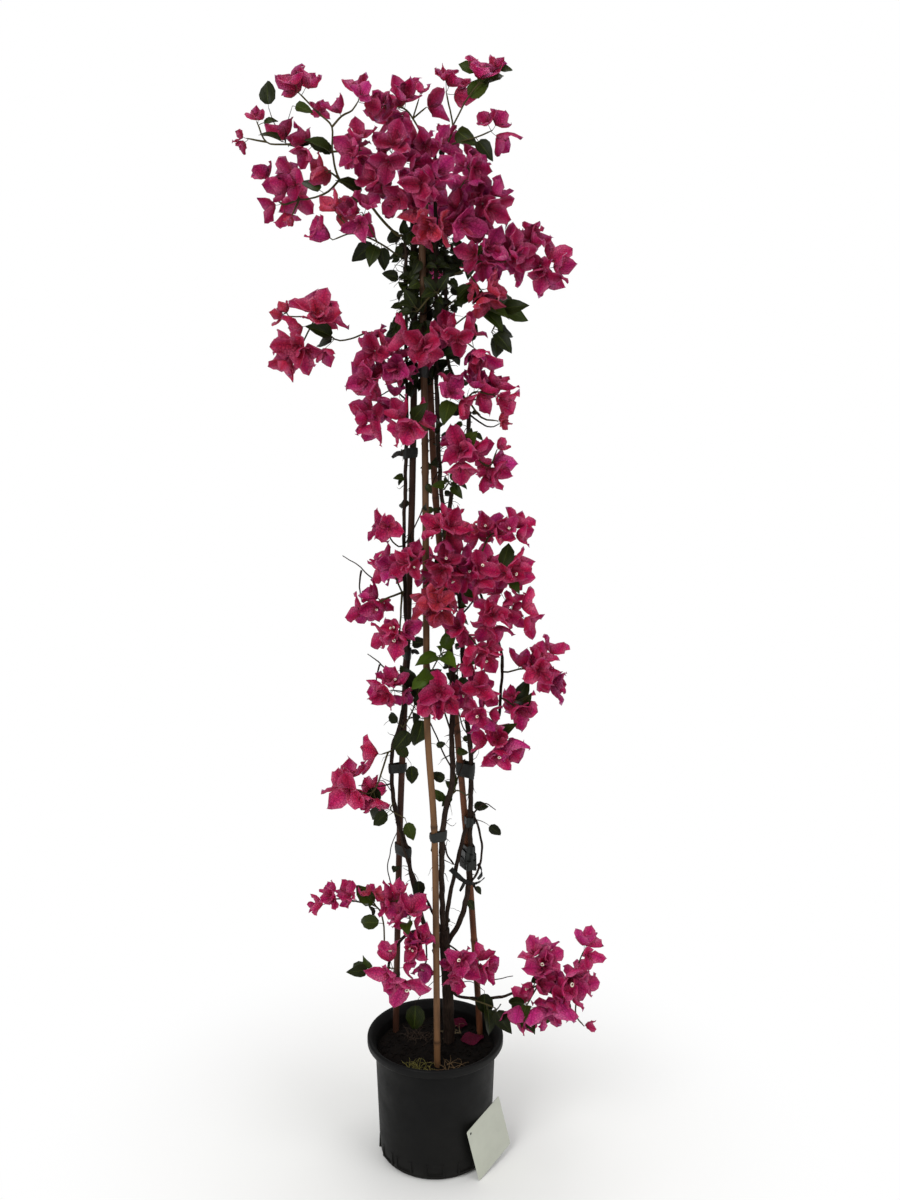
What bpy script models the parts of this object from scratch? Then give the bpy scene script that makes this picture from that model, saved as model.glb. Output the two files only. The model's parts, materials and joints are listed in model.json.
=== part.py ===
"""Potted lesser bougainvillea: a climbing plant tied to three canes in a black nursery pot.

Metres, +Z up. The origin is the middle of the pot's foot, on the surface it stands on.
Routes and places are hand-chosen in centimetres and turned to metres by CM.
"""

import math
import random

import bmesh
import bpy
import numpy as np
from mathutils import Vector
from mathutils.bvhtree import BVHTree

CM = 0.01
GAP = 0.0003

# Pot and soil
POT_RIM_RADIUS = 12.0 * CM
POT_HEIGHT = 22.5 * CM
POT_FOOT_RADIUS = 9.9 * CM
POT_WALL_RADIUS = 10.6 * CM
POT_WALL = 0.18 * CM
POT_FLOOR = 0.30 * CM
LIP_DEPTH = 1.4 * CM
SOIL_LEVEL = 19.5 * CM
SOIL_MOUND = 0.30 * CM
SOIL_RIPPLE = 0.22 * CM
SOIL_DOME = 0.50 * CM
SOIL_MOUND_REACH = 10.5 * CM
SLOT_WIDTH = 2.8 * CM
SLOT_LOW = 1.2 * CM
SLOT_HIGH = 3.1 * CM
SLOT_COUNT = 4
TURNED_SIDES = 30

# Canes and stems
CANE_RADIUS = 0.60
CANE_SIDES = 7
CANE_SPACING = 18
STEM_SPACING = 7
HOLE_CLEARANCE = 0.045 * CM
THORN_LENGTH = 0.9
THORN_FOOT = 0.17
THORN_SPACING = 14.0
THORNY = ("left", "middle", "right")

# Label card
CARD_SIDE = 10.0 * CM
CARD_THICKNESS = 0.08 * CM
CARD_AZIMUTH = math.radians(-37)
CARD_SPIN = math.radians(9.6)
CARD_STAND_OFF = 11.9 * CM
CARD_TOUCH = 10.4 * CM
CARD_SHIFT = 3.1 * CM
CARD_LIFT = 0.01 * CM
CARD_HOLE_INSET = 0.9 * CM
CARD_HOLE_RADIUS = 0.25
CARD_HOLE_SIDES = 10

# Tape ties
TAPE = 0.12
TAPE_SIDES = 9
TAPE_GAP = 0.06

# Bracts and leaves, in centimetres
BRACT_LENGTH = 3.7
BRACT_HALF_WIDTH = 1.36
BRACT_THICKNESS = 0.14
NOTCH_AT = 0.30
BELLY_AT = 0.55
SIMPLE_NOTCH_AT = 0.60
BLOOM_HEART = 0.14
BLOOM_ROOT = 0.13
PEDICEL_RADIUS = 0.085
STALK_FOOT = 0.055
LEAF_LENGTH = 4.8
LEAF_HALF_WIDTH = 1.6
LEAF_FOLD = 0.22
LEAF_THICKNESS = 0.13
LEAF_OUTLINE = ((0.34, 1.0), (0.74, 0.62))
CLEARANCE = 0.10
TWIG_GAP = 0.035
TWIG_TIP = 0.15
FOOT_SPACING = 0.28
TWIG_SPACING = 6.5
SPRAY_SHARE = 0.845
TWIG_OVERRUN = 0.15
TRIES = 60
SEED = 11

# Faces of a box whose eight corners run through its three directions, low before high
BOX_FACES = ((0, 1, 3, 2), (4, 6, 7, 5), (0, 4, 5, 1), (2, 3, 7, 6), (0, 2, 6, 4), (1, 5, 7, 3))

# Fallen bracts: where each lies (x, y in centimetres), its turn and its size
FALLEN_BRACTS = ((6.7, 2.1, 0.4, 0.80), (4.2, 7.6, 2.2, 0.60))


# Routes in centimetres, each from its foot upwards
CANES = {
    "cane_front": [(0.5, -6.1, 8), (0.4, -5.8, 19.5), (0.0, -4.8, 62), (-1.1, -4.1, 80),
                   (-1.3, -2.7, 120), (-1.8, -0.8, 168.5)],
    "cane_left": [(-7.1, 5.4, 8), (-7.2, 5.4, 19.5), (-6.1, 4.2, 60), (-4.7, 3.2, 90),
                  (-3.5, 2.2, 120), (-3.0, 1.3, 145), (-3.1, 0.5, 167.5)],
    "cane_right": [(7.9, 4.5, 8), (8.0, 4.6, 19.5), (6.4, 4.1, 45), (5.2, 3.7, 61),
                   (2.7, 2.9, 90), (0.1, 2.1, 120), (-0.9, 1.5, 145), (-1.4, 1.0, 166)],
}

# name: (radius at the foot, radius at the tip, sides, route)
STEMS = {
    "trunk": (1.10, 0.90, 8, [(2.4, 1.9, 12), (2.4, 1.7, 20), (2.2, 0.9, 30), (1.7, 0.1, 38),
                              (1.6, -0.1, 42.5)]),
    "left": (0.44, 0.26, 6, [(1.6, 0.0, 39.5), (-0.9, -0.4, 41.5), (-2.4, 0.0, 45), (-3.9, 1.2, 51),
                             (-4.8, 2.6, 56), (-6.4, 2.7, 61), (-7.2, 3.0, 66), (-7.4, 3.2, 70),
                             (-7.0, 2.5, 75), (-5.6, 1.4, 80), (-4.6, 1.2, 86), (-4.4, 1.2, 93),
                             (-4.8, 1.0, 100), (-4.9, 0.9, 109), (-4.6, 0.8, 121), (-4.2, 0.3, 132), (-4.3, -0.2, 141),
                             (-4.2, -0.6, 150), (-4.3, -0.9, 157), (-4.2, -1.0, 163)]),
    "middle": (0.52, 0.30, 6, [(1.5, -0.2, 41), (1.2, -2.3, 50), (1.3, -4.4, 60), (1.7, -4.2, 65),
                               (3.0, -2.8, 71), (2.9, -1.6, 78), (3.1, -1.2, 87), (2.6, -1.0, 93),
                               (2.2, -0.8, 107), (1.0, -0.5, 121), (0.5, -0.6, 135), (0.4, -0.5, 150),
                               (0.4, -0.4, 161), (0.3, 0.2, 171)]),
    "right": (0.50, 0.28, 6, [(1.8, 0.2, 39), (4.5, 0.8, 44), (5.8, 1.8, 50), (6.1, 2.4, 56), (6.1, 2.4, 64),
                              (6.2, 2.0, 73), (5.5, 1.3, 80), (4.8, 1.0, 88), (4.5, 0.7, 97), (3.4, 0.4, 108),
                              (2.6, 0.2, 116), (3.8, 0.0, 121.5), (5.4, -0.4, 127), (5.5, -0.5, 131.5),
                              (3.9, -0.2, 135), (2.4, 0.3, 139), (2.0, 0.6, 147), (1.8, 0.8, 156),
                              (1.8, 0.8, 163)]),
    "fork": (0.42, 0.36, 5, [(1.8, 0.0, 41), (2.2, 0.9, 46), (3.6, 1.7, 53), (4.8, 2.0, 58), (6.1, 2.3, 62)]),
    "outer": (0.32, 0.22, 5, [(6.2, 2.0, 73.5), (8.7, 1.0, 77), (10.7, 0.4, 81), (11.1, 0.2, 86),
                              (11.2, 0.0, 91), (9.9, -0.2, 96), (8.2, -0.4, 100), (6.6, -0.6, 104)]),
    "loop": (0.20, 0.20, 4, [(6.2, 2.4, 63), (7.6, 2.2, 60), (8.1, 2.1, 56), (7.5, 2.0, 52.5),
                             (6.0, 1.9, 50)]),
    "runner_left": (0.36, 0.24, 5, [(1.6, 0.0, 38.5), (-0.8, -1.2, 41.5), (-3.2, -2.1, 43),
                                    (-5.6, -2.4, 41.8), (-7.6, -2.7, 38.5), (-8.2, -3.2, 35.5)]),
    "runner_right": (0.32, 0.22, 5, [(2.1, 0.7, 32), (3.8, 0.0, 29.8), (7.5, -0.2, 29.2), (11, -0.4, 29.6),
                                     (14, -0.7, 30.6), (16.5, -1.0, 31)]),
}
RUNNERS = ("runner_left", "runner_right")

# name: (height, what it holds, band height, tails as (direction in degrees, length))
TIES = {
    "tie_left_low": (55.5, ("cane_left", "left"), 2.0, ()),
    "tie_right_knot": (55.5, ("cane_right", "right"), 2.6, ((150, 2.2), (330, 1.6))),
    "tie_front_low": (61.5, ("cane_front", "middle"), 1.5, ()),
    "tie_left_second": (70.5, ("cane_left", "left"), 1.8, ()),
    "tie_right_second": (70.5, ("cane_right", "right"), 2.4, ()),
    "tie_left_waist": (91.0, ("cane_left", "left"), 1.6, ((20, 1.2),)),
    "tie_left_upper": (124.5, ("cane_left", "left"), 1.5, ((190, 1.7),)),
    "tie_crown": (137.5, ("cane_front", "cane_left"), 1.6, ()),
}

# name: (stem, height up it or distance out along a runner, branches).
# A branch starts at an earlier point of its spray, counted from 0, or at the root stub for -1.
# Each point is (x, y, z, blooms, leaves, words on how they grow).
SPRAYS = {
    "spray_top_left": ("left", 158, [
        (-1, [(-7.5, -2, 160, 0, 0, ""), (-10.5, -3, 163.5, 0, 2, "dark"), (-14, -3, 166, 0, 0, ""),
              (-15, -3, 170, 0, 2, "dark"), (-15, -3, 173.5, 0, 0, ""), (-17, -2, 175.5, 1, 0, "small up"),
              (-20, -2, 178.5, 3, 0, "up")]),
        (3, [(-10.5, -4, 170, 4, 0, "front")]),
        (4, [(-13.5, -3, 175, 1, 0, "up"), (-12, -2, 176, 0, 0, ""), (-11, -2, 177.5, 2, 0, "up")]),
        (3, [(-18, -4, 171, 2, 1, ""), (-22, -3, 171, 1, 1, "big up"), (-25, -2, 171.5, 0, 0, ""),
             (-26.5, -1, 174.5, 2, 1, "up small")]),
        (13, [(-28, -2, 172, 2, 0, "left small")]),
        (2, [(-15.5, -5, 167, 2, 0, "coral")]),
        (2, [(-16.5, -2, 164, 0, 1, ""), (-20.5, 0, 163.5, 0, 0, ""), (-20.5, 0, 166, 3, 0, "big")]),
        (18, [(-23.5, 2, 163, 2, 0, "left down"), (-25.5, 3, 166.5, 1, 0, "up")]),
        (18, [(-21.5, -1, 161, 1, 0, "small coral down")]),
    ]),
    "spray_left_upper": ("left", 155, [
        (-1, [(-8.5, -3, 157, 0, 2, "down dark"), (-12, -5, 158, 0, 0, ""),
              (-15, -6, 157, 1, 0, "big left up")]),
        (1, [(-14, -6, 160.5, 2, 0, "coral up")]),
        (0, [(-10.5, -6, 161, 3, 0, "")]),
    ]),
    "spray_top_middle": ("middle", 167, [
        (-1, [(-1, -2.5, 171, 3, 0, "front"), (-3, -1, 175, 0, 0, ""), (-4.5, -1, 176.5, 3, 0, "up"),
              (-7.5, 0, 177, 2, 0, "up left")]),
        (1, [(-2, -3, 177.5, 1, 0, "small up")]),
        (1, [(-1, 1.5, 177, 1, 0, "right")]),
    ]),
    "spray_top_right": ("middle", 169, [
        (-1, [(2, -1, 171, 1, 0, "up"), (3, 0, 174, 0, 1, "left"), (2, 0, 179, 2, 0, "up")]),
        (1, [(5, -1, 177.5, 0, 1, "up"), (7, -1, 180, 1, 2, "big up"), (9, 0, 181.5, 1, 0, "small up")]),
        (0, [(4, -2, 171.5, 0, 0, ""), (6.5, -3, 172, 0, 1, "dark down"), (9, -3, 173, 2, 0, "right up")]),
    ]),
    "spray_crown_left": ("left", 161, [
        (-1, [(-4.5, -5, 163, 2, 0, "front"), (-7.5, -5, 164.5, 3, 0, "left"), (-6, -5, 169.5, 4, 0, "")]),
    ]),
    "spray_crown_front": ("middle", 158, [
        (-1, [(-0.5, -6, 159, 3, 0, "coral front"), (-1.5, -8, 165, 3, 0, "front")]),
    ]),
    "spray_crown_right": ("right", 158, [
        (-1, [(4, -4.5, 160, 3, 0, "front"), (8, -4, 162.5, 4, 0, "right"), (5, -4, 168, 4, 0, "")]),
    ]),
    "spray_crown_back": ("right", 161.5, [
        (-1, [(1.5, 6, 161.5, 2, 0, "back"), (-3.5, 7, 166, 3, 0, "back")]),
        (0, [(5, 6, 167, 3, 0, "back right")]),
        (0, [(0, 8, 154.5, 2, 2, "back down")]),
    ]),
    "spray_right_mass": ("right", 152, [
        (-1, [(5, -3, 153, 0, 1, ""), (7.5, -5, 155.5, 3, 0, "front"), (11.5, -4, 155, 3, 0, ""),
              (14.5, -2, 156.5, 2, 0, "up right"), (17, -2, 153, 4, 0, "right")]),
        (0, [(7.5, -5, 149.5, 2, 1, "coral down")]),
    ]),
    "spray_right_mass_back": ("right", 154.5, [
        (-1, [(7, 6, 154.5, 2, 1, "back"), (12.5, 5, 154.5, 3, 0, "back right")]),
    ]),
    "spray_middle_right": ("right", 141.5, [
        (-1, [(3.5, -5.5, 143, 3, 0, "front"), (6.5, -4, 141, 1, 1, "down big")]),
    ]),
    "spray_left_cluster": ("left", 140.5, [
        (-1, [(-7, 0, 142.5, 0, 0, ""), (-10, 0, 143.5, 0, 0, ""), (-13, 0, 142.5, 0, 0, ""),
              (-15.5, 0, 142.5, 0, 2, "dark"), (-18.5, -1, 145.5, 4, 0, "up"),
              (-23, 0, 146, 2, 1, "left small coral")]),
        (4, [(-21, 0, 141, 4, 0, "down")]),
    ]),
    "spray_left_inner": ("left", 137, [
        (-1, [(-5.5, -4, 138.5, 2, 0, "front"), (-9, -4, 141, 2, 0, "up left")]),
        (0, [(-9.5, -4, 136, 3, 0, "left")]),
        (0, [(-1, -6.5, 141.5, 2, 0, "front big")]),
    ]),
    "spray_left_lower": ("left", 131, [
        (-1, [(-6.5, -2, 132, 1, 0, ""), (-9, -2.5, 130.5, 3, 0, "left down")]),
        (-1, [(-3.5, -7.5, 129.5, 2, 1, "front big")]),
    ]),
    "spray_right_open": ("right", 133, [
        (-1, [(6.5, -4, 134.5, 2, 0, "right"), (9.5, -4, 134, 2, 0, "right up")]),
        (-1, [(7.5, -3, 130.5, 0, 0, ""), (10, -3, 130, 1, 0, "small coral right")]),
        (-1, [(2.5, -6, 134, 2, 1, "front")]),
    ]),
    "spray_right_flowering": ("right", 126, [
        (-1, [(4.5, -6.5, 125.5, 3, 1, "front big")]),
        (-1, [(8.5, -4, 123, 3, 0, "right down"), (10, -3, 125.5, 1, 0, "small up right")]),
    ]),
    "spray_single_left": ("left", 109.5, [
        (-1, [(-7, -1, 111, 0, 0, ""), (-7, -4, 113.5, 1, 0, "front big")]),
    ]),
    "spray_waist_left": ("left", 102, [
        (-1, [(-6.5, -3.5, 107, 3, 0, ""), (-3.5, -6.5, 108, 2, 0, "front")]),
        (-1, [(-8.5, -2, 101, 2, 0, "left"), (-11, -2, 99, 1, 0, "left")]),
        (-1, [(-5.5, -5, 96, 3, 0, "front")]),
    ]),
    "spray_waist_front": ("middle", 107, [
        (-1, [(1.5, -6, 107, 3, 0, "front"), (2, -6, 113.5, 3, 0, "front up"),
              (4.5, -6, 113, 1, 0, "coral small")]),
        (0, [(0.5, -6.5, 101, 3, 0, "coral front")]),
    ]),
    "spray_waist_right": ("right", 105, [
        (-1, [(6.5, -5, 106.5, 3, 0, "front"), (9, -3.5, 112, 3, 0, "up"), (12.5, -3, 112, 2, 0, "right")]),
        (0, [(12, -3, 106, 3, 3, "right")]),
    ]),
    "spray_waist_right_low": ("outer", 98, [
        (-1, [(9.5, -5, 99, 3, 0, "front"), (13, -3.5, 100, 3, 0, "right")]),
    ]),
    "spray_waist_low": ("right", 93, [
        (-1, [(4.8, -5.5, 97, 2, 0, "front"), (7.5, -5, 93.5, 3, 0, "front down")]),
    ]),
    "spray_waist_back": ("right", 101, [
        (-1, [(3, 6, 101, 3, 1, "back"), (-3, 7.5, 104.5, 3, 0, "back left")]),
        (0, [(8.5, 6.5, 104.5, 3, 0, "back right")]),
    ]),
    "spray_right_arching": ("outer", 88.5, [
        (-1, [(14, 0, 89, 1, 0, "up"), (17, -1, 89.5, 3, 0, "front"), (19.5, 0, 91, 1, 0, "up")]),
        (1, [(18.5, 1, 86, 2, 0, "down right")]),
    ]),
    "spray_right_low": ("outer", 84, [
        (-1, [(13.5, -2, 83, 2, 2, "right dark")]),
    ]),
    "spray_right_star": ("outer", 78, [
        (-1, [(10.5, -4, 77.5, 3, 1, "front big down")]),
    ]),
    "spray_inner_right": ("right", 84, [
        (-1, [(7.2, -5, 87, 3, 0, "front"), (7.5, -5, 83, 2, 0, "down")]),
    ]),
    "spray_inner_front": ("middle", 84, [
        (-1, [(1, -5.5, 86.5, 3, 0, "front")]),
    ]),
    "spray_low_left": ("left", 74, [
        (-1, [(-9, 0.5, 74, 1, 0, "left big")]),
        (-1, [(-10.5, 0, 67.5, 3, 0, "down"), (-14.5, 0, 68.5, 2, 0, "left big")]),
    ]),
    "spray_left_single": ("left", 85, [
        (-1, [(-7, -2, 86, 3, 0, "left front")]),
    ]),
    "spray_foot_left_far": ("runner_left", 7.6, [
        (-1, [(-8.8, -2, 44.5, 0, 1, "left"), (-10, -2, 47.5, 0, 2, ""), (-13.5, -1, 48, 3, 0, "up"),
              (-17, -1, 48.5, 2, 0, "up left"), (-19, 0, 47, 1, 0, "left")]),
        (1, [(-11, -3, 50, 1, 0, "small coral up")]),
    ]),
    "spray_foot_left_inner": ("runner_left", 4.2, [
        (-1, [(-4.2, -4, 46.5, 3, 1, "up"), (-6.5, -2.5, 49, 2, 0, "up left")]),
        (-1, [(-2.5, -5.5, 42, 2, 0, "front")]),
    ]),
    "spray_foot_front_left": ("runner_left", 7.9, [
        (-1, [(-7, -6.5, 38.5, 2, 0, "front big")]),
        (-1, [(-11, -5, 37.5, 0, 2, "left")]),
    ]),
    "spray_foot_right": ("trunk", 33.5, [
        (-1, [(4.2, -2.5, 36.5, 2, 0, "front"), (7.5, -2.5, 36.5, 2, 0, "right")]),
    ]),
    "spray_low_right": ("runner_right", 15.5, [
        (-1, [(18, -2, 33, 3, 1, ""), (18.5, -1, 37.5, 3, 0, "up")]),
        (0, [(22, -3, 31, 4, 1, "front"), (25, -1, 32.5, 2, 0, "right"), (25, 0, 35.5, 0, 0, ""),
             (26, 0, 38.5, 2, 0, "up")]),
        (3, [(24.5, -2, 27.5, 0, 0, ""), (26, -2, 25, 1, 0, "small right")]),
        (0, [(15.5, -4, 29.5, 2, 3, "left down")]),
    ]),
    "leaves_crown_core": ("right", 147, [
        (-1, [(0.5, -4, 149.5, 0, 4, "dark front"), (-2.5, -5, 146.5, 0, 3, "dark left")]),
        (-1, [(3.5, -3, 148.5, 0, 2, "dark right")]),
    ]),
    "leaves_right_patch": ("right", 144.5, [
        (-1, [(7.5, -2, 147.5, 0, 3, "right"), (10.5, -2, 147, 0, 3, "right"),
              (9, -2, 143.5, 0, 3, "dark down")]),
    ]),
    "leaves_waist_stem": ("middle", 119, [
        (-1, [(2.5, -4, 120.5, 0, 4, "small front")]),
    ]),
    "leaves_waist_bright": ("middle", 92.5, [
        (-1, [(1, -4.5, 92.5, 0, 3, "bright front"), (-0.5, -6, 90, 0, 3, "bright down")]),
    ]),
    "leaves_left_dark": ("left", 79, [
        (-1, [(-3.5, -1, 82.5, 0, 3, "dark right"), (-2.5, -1, 86, 0, 2, "dark up")]),
    ]),
    "leaves_stem_low": ("right", 66.5, [
        (-1, [(3.5, -2, 68.5, 0, 2, "left small"), (2.0, -1.6, 66, 0, 1, "left small")]),
    ]),
    "leaves_left_low": ("left", 64.5, [
        (-1, [(-7.5, 0.5, 64, 0, 2, "left dark down"), (-5, 0.5, 62.5, 0, 1, "right down")]),
    ]),
    "leaves_foot": ("runner_right", 6.0, [
        (-1, [(9, -3.5, 30, 0, 2, "dark down"), (10.5, -3, 29, 0, 2, "dark down right")]),
    ]),
}


def curve_through(points, spacing):
    """Points of a smooth curve through the given ones, about `spacing` apart."""
    ends = [2 * points[0] - points[1]] + list(points) + [2 * points[-1] - points[-2]]
    found = []
    for a, b, c, d in zip(ends, ends[1:], ends[2:], ends[3:]):
        steps = max(1, round((c - b).length / spacing))
        for i in range(steps):
            t = i / steps
            found.append(0.5 * (2 * b + (c - a) * t + (2 * a - 5 * b + 4 * c - d) * t * t
                                + (3 * b - a - 3 * c + d) * t ** 3))
    return found + [points[-1].copy()]


def blend_radii(count, foot, tip):
    return [foot + (tip - foot) * i / (count - 1) for i in range(count)]


def beads(points, radii, step=0.4):
    """Balls strung along a route, as rows of x, y, z and radius, for clearance."""
    rows = []
    for a, b, ra, rb in zip(points, points[1:], radii, radii[1:]):
        count = max(1, math.ceil((b - a).length / step))
        for i in range(count):
            t = i / count
            rows.append((*(a + (b - a) * t), ra + (rb - ra) * t))
    rows.append((*points[-1], radii[-1]))
    return rows


class Space:
    """What is already placed: balls, each with the name of the piece it belongs to."""

    def __init__(self):
        self.rows = np.zeros((0, 4))
        self.owners = np.zeros(0, dtype=int)
        self.names = []

    def add(self, owner, rows):
        if owner not in self.names:
            self.names.append(owner)
        self.rows = np.vstack([self.rows, np.array(rows)])
        self.owners = np.concatenate([self.owners, np.full(len(rows), self.names.index(owner))])

    def near(self, rows, mask):
        """The held balls within reach of these rows, of those that the mask keeps."""
        middle = rows[:, :3].mean(axis=0)
        reach = np.abs(rows[:, :3] - middle).max() + 4
        return self.rows[mask & (np.abs(self.rows[:, :3] - middle).max(axis=1) < reach)]

    def room(self, rows, skip=(), only=None):
        """The smallest free distance from these balls to what other pieces hold, 9 where nothing is near."""
        rows = np.array(rows)
        if only is None:
            mask = ~np.isin(self.owners, [self.names.index(n) for n in skip if n in self.names])
        elif only in self.names:
            mask = self.owners == self.names.index(only)
        else:
            return 9.0
        held = self.near(rows, mask)
        if len(held) == 0:
            return 9.0
        gaps = np.linalg.norm(rows[:, None, :3] - held[None, :, :3], axis=2)
        return float((gaps - rows[:, None, 3] - held[None, :, 3]).min())

    def push(self, rows, own, clearance):
        """For each ball, how far and which way to move it so that it clears the other pieces."""
        index = self.names.index(own) if own in self.names else -1
        held = self.rows[self.owners != index]
        if len(held) == 0:
            return [None] * len(rows)
        moves = []
        for row in np.array(rows):
            away = row[:3] - held[:, :3]
            gaps = np.linalg.norm(away, axis=1) - held[:, 3] - row[3]
            k = int(gaps.argmin())
            short = clearance - gaps[k]
            if short <= 0:
                moves.append(None)
                continue
            direction = away[k] / max(np.linalg.norm(away[k]), 1e-6)
            moves.append(Vector(direction) * short)
        return moves


def bend_clear(points, radii, space, own, clearance, fixed=2):
    """Moves the points of a route, all but the first ones, until it clears what is placed."""
    points = [p.copy() for p in points]
    for _ in range(60):
        moved = False
        for i in range(len(points) - 1):
            if i + 1 < fixed:
                continue
            a, b = points[i], points[i + 1]
            count = max(2, math.ceil((b - a).length / 0.4))
            marks = [(j + 1) / count for j in range(count)]
            rows = [(*(a + (b - a) * t), radii[i] + (radii[i + 1] - radii[i]) * t) for t in marks]
            for t, move in zip(marks, space.push(rows, own, clearance)):
                if move is None:
                    continue
                moved = True
                points[i + 1] += move * max(t, 0.35) * 1.1
                if i >= fixed:
                    points[i] += move * (1 - t)
        if not moved:
            break
    return points


def point_at(route, radii, height, runner):
    """The point of a stem at a height, or at a distance out along x for a runner, with its radius."""
    axis = 0 if runner else 2
    for a, b, ra, rb in zip(route, route[1:], radii, radii[1:]):
        low, high = abs(a[axis]), abs(b[axis])
        if min(low, high) <= height <= max(low, high) and abs(high - low) > 1e-6:
            t = (height - low) / (high - low)
            return a + (b - a) * t, ra + (rb - ra) * t, (b - a).normalized()
    return route[-1], radii[-1], (route[-1] - route[-2]).normalized()


AIMS = {"up": (0, 0, 1.3), "down": (0, 0, -1.2), "left": (-1.2, 0, 0), "right": (1.2, 0, 0),
        "front": (0, -1.6, 0), "back": (0, 1.6, 0)}


def aim_of(point, words):
    """The way the blooms or leaves at a point lean: outwards, a little up, and as the words say."""
    aim = Vector((point.x, point.y, 0))
    aim = aim.normalized() * 0.6 if aim.length > 0.1 else Vector((0, -0.6, 0))
    aim += Vector((0, 0, 0.35))
    for word in words.split():
        aim += Vector(AIMS.get(word, (0, 0, 0)))
    return aim.normalized()


def across(direction):
    """Two unit vectors square to a direction and to each other."""
    side = direction.cross(Vector((0, 0, 1)))
    if side.length < 0.2:
        side = direction.cross(Vector((0, 1, 0)))
    side.normalize()
    return side, side.cross(direction).normalized()


def spread_about(aim, index, count, turn, wobble, rng):
    """One of `count` directions spread evenly over a cap about the aim, by the golden angle."""
    reach = (0.20, 0.55, 0.75, 1.00, 1.15, 1.30)[min(count, 6) - 1] * 1.35
    height = 1 - (1 - math.cos(reach)) * (index + 0.5) / count
    angle = index * 2.39996 + turn
    side, lift = across(aim)
    flat = math.sqrt(max(0.0, 1 - height * height))
    found = aim * height + (side * math.cos(angle) + lift * math.sin(angle)) * flat
    found += Vector((rng.uniform(-1, 1), rng.uniform(-1, 1), rng.uniform(-1, 1))) * wobble
    return found.normalized()


def rib(length, start, end, at):
    """Distance from the axis and height along it of a bract's midrib, and the midrib's slope there.

    The slope, measured from the bloom's axis, turns evenly from `start` to `end`."""
    turn = end - start
    slope = start + turn * at
    out = length * (math.cos(start) - math.cos(slope)) / turn
    rise = length * (math.sin(slope) - math.sin(start)) / turn
    return out, rise, slope


def place_bloom(foot, direction, stalk, scale, openness, roll):
    """A bloom as a plain record: where its stalk starts and ends, and the form of its bracts."""
    return {"foot": foot.copy(), "base": foot + direction * stalk, "axis": direction.copy(), "roll": roll,
            "length": BRACT_LENGTH * scale, "half": BRACT_HALF_WIDTH * scale,
            "start": math.radians(74), "end": math.radians(-6 + 66 * openness)}


def bloom_point(bloom, lobe, at, angle, lift=0.0):
    """A point on a bract: `at` along it, turned by `angle` about the bloom's axis, raised by `lift`."""
    out, rise, slope = rib(bloom["length"], bloom["start"], bloom["end"], at)
    out -= math.cos(slope) * lift
    rise += math.sin(slope) * lift
    side, over = across(bloom["axis"])
    turn = bloom["roll"] + lobe * math.tau / 3 + angle
    return bloom["base"] + bloom["axis"] * rise + (side * math.cos(turn) + over * math.sin(turn)) * out


# Where balls of what radius cover half of a bract: (at along it, half-widths from its midrib, radius)
BRACT_COVER = ((0.10, 0.0, 0.50), (0.30, 0.33, 0.55), (0.53, 0.0, 0.50), (0.55, 0.64, 0.55),
               (0.78, 0.30, 0.55), (0.95, 0.0, 0.38))


def bloom_balls(bloom):
    """Balls that cover the bracts, for clearance."""
    size = bloom["half"] / BRACT_HALF_WIDTH
    rows = []
    for lobe in range(3):
        for at, share, radius in BRACT_COVER:
            out = max(rib(bloom["length"], bloom["start"], bloom["end"], at)[0], 0.1)
            turn = min(1.0, share * bloom["half"] / out)
            for way in ((-1, 1) if share else (0,)):
                rows.append((*bloom_point(bloom, lobe, at, way * turn, 0.1), radius * size))
    return rows


def stalk_balls(foot, base, radius):
    rows = beads([foot, base], [radius, radius], 0.3)
    return rows[2:] if len(rows) > 3 else rows[-1:]


def place_leaf(foot, direction, stalk, scale, droop, face):
    """A leaf as a plain record; its blade lies along the direction and looks to the side of `face`."""
    face = (face - direction * face.dot(direction)).normalized()
    return {"foot": foot.copy(), "base": foot + direction * stalk, "axis": direction.copy(), "face": face,
            "side": direction.cross(face), "length": LEAF_LENGTH * scale, "half": LEAF_HALF_WIDTH * scale,
            "droop": droop}


def leaf_point(leaf, at, across_it, lift=0.0):
    """A point on a leaf blade, which arches back along its length and folds up at its midrib."""
    bend = leaf["droop"] * at
    run = leaf["length"] * math.sin(bend) / leaf["droop"]
    drop = leaf["length"] * (1 - math.cos(bend)) / leaf["droop"]
    normal = leaf["face"] * math.cos(bend) + leaf["axis"] * math.sin(bend)
    middle = leaf["base"] + leaf["axis"] * run - leaf["face"] * drop
    lift += LEAF_FOLD * abs(across_it) * leaf["half"]
    return middle + leaf["side"] * (leaf["half"] * across_it) + normal * lift


# The same for a leaf: (at along it, half-widths from its midrib, radius)
LEAF_COVER = ((0.10, 0.0, 0.6), (0.33, 0.6, 0.8), (0.60, 0.5, 0.75), (0.80, 0.0, 0.75), (0.95, 0.0, 0.4))


def leaf_balls(leaf):
    """Balls that cover the blade, for clearance."""
    size = leaf["half"] / LEAF_HALF_WIDTH
    rows = []
    for at, share, radius in LEAF_COVER:
        for way in ((-1, 1) if share else (0,)):
            rows.append((*leaf_point(leaf, at, way * share), radius * size))
    return rows


def lay_stems(space):
    """The canes, then the stems bent clear of them. Returns both as name: (route, radii)."""
    canes = {}
    for name, route in CANES.items():
        points = curve_through([Vector(p) for p in route], CANE_SPACING)
        radii = [CANE_RADIUS] * len(points)
        canes[name] = (points, radii)
        space.add(name, beads(points, radii))
    stems = {}
    for name, (foot, tip, sides, route) in STEMS.items():
        points = curve_through([Vector(p) for p in route], STEM_SPACING)
        radii = blend_radii(len(points), foot, tip)
        points = bend_clear(points, radii, space, "woody_stems", 0.12)
        stems[name] = (points, radii)
    for points, radii in stems.values():
        space.add("woody_stems", beads(points, radii))
    return canes, stems


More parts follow.
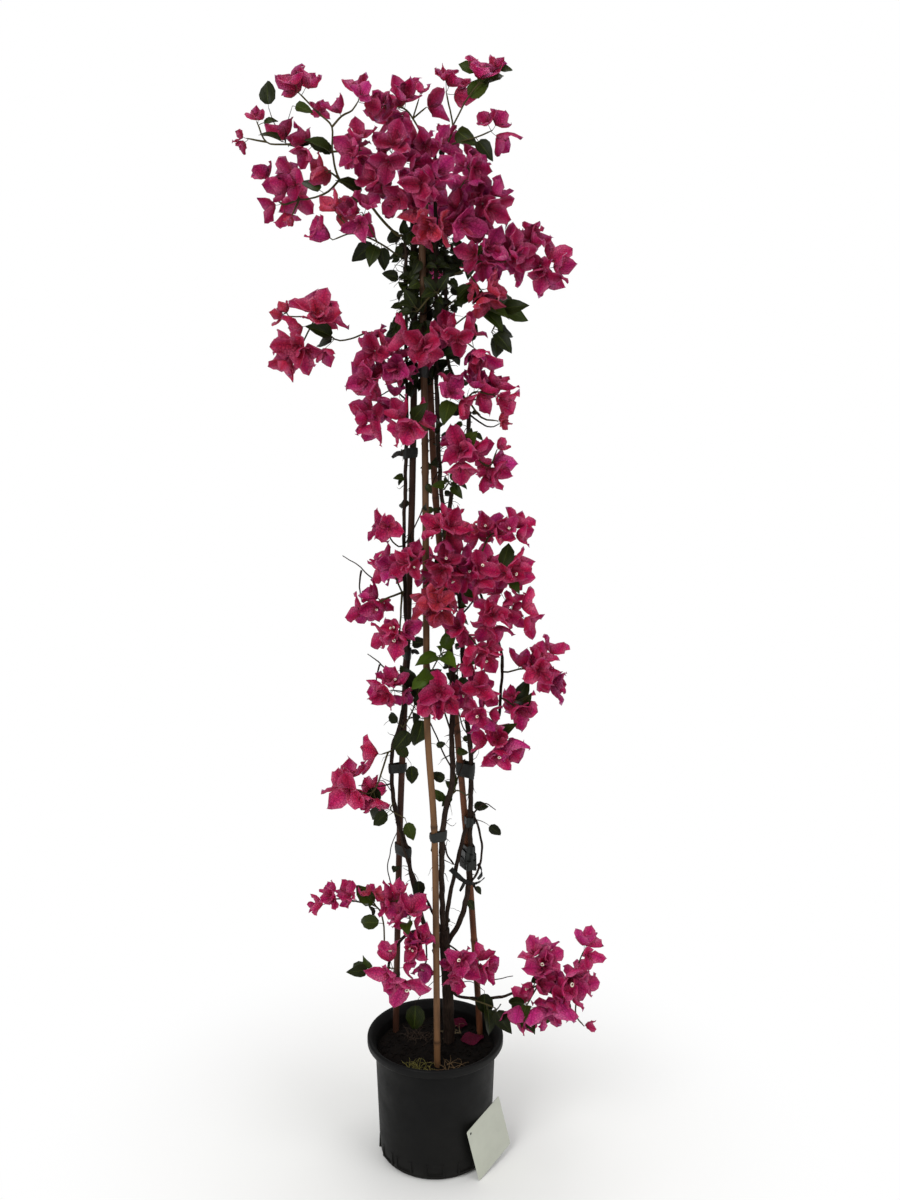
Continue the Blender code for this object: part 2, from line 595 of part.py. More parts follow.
def lay_twigs(stems, space):
    """The twigs of every spray: name: (branches as (route, radii), growing points)."""
    twigs = {}
    for name, (stem, height, branches) in SPRAYS.items():
        route, radii = stems[stem]
        root, thick, along = point_at(route, radii, height, stem in RUNNERS)
        first = Vector(branches[0][1][0][:3])
        out = first - root
        out -= along * out.dot(along)
        out.normalize()
        blooms = sum(p[3] for _, points in branches for p in points)
        thickness = min(0.30, 0.17 + 0.006 * blooms)
        stub = root + out * (thick + 0.8)
        grown = []
        places = []
        for start, points in branches:
            heads = [Vector(p[:3]) for p in points]
            if start < 0:
                begin = [root + out * (thick + 0.04), stub] if not grown else [stub]
            else:
                begin = [places[start][0] + places[start][1] * 0.2]
            path = begin[:-1] + curve_through([begin[-1]] + heads, TWIG_SPACING)
            size = thickness if start < 0 else thickness * 0.75
            path_radii = blend_radii(len(path), size, max(TWIG_TIP, size * 0.5))
            path = bend_clear(path, path_radii, space, name, 0.10, fixed=2 if start < 0 else 1)
            grown.append((path, path_radii))
            for head, point in zip(heads, points):
                index = min(range(1, len(path)), key=lambda k: (path[k] - head).length)
                count = max(1, point[3] + point[4])
                back = path[index - 1] - path[index]
                back *= min(0.95, FOOT_SPACING * count / back.length) / (count + 0.6)
                places.append((path[index], back, *point[3:]))
        for path, path_radii in grown:
            space.add(name, beads(path, path_radii)[1:])
        twigs[name] = (grown, places, (root, out, thick))
    return twigs


def tube_shape(route, radii, sides):
    """Points and faces of a capped tube along a route, its rings turned as little as possible."""
    points = []
    side = None
    for i, middle in enumerate(route):
        ahead = route[min(i + 1, len(route) - 1)] - route[max(i - 1, 0)]
        ahead.normalize()
        side = across(ahead)[0] if side is None else (side - ahead * side.dot(ahead)).normalized()
        over = ahead.cross(side)
        for k in range(sides):
            angle = math.tau * k / sides
            points.append(middle + (side * math.cos(angle) + over * math.sin(angle)) * radii[i])
    faces = []
    for i in range(len(route) - 1):
        for k in range(sides):
            a, b = i * sides + k, i * sides + (k + 1) % sides
            faces.append((a, b, b + sides, a + sides))
    faces.append(tuple(reversed(range(sides))))
    faces.append(tuple(range((len(route) - 1) * sides, len(route) * sides)))
    return points, faces


def bloom_shape(bloom):
    """Points, bract faces and stalk faces of a bloom: one closed mesh of thin blades that share their roots.

    A full bloom's bracts are cut deep and have their belly; a simple one's are folded from flat faces."""
    base, axis = bloom["base"], bloom["axis"]
    side, over = across(axis)
    ahead = (base - bloom["foot"]).normalized()
    foot_side, foot_over = across(ahead)
    notches = [bloom["roll"] + (lobe - 0.5) * math.tau / 3 for lobe in range(3)]
    points = [base + axis * BLOOM_HEART]
    points += [base + (side * math.cos(a) + over * math.sin(a)) * BLOOM_ROOT for a in notches]
    points += [bloom["foot"] + (foot_side * math.cos(a) + foot_over * math.sin(a)) * STALK_FOOT
               for a in notches]
    rings = []
    for lobe in range(3):
        edge = [(NOTCH_AT if bloom["full"] else SIMPLE_NOTCH_AT, -math.tau / 6)]
        if bloom["full"]:
            wide_out = rib(bloom["length"], bloom["start"], bloom["end"], BELLY_AT)[0]
            angle = min(0.95, bloom["half"] / max(wide_out, 0.1))
            edge += [(BELLY_AT, -angle), (1.0, 0), (BELLY_AT, angle)]
        else:
            edge += [(1.0, 0)]
        rings.append(list(range(len(points), len(points) + len(edge))))
        points += [bloom_point(bloom, lobe, at, angle) for at, angle in edge]
    bracts = []
    stalk = [(4, 5, 6)]
    for lobe in range(3):
        after = (lobe + 1) % 3
        edge = rings[lobe] + [rings[after][0]]
        top = len(points)
        under = [1 + after, 1 + lobe] + edge
        if bloom["full"]:
            points.append(bloom_point(bloom, lobe, 0.5, 0, BRACT_THICKNESS / 2))
            points.append(bloom_point(bloom, lobe, 0.5, 0, -BRACT_THICKNESS / 2))
            bracts += [(b, a, top + 1) for a, b in zip(under, under[1:] + under[:1])]
        else:
            fold = points[edge[0]].lerp(points[edge[2]], 0.5).lerp(points[edge[1]], 0.12)
            points.append(fold + inward(bloom, lobe) * BRACT_THICKNESS)
            bracts += [(1 + lobe, 1 + after, edge[2]), (1 + lobe, edge[2], edge[0]),
                       (edge[0], edge[2], edge[1])]
        bracts += [(a, b, top) for a, b in zip([0] + edge, edge + [0])]
        stalk.append((1 + lobe, 1 + after, 4 + after, 4 + lobe))
    return points, bracts, stalk


def inward(bloom, lobe):
    """The way from a bract's middle to the inside of its bloom."""
    return (bloom_point(bloom, lobe, 0.6, 0, 1.0) - bloom_point(bloom, lobe, 0.6, 0)).normalized()


def leaf_shape(leaf):
    """Points, blade faces and stalk faces of an ovate, pointed leaf, folded at its midrib."""
    base, side, up = leaf["base"], leaf["side"], leaf["face"]
    points = []
    for spot, wide in ((leaf["foot"], STALK_FOOT), (base, STALK_FOOT * 1.6)):
        lift = up * (wide * 0.5)
        points += [spot - side * wide + lift, spot + side * wide + lift, spot - up * wide]
    outline = [(at, -wide) for at, wide in LEAF_OUTLINE] + [(1.0, 0)]
    outline += [(at, wide) for at, wide in reversed(LEAF_OUTLINE)]
    edge = [3] + list(range(len(points), len(points) + len(outline))) + [4]
    points += [leaf_point(leaf, at, wide) for at, wide in outline]
    top = len(points)
    points.append(leaf_point(leaf, 0.45, 0, LEAF_THICKNESS / 2))
    points.append(leaf_point(leaf, 0.45, 0, -LEAF_THICKNESS / 2))
    blade = [(a, b, top) for a, b in zip(edge, edge[1:] + edge[:1])]
    blade += [(b, a, top + 1) for a, b in zip([5] + edge, edge + [5])]
    return points, blade, [(0, 1, 2), (0, 3, 4, 1), (1, 4, 5, 2), (2, 5, 3, 0)]


def settle(make, shape, balls, own, space, twig_trees, kept):
    """Tries places until one is clear of every other piece and crosses nothing of its own spray."""
    grown = own + " blooms"
    best = None
    for attempt in range(TRIES):
        candidate = make(attempt)
        body = balls(candidate)
        rows = body + stalk_balls(candidate["foot"], candidate["base"], PEDICEL_RADIUS)
        if space.room(rows, skip=(own, grown)) < CLEARANCE:
            continue
        points, blades, stalk = shape(candidate)
        blade_tree = BVHTree.FromPolygons(points, blades)
        tree = BVHTree.FromPolygons(points, blades + stalk)
        crossings = sum(len(tree.overlap(other)) for other in kept)
        crossings += sum(len(blade_tree.overlap(other)) for other in twig_trees)
        if best is None or crossings < best[0]:
            best = (crossings, candidate, body, tree)
        if crossings == 0:
            break
    if best is None:
        return None
    space.add(grown, best[2])
    kept.append(best[3])
    return best[1]


def grow(twigs, space):
    """Blooms and leaves at every growing point: name: (blooms, leaves)."""
    grown = {}
    for name, (routes, places, root) in twigs.items():
        rng = random.Random(f"{SEED} {name}")
        twig_trees = [BVHTree.FromPolygons(*tube_shape(route, radii, 3)) for route, radii in routes]
        kept = []
        blooms, leaves = [], []
        for point, back, bloom_count, leaf_count, words in places:
            aim = aim_of(point, words)
            turn = rng.uniform(0, math.tau)
            big = 1.16 if "big" in words else 0.70 if "small" in words else 1.0
            reach = (0.5, 0.9, 1.3, 1.7, 2.1)[min(bloom_count, 5) - 1] * big

            for index in range(bloom_count):
                scale = big * rng.uniform(0.88, 1.08)
                young = "small" in words

                def make_bloom(attempt):
                    way = spread_about(aim, index, bloom_count, turn, 0.10 + 0.03 * attempt, rng)
                    openness = rng.uniform(0.05, 0.30) if young else rng.uniform(0.15, 0.85)
                    stalk = reach + rng.uniform(0, 0.05) * attempt
                    foot = point + back * (index + 0.6)
                    bloom = place_bloom(foot, way, stalk, scale, openness, rng.uniform(0, math.tau))
                    bloom["full"] = bloom_count == 1 or "big" in words
                    bloom["words"] = words
                    return bloom

                bloom = settle(make_bloom, bloom_shape, bloom_balls, name, space, twig_trees, kept)
                if bloom:
                    blooms.append(bloom)

            for index in range(leaf_count):
                scale = (0.62 if "small" in words else 1.0) * rng.uniform(0.85, 1.10)

                def make_leaf(attempt):
                    way = spread_about(aim, index, leaf_count + 1, turn + 1.9, 0.15 + 0.03 * attempt, rng)
                    foot = point + back * (bloom_count + index + 0.6)
                    stalk = 0.9 + rng.uniform(0, 0.04) * attempt
                    face = Vector((0.4 * aim.x + rng.uniform(-0.4, 0.4), 1.0 if point.y > 4 else -1.0,
                                   rng.uniform(0.1, 0.9)))
                    leaf = place_leaf(foot, way, stalk, scale, rng.uniform(0.35, 0.95), face)
                    leaf["words"] = words
                    return leaf

                leaf = settle(make_leaf, leaf_shape, leaf_balls, name, space, twig_trees, kept)
                if leaf:
                    leaves.append(leaf)
        grown[name] = (blooms, leaves)
    return grown


def tape_ring(name, canes, stems):
    """The inner and outer outline of a tie, seen from above, round all that it holds over its height."""
    height, held, band, _ = TIES[name]
    circles = []
    for member in held:
        route, radii = (canes | stems)[member]
        for step in range(5):
            middle, radius, slant = point_at(route, radii, height + band * (step / 4 - 0.5), False)
            circles.append((Vector((middle.x, middle.y, 0)), radius / max(0.6, slant.z)))
    angles = [math.tau * i / TAPE_SIDES for i in range(TAPE_SIDES)]
    ways = [Vector((math.cos(a), math.sin(a), 0)) for a in angles]
    rings = []
    for offset in (TAPE_GAP, TAPE_GAP + TAPE):
        reach = [max(c.dot(way) + radius for c, radius in circles) + offset for way in ways]
        ring = []
        for n, m, h, k in zip(ways, ways[1:] + ways[:1], reach, reach[1:] + reach[:1]):
            turn = n.x * m.y - n.y * m.x
            ring.append(Vector(((h * m.y - k * n.y) / turn, (n.x * k - m.x * h) / turn, height)))
        rings.append(ring)
    return rings


def tape_tails(name, rings):
    """Where each loose end of a tie starts and ends: it leaves the band and hangs a little."""
    tails = []
    for degrees, length in TIES[name][3]:
        way = Vector((math.cos(math.radians(degrees)), math.sin(math.radians(degrees)), 0))
        start = max(rings[1], key=lambda p: p.dot(way))
        tails.append((start - way * TAPE * 0.5, start + way * length - Vector((0, 0, 0.35 * length))))
    return tails


def hold_ties(canes, stems, space):
    """Adds the ties to what is placed, and returns them as name: (rings, tails)."""
    ties = {}
    for name in TIES:
        rings = tape_ring(name, canes, stems)
        rows = []
        for a, b in zip(rings[1], rings[1][1:] + rings[1][:1]):
            for t in (0.0, 0.5):
                for level in (-0.5, 0.0, 0.5):
                    spot = a.lerp(b, t) + Vector((0, 0, level * TIES[name][2]))
                    rows.append((*spot, 0.12))
        tails = tape_tails(name, rings)
        for start, end in tails:
            rows += beads([start, end], [0.35, 0.35])
        space.add(name, rows)
        ties[name] = (rings, tails)
    return ties


def grow_thorns(stems, space):
    """Thorns up the stems, each as (foot, tip), where the twigs leave them room."""
    rng = random.Random(SEED)
    thorns = []
    for stem in THORNY:
        route, radii = stems[stem]
        low, high = route[0].z + 6, route[-1].z - 6
        for step in range(int((high - low) / THORN_SPACING)):
            height = low + (step + rng.uniform(0.2, 0.8)) * THORN_SPACING
            if any(abs(height - tie[0]) < 3 for tie in TIES.values()):
                continue
            point, radius, along = point_at(route, radii, height, False)
            side, over = across(along)
            for _ in range(TRIES):
                turn = rng.uniform(0, math.tau)
                out = side * math.cos(turn) + over * math.sin(turn)
                tip = point + (out + Vector((0, 0, -0.25))).normalized() * (radius + THORN_LENGTH)
                marks = [(*point.lerp(tip, t), 0.12) for t in (0.4, 0.7, 1.0)]
                if space.room(marks, skip=("woody_stems",)) > 0.2:
                    thorns.append((point + out * radius * 0.3, tip))
                    space.add("woody_stems", [(*tip, 0.05), (*point.lerp(tip, 0.7), 0.1)])
                    break
    return thorns


def layout():
    """Every route and place of the plant, in centimetres."""
    space = Space()
    rim = [Vector((math.cos(a), math.sin(a), 0)) * 11.6 + Vector((0, 0, 21.9))
           for a in (math.tau * i / 72 for i in range(73))]
    space.add("pot", beads(rim, [0.8] * len(rim)))
    canes, stems = lay_stems(space)
    ties = hold_ties(canes, stems, space)
    twigs = lay_twigs(stems, space)
    thorns = grow_thorns(stems, space)
    return canes, stems, ties, thorns, twigs, grow(twigs, space)


def material(name, colour, roughness):
    """A plain finish; the colour is an sRGB hex value."""
    made = bpy.data.materials.new(name)
    made.use_nodes = True
    shader = made.node_tree.nodes["Principled BSDF"]
    parts = [int(colour[i:i + 2], 16) / 255 for i in (0, 2, 4)]
    linear = [c / 12.92 if c <= 0.04045 else ((c + 0.055) / 1.055) ** 2.4 for c in parts]
    shader.inputs["Base Color"].default_value = (*linear, 1)
    shader.inputs["Roughness"].default_value = roughness
    return made


def solid(name, points, faces, stuff, smooth=False):
    """An object from points in metres; its faces are turned outwards."""
    mesh = bpy.data.meshes.new(name)
    mesh.from_pydata([tuple(p) for p in points], [], faces)
    shape = bmesh.new()
    shape.from_mesh(mesh)
    bmesh.ops.recalc_face_normals(shape, faces=shape.faces)
    shape.to_mesh(mesh)
    shape.free()
    made = bpy.data.objects.new(name, mesh)
    bpy.context.collection.objects.link(made)
    mesh.materials.append(stuff)
    if smooth:
        mesh.shade_smooth()
        mesh.set_sharp_from_angle(angle=math.radians(40))
    return made


def tube(name, route, radii, sides, stuff, smooth=False):
    points, faces = tube_shape(route, radii, sides)
    return solid(name, [p * CM for p in points], faces, stuff, smooth)


def apply_modifier(target, modifier):
    bpy.context.view_layer.objects.active = target
    bpy.ops.object.modifier_apply(modifier=modifier.name)


def triangulated(target):
    """Drops the points that a Boolean left in the middle of an edge, and splits the faces into triangles."""
    shape = bmesh.new()
    shape.from_mesh(target.data)
    bmesh.ops.dissolve_verts(shape, verts=[v for v in shape.verts if len(v.link_edges) == 2])
    bmesh.ops.triangulate(shape, faces=shape.faces)
    shape.to_mesh(target.data)
    shape.free()
    return target


def fuse(target, pieces):
    """Joins the pieces to the target by one Boolean union, and removes them."""
    if not pieces:
        return target
    group = bpy.data.collections.new(target.name + "_pieces")
    bpy.context.scene.collection.children.link(group)
    for piece in pieces:
        bpy.context.collection.objects.unlink(piece)
        group.objects.link(piece)
    union = target.modifiers.new("union", "BOOLEAN")
    union.operation = "UNION"
    union.operand_type = "COLLECTION"
    union.collection = group
    union.material_mode = "TRANSFER"
    union.solver = "MANIFOLD"
    apply_modifier(target, union)
    for piece in pieces:
        bpy.data.objects.remove(piece)
    bpy.data.collections.remove(group)
    return triangulated(target)


def thin_out(target, share):
    """Collapses the shortest, flattest edges, mostly those a Boolean left, to a share of the triangles."""
    thinner = target.modifiers.new("thinner", "DECIMATE")
    thinner.ratio = share
    apply_modifier(target, thinner)
    return target


def cut(target, cutters):
    """Takes the cutters away from the target, one by one, and removes them."""
    for cutter in cutters:
        hole = target.modifiers.new("hole", "BOOLEAN")
        hole.operation = "DIFFERENCE"
        hole.object = cutter
        hole.solver = "EXACT"
        apply_modifier(target, hole)
        bpy.data.objects.remove(cutter)
    return triangulated(target)


def turned(name, profile, stuff, bumps=None):
    """A closed turned solid; the profile runs from the axis to the axis, as (radius, height) in metres."""
    points = []
    starts = []
    for radius, height in profile:
        starts.append(len(points))
        if radius == 0:
            points.append(Vector((0, 0, height)))
            continue
        for k in range(TURNED_SIDES):
            angle = math.tau * k / TURNED_SIDES
            lift = bumps(radius, angle) if bumps and height >= SOIL_LEVEL else 0
            points.append(Vector((radius * math.cos(angle), radius * math.sin(angle), height + lift)))
    faces = []
    for i in range(len(profile) - 1):
        a, b = starts[i], starts[i + 1]
        for k in range(TURNED_SIDES):
            n = (k + 1) % TURNED_SIDES
            if profile[i][0] == 0:
                faces.append((a, b + n, b + k))
            elif profile[i + 1][0] == 0:
                faces.append((a + k, a + n, b))
            else:
                faces.append((a + k, a + n, b + n, b + k))
    return solid(name, points, faces, stuff, smooth=True)


def wall_at(height, inner=False):
    """The pot wall's radius at a height, outside or inside."""
    low, high = POT_FOOT_RADIUS, POT_WALL_RADIUS
    top = POT_HEIGHT - LIP_DEPTH
    return low + (high - low) * min(height, top) / top - (POT_WALL if inner else 0)


def make_pot(plastic):
    top = POT_HEIGHT - LIP_DEPTH
    rim = POT_RIM_RADIUS
    profile = [(0, 0), (POT_FOOT_RADIUS - 0.6 * CM, 0), (POT_FOOT_RADIUS - 0.15 * CM, 0.15 * CM),
               (POT_FOOT_RADIUS + 0.02 * CM, 0.7 * CM), (wall_at(top), top), (rim - 0.25 * CM, top),
               (rim, top + 0.3 * CM), (rim, POT_HEIGHT - 0.35 * CM), (rim - 0.3 * CM, POT_HEIGHT),
               (rim - 0.9 * CM, POT_HEIGHT - 0.1 * CM), (wall_at(top, True), top - 0.1 * CM),
               (wall_at(1 * CM, True), POT_FLOOR), (0, POT_FLOOR)]
    pot = turned("pot", profile, plastic)
    cutters = []
    for k in range(SLOT_COUNT):
        angle = math.tau * k / SLOT_COUNT - math.pi / 2
        out = Vector((math.cos(angle), math.sin(angle), 0))
        side = Vector((-out.y, out.x, 0)) * (SLOT_WIDTH / 2)
        corners = []
        for radius in (wall_at(0) - 0.8 * CM, wall_at(0) + 1.0 * CM):
            for height in (SLOT_LOW, SLOT_HIGH):
                for way in (-1, 1):
                    corners.append(out * radius + side * way + Vector((0, 0, height)))
        cutters.append(solid("slot", corners, BOX_FACES, plastic))
    return cut(pot, cutters)


def soil_bumps(radius, angle):
    """The soil's uneven top: low mounds on a gentle dome, both dying away at the wall."""
    share = radius / SOIL_MOUND_REACH
    mounds = SOIL_MOUND * math.sin(3 * angle + 0.7) + SOIL_RIPPLE * math.sin(5 * angle + 2.0 + 6 * share)
    return mounds * (1 - share ** 4) + SOIL_DOME * (1 - share ** 2)


def make_soil(earth, canes, stems):
    low = POT_FLOOR + GAP
    bottom = wall_at(1 * CM, True) - 2 * GAP
    top = wall_at(SOIL_LEVEL, True) - 2 * GAP
    profile = [(0, low), (bottom, low), (top, SOIL_LEVEL)]
    profile += [(radius * CM, SOIL_LEVEL) for radius in (7.4, 3.8)] + [(0, SOIL_LEVEL + 0.5 * CM)]
    soil = turned("soil", profile, earth, soil_bumps)
    holes = []
    standing = [(*canes[name], CANE_SIDES) for name in CANES] + [(*stems["trunk"], STEMS["trunk"][2])]
    for route, radii, sides in standing:
        foot = route[0]
        down = (route[1] - foot).normalized() * (2 * GAP / CM)
        wide = [r + HOLE_CLEARANCE / CM for r in radii]
        holes.append(tube("hole", [foot - down] + route[1:4], wide[:4], sides, earth))
    return cut(soil, holes)


def make_card(card):
    """A square card that stands on one corner and leans back on the pot's wall."""
    out = Vector((math.cos(CARD_AZIMUTH), math.sin(CARD_AZIMUTH), 0))
    along = Vector((-out.y, out.x, 0))
    lean = math.asin((CARD_STAND_OFF - wall_at(CARD_TOUCH) - CARD_THICKNESS - 2 * GAP) / CARD_TOUCH)
    rise = Vector((0, 0, 1)) * math.cos(lean) - out * math.sin(lean)
    face = out * math.cos(lean) + Vector((0, 0, 1)) * math.sin(lean)
    first = along * math.cos(CARD_SPIN) + rise * math.sin(CARD_SPIN)
    second = rise * math.cos(CARD_SPIN) - along * math.sin(CARD_SPIN)
    corner = out * CARD_STAND_OFF - along * CARD_SHIFT + Vector((0, 0, CARD_LIFT))
    points = [corner + first * CARD_SIDE * a + second * CARD_SIDE * b + face * CARD_THICKNESS * c
              for a in (0, 1) for b in (0, 1) for c in (0, 1)]
    label = solid("card_label", points, BOX_FACES, card)
    spot = corner + first * CARD_HOLE_INSET + second * (CARD_SIDE - CARD_HOLE_INSET)
    ends = [(spot - face * 3 * CARD_THICKNESS) / CM, (spot + face * 4 * CARD_THICKNESS) / CM]
    return cut(label, [tube("punch", ends, [CARD_HOLE_RADIUS] * 2, CARD_HOLE_SIDES, card)])


def tree_of(thing):
    """A search tree of an object's triangles, in metres."""
    mesh = thing.data
    return BVHTree.FromPolygons([v.co for v in mesh.vertices], [tuple(p.vertices) for p in mesh.polygons])


def make_canes(canes, bamboo):
    for name, (route, radii) in canes.items():
        tube(name, route, radii, CANE_SIDES, bamboo, smooth=True)


def make_stems(stems, thorns, bark):
    tubes = [tube(name, *stems[name], STEMS[name][2], bark) for name in STEMS]
    for foot, tip in thorns:
        side, over = across((tip - foot).normalized())
        corners = [foot + (side * math.cos(a) + over * math.sin(a)) * THORN_FOOT
                   for a in (math.tau * k / 3 for k in range(3))]
        points = [p * CM for p in corners + [tip]]
        tubes.append(solid("thorn", points, [(0, 1, 2), (0, 1, 3), (1, 2, 3), (2, 0, 3)], bark))
    tubes[0].name = "woody_stems"
    return fuse(tubes[0], tubes[1:])


def make_tie(name, rings, tails, tape):
    """A band of tape with its loose ends; its four loops are inner low, outer low, outer high, inner high."""
    half = Vector((0, 0, TIES[name][2] / 2))
    loops = [(rings[0], -half), (rings[1], -half), (rings[1], half), (rings[0], half)]
    points = [(p + lift) * CM for ring, lift in loops for p in ring]
    faces = []
    for a, b in ((0, 1), (1, 2), (2, 3), (3, 0)):
        for k in range(TAPE_SIDES):
            n = (k + 1) % TAPE_SIDES
            faces.append((a * TAPE_SIDES + k, a * TAPE_SIDES + n, b * TAPE_SIDES + n, b * TAPE_SIDES + k))
    band = solid(name, points, faces, tape)
    ends = []
    for start, end in tails:
        side = (end - start).cross(Vector((0, 0, 1))).normalized() * (TAPE / 2)
        tall = Vector((0, 0, TIES[name][2] * 0.3))
        corners = [(p + s * side + t * tall) * CM for p in (start, end) for s in (-1, 1) for t in (-1, 1)]
        ends.append(solid("tail", corners, BOX_FACES, tape))
    return fuse(band, ends)


def make_spray(name, twig, grown, stem_tree, bark, bract, foliage):
    """A side shoot with all that grows on it, as one closed body that starts just off its stem."""
    routes, _, (root, out, thick) = twig
    pieces = []
    for index, (route, radii) in enumerate(routes):
        route = [p.copy() for p in route]
        ahead = (route[-1] - route[-2]).normalized()
        route.append(route[-1] + ahead * TWIG_OVERRUN)
        radii = radii + [radii[-1] * 0.9]
        sides = 3 if radii[0] < 0.17 else 4
        piece = tube(name if index == 0 else "twig", route, radii, sides, bark)
        if index == 0:
            hit = stem_tree.ray_cast(route[1] * CM, -out)[0] / CM
            for step in range(20):
                route[0] = hit + out * (TWIG_GAP + step * 0.01)
                bpy.data.objects.remove(piece)
                piece = tube(name, route, radii, sides, bark)
                if not tree_of(piece).overlap(stem_tree):
                    break
        pieces.append(piece)
    blooms, leaves = grown
    for shape, things, stuff in ((bloom_shape, blooms, bract), (leaf_shape, leaves, foliage)):
        for thing in things:
            points, blades, stalk = shape(thing)
            pieces.append(solid(shape.__name__, [p * CM for p in points], blades + stalk, stuff))
    return thin_out(fuse(pieces[0], pieces[1:]), SPRAY_SHARE)


def make_fallen_bract(name, x, y, turn, scale, soil_tree, bract):
    """A fallen bract: a pointed blade, domed a little, that lies on the soil."""
    outline = ((-0.5, 0.0), (-0.36, 0.30), (-0.05, 0.37), (0.28, 0.22), (0.5, 0.0), (0.28, -0.22),
               (-0.05, -0.37), (-0.36, -0.30))
    along = Vector((math.cos(turn), math.sin(turn), 0))
    side = Vector((-along.y, along.x, 0))
    flat = [(along * a + side * b) * BRACT_LENGTH * scale * CM for a, b in outline]
    flat.append(Vector((0, 0, 0.35 * CM)))
    level = 0
    for way in flat:
        spot = Vector((x * CM, y * CM, 0)) + way
        hit = soil_tree.ray_cast(Vector((spot.x, spot.y, 1)), Vector((0, 0, -1)))[0]
        level = max(level, hit.z - way.z)
    low = [Vector((x * CM, y * CM, level + GAP)) + way for way in flat]
    high = [p + Vector((0, 0, BRACT_THICKNESS * 0.6 * CM)) for p in low]
    count = len(outline)
    faces = []
    for k in range(count):
        n = (k + 1) % count
        faces.append((k, n, count))
        faces.append((2 * count + 1, count + 1 + n, count + 1 + k))
        faces.append((n, k, count + 1 + k, count + 1 + n))
    return solid(name, low + high, faces, bract)


def main():
    for old in list(bpy.data.objects):
        bpy.data.objects.remove(old)
    plastic = material("moulded_black_plastic", "2b2c2d", 0.55)
    earth = material("potting_soil", "2a211c", 0.95)
    bamboo = material("bamboo", "6b5138", 0.60)
    bark = material("bark", "3a2a22", 0.80)
    tape = material("tie_tape", "23302b", 0.55)
    paper = material("coated_card", "e9e6df", 0.35)
    bract = material("bract", "c2346f", 0.55)
    foliage = material("foliage", "3d5c2c", 0.50)

    canes, stems, ties, thorns, twigs, grown = layout()
    make_pot(plastic)
    soil = make_soil(earth, canes, stems)
    make_canes(canes, bamboo)
    woody = make_stems(stems, thorns, bark)
    for name, (rings, tails) in ties.items():
        make_tie(name, rings, tails, tape)
    make_card(paper)
    for index, place in enumerate(FALLEN_BRACTS):
        make_fallen_bract(f"fallen_bract_{index + 1}", *place, tree_of(soil), bract)
    stem_tree = tree_of(woody)
    for name, twig in twigs.items():
        make_spray(name, twig, grown[name], stem_tree, bark, bract, foliage)


main()
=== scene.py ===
"""Potted lesser bougainvillea: the fine surface of the climbing plant, its pot and what holds it up.

Metres, +Z up, in the frame of the solid model. Routes and places are given in centimetres, as in the
solids' own source, and turned to metres by CM. The same seeded draws put every bloom where its solid is.
"""

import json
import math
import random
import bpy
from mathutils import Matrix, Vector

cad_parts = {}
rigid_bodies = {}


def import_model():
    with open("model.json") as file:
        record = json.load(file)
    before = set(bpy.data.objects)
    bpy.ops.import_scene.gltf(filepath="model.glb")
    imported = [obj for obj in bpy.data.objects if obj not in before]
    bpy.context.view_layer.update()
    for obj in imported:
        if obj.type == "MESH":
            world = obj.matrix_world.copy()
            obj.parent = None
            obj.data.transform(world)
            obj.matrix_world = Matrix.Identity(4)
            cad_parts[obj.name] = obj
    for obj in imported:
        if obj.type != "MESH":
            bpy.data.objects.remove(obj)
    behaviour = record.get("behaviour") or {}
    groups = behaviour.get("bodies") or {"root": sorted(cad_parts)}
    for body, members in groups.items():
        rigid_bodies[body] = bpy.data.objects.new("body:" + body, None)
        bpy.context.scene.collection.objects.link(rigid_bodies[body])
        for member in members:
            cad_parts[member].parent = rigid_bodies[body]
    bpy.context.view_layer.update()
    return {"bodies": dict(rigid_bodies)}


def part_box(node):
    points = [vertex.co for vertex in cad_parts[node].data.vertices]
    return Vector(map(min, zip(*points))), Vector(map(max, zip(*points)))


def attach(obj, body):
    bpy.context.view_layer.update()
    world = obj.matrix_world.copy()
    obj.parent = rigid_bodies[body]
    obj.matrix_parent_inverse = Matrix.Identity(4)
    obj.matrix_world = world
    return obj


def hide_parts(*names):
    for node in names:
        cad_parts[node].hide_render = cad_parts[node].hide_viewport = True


bl_info = {
    "name": "Potted Bougainvillea",
    "version": (1, 0, 0),
    "blender": (4, 5, 0),
    "location": "View3D > Sidebar > Bougainvillea",
    "description": "A flowering climber tied to bamboo canes in a nursery pot",
    "category": "Add Mesh",
}

from functools import lru_cache, partial

import bpy
import numpy as np
from bpy.props import FloatProperty, FloatVectorProperty, IntProperty, PointerProperty
from mathutils import Matrix, Vector, noise
from mathutils.bvhtree import BVHTree

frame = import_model()
BODY = next(iter(frame["bodies"]))

CM = 0.01
MM = 0.001
MERGE = 0.002 * MM

# Pot and soil, from the solids
POT_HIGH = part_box("pot")[1]
POT_RIM = POT_HIGH.x
POT_HEIGHT = POT_HIGH.z
POT_FOOT = 9.9 * CM
POT_WAIST = 10.6 * CM
POT_WALL = 0.18 * CM
POT_FLOOR = 0.30 * CM
LIP_DEPTH = 1.4 * CM
SLOT_COUNT = 4
SLOT_SIZE = (2.8 * CM, 1.9 * CM)
SLOT_MIDDLE = 2.15 * CM
BLIND_SLOT_TURN = 33
SLOT_PROUD = 0.5 * MM
SOIL_LEVEL = 19.5 * CM
SOIL_DOME = 0.50 * CM

# Canes and stems, in centimetres
CANE_RADIUS = 0.60
CANE_SPACING = 18
STEM_SPACING = 7
CANE_RINGS = (29, 47, 68, 87, 108, 127, 149)
THORN_LENGTH = 0.9
THORN_SPACING = 14.0
THORNY = ("left", "middle", "right")

# The pot's lip as the blooms see it, in centimetres: radius of its ring, height and thickness
LIP_GUARD = (11.6, 21.9, 0.8)

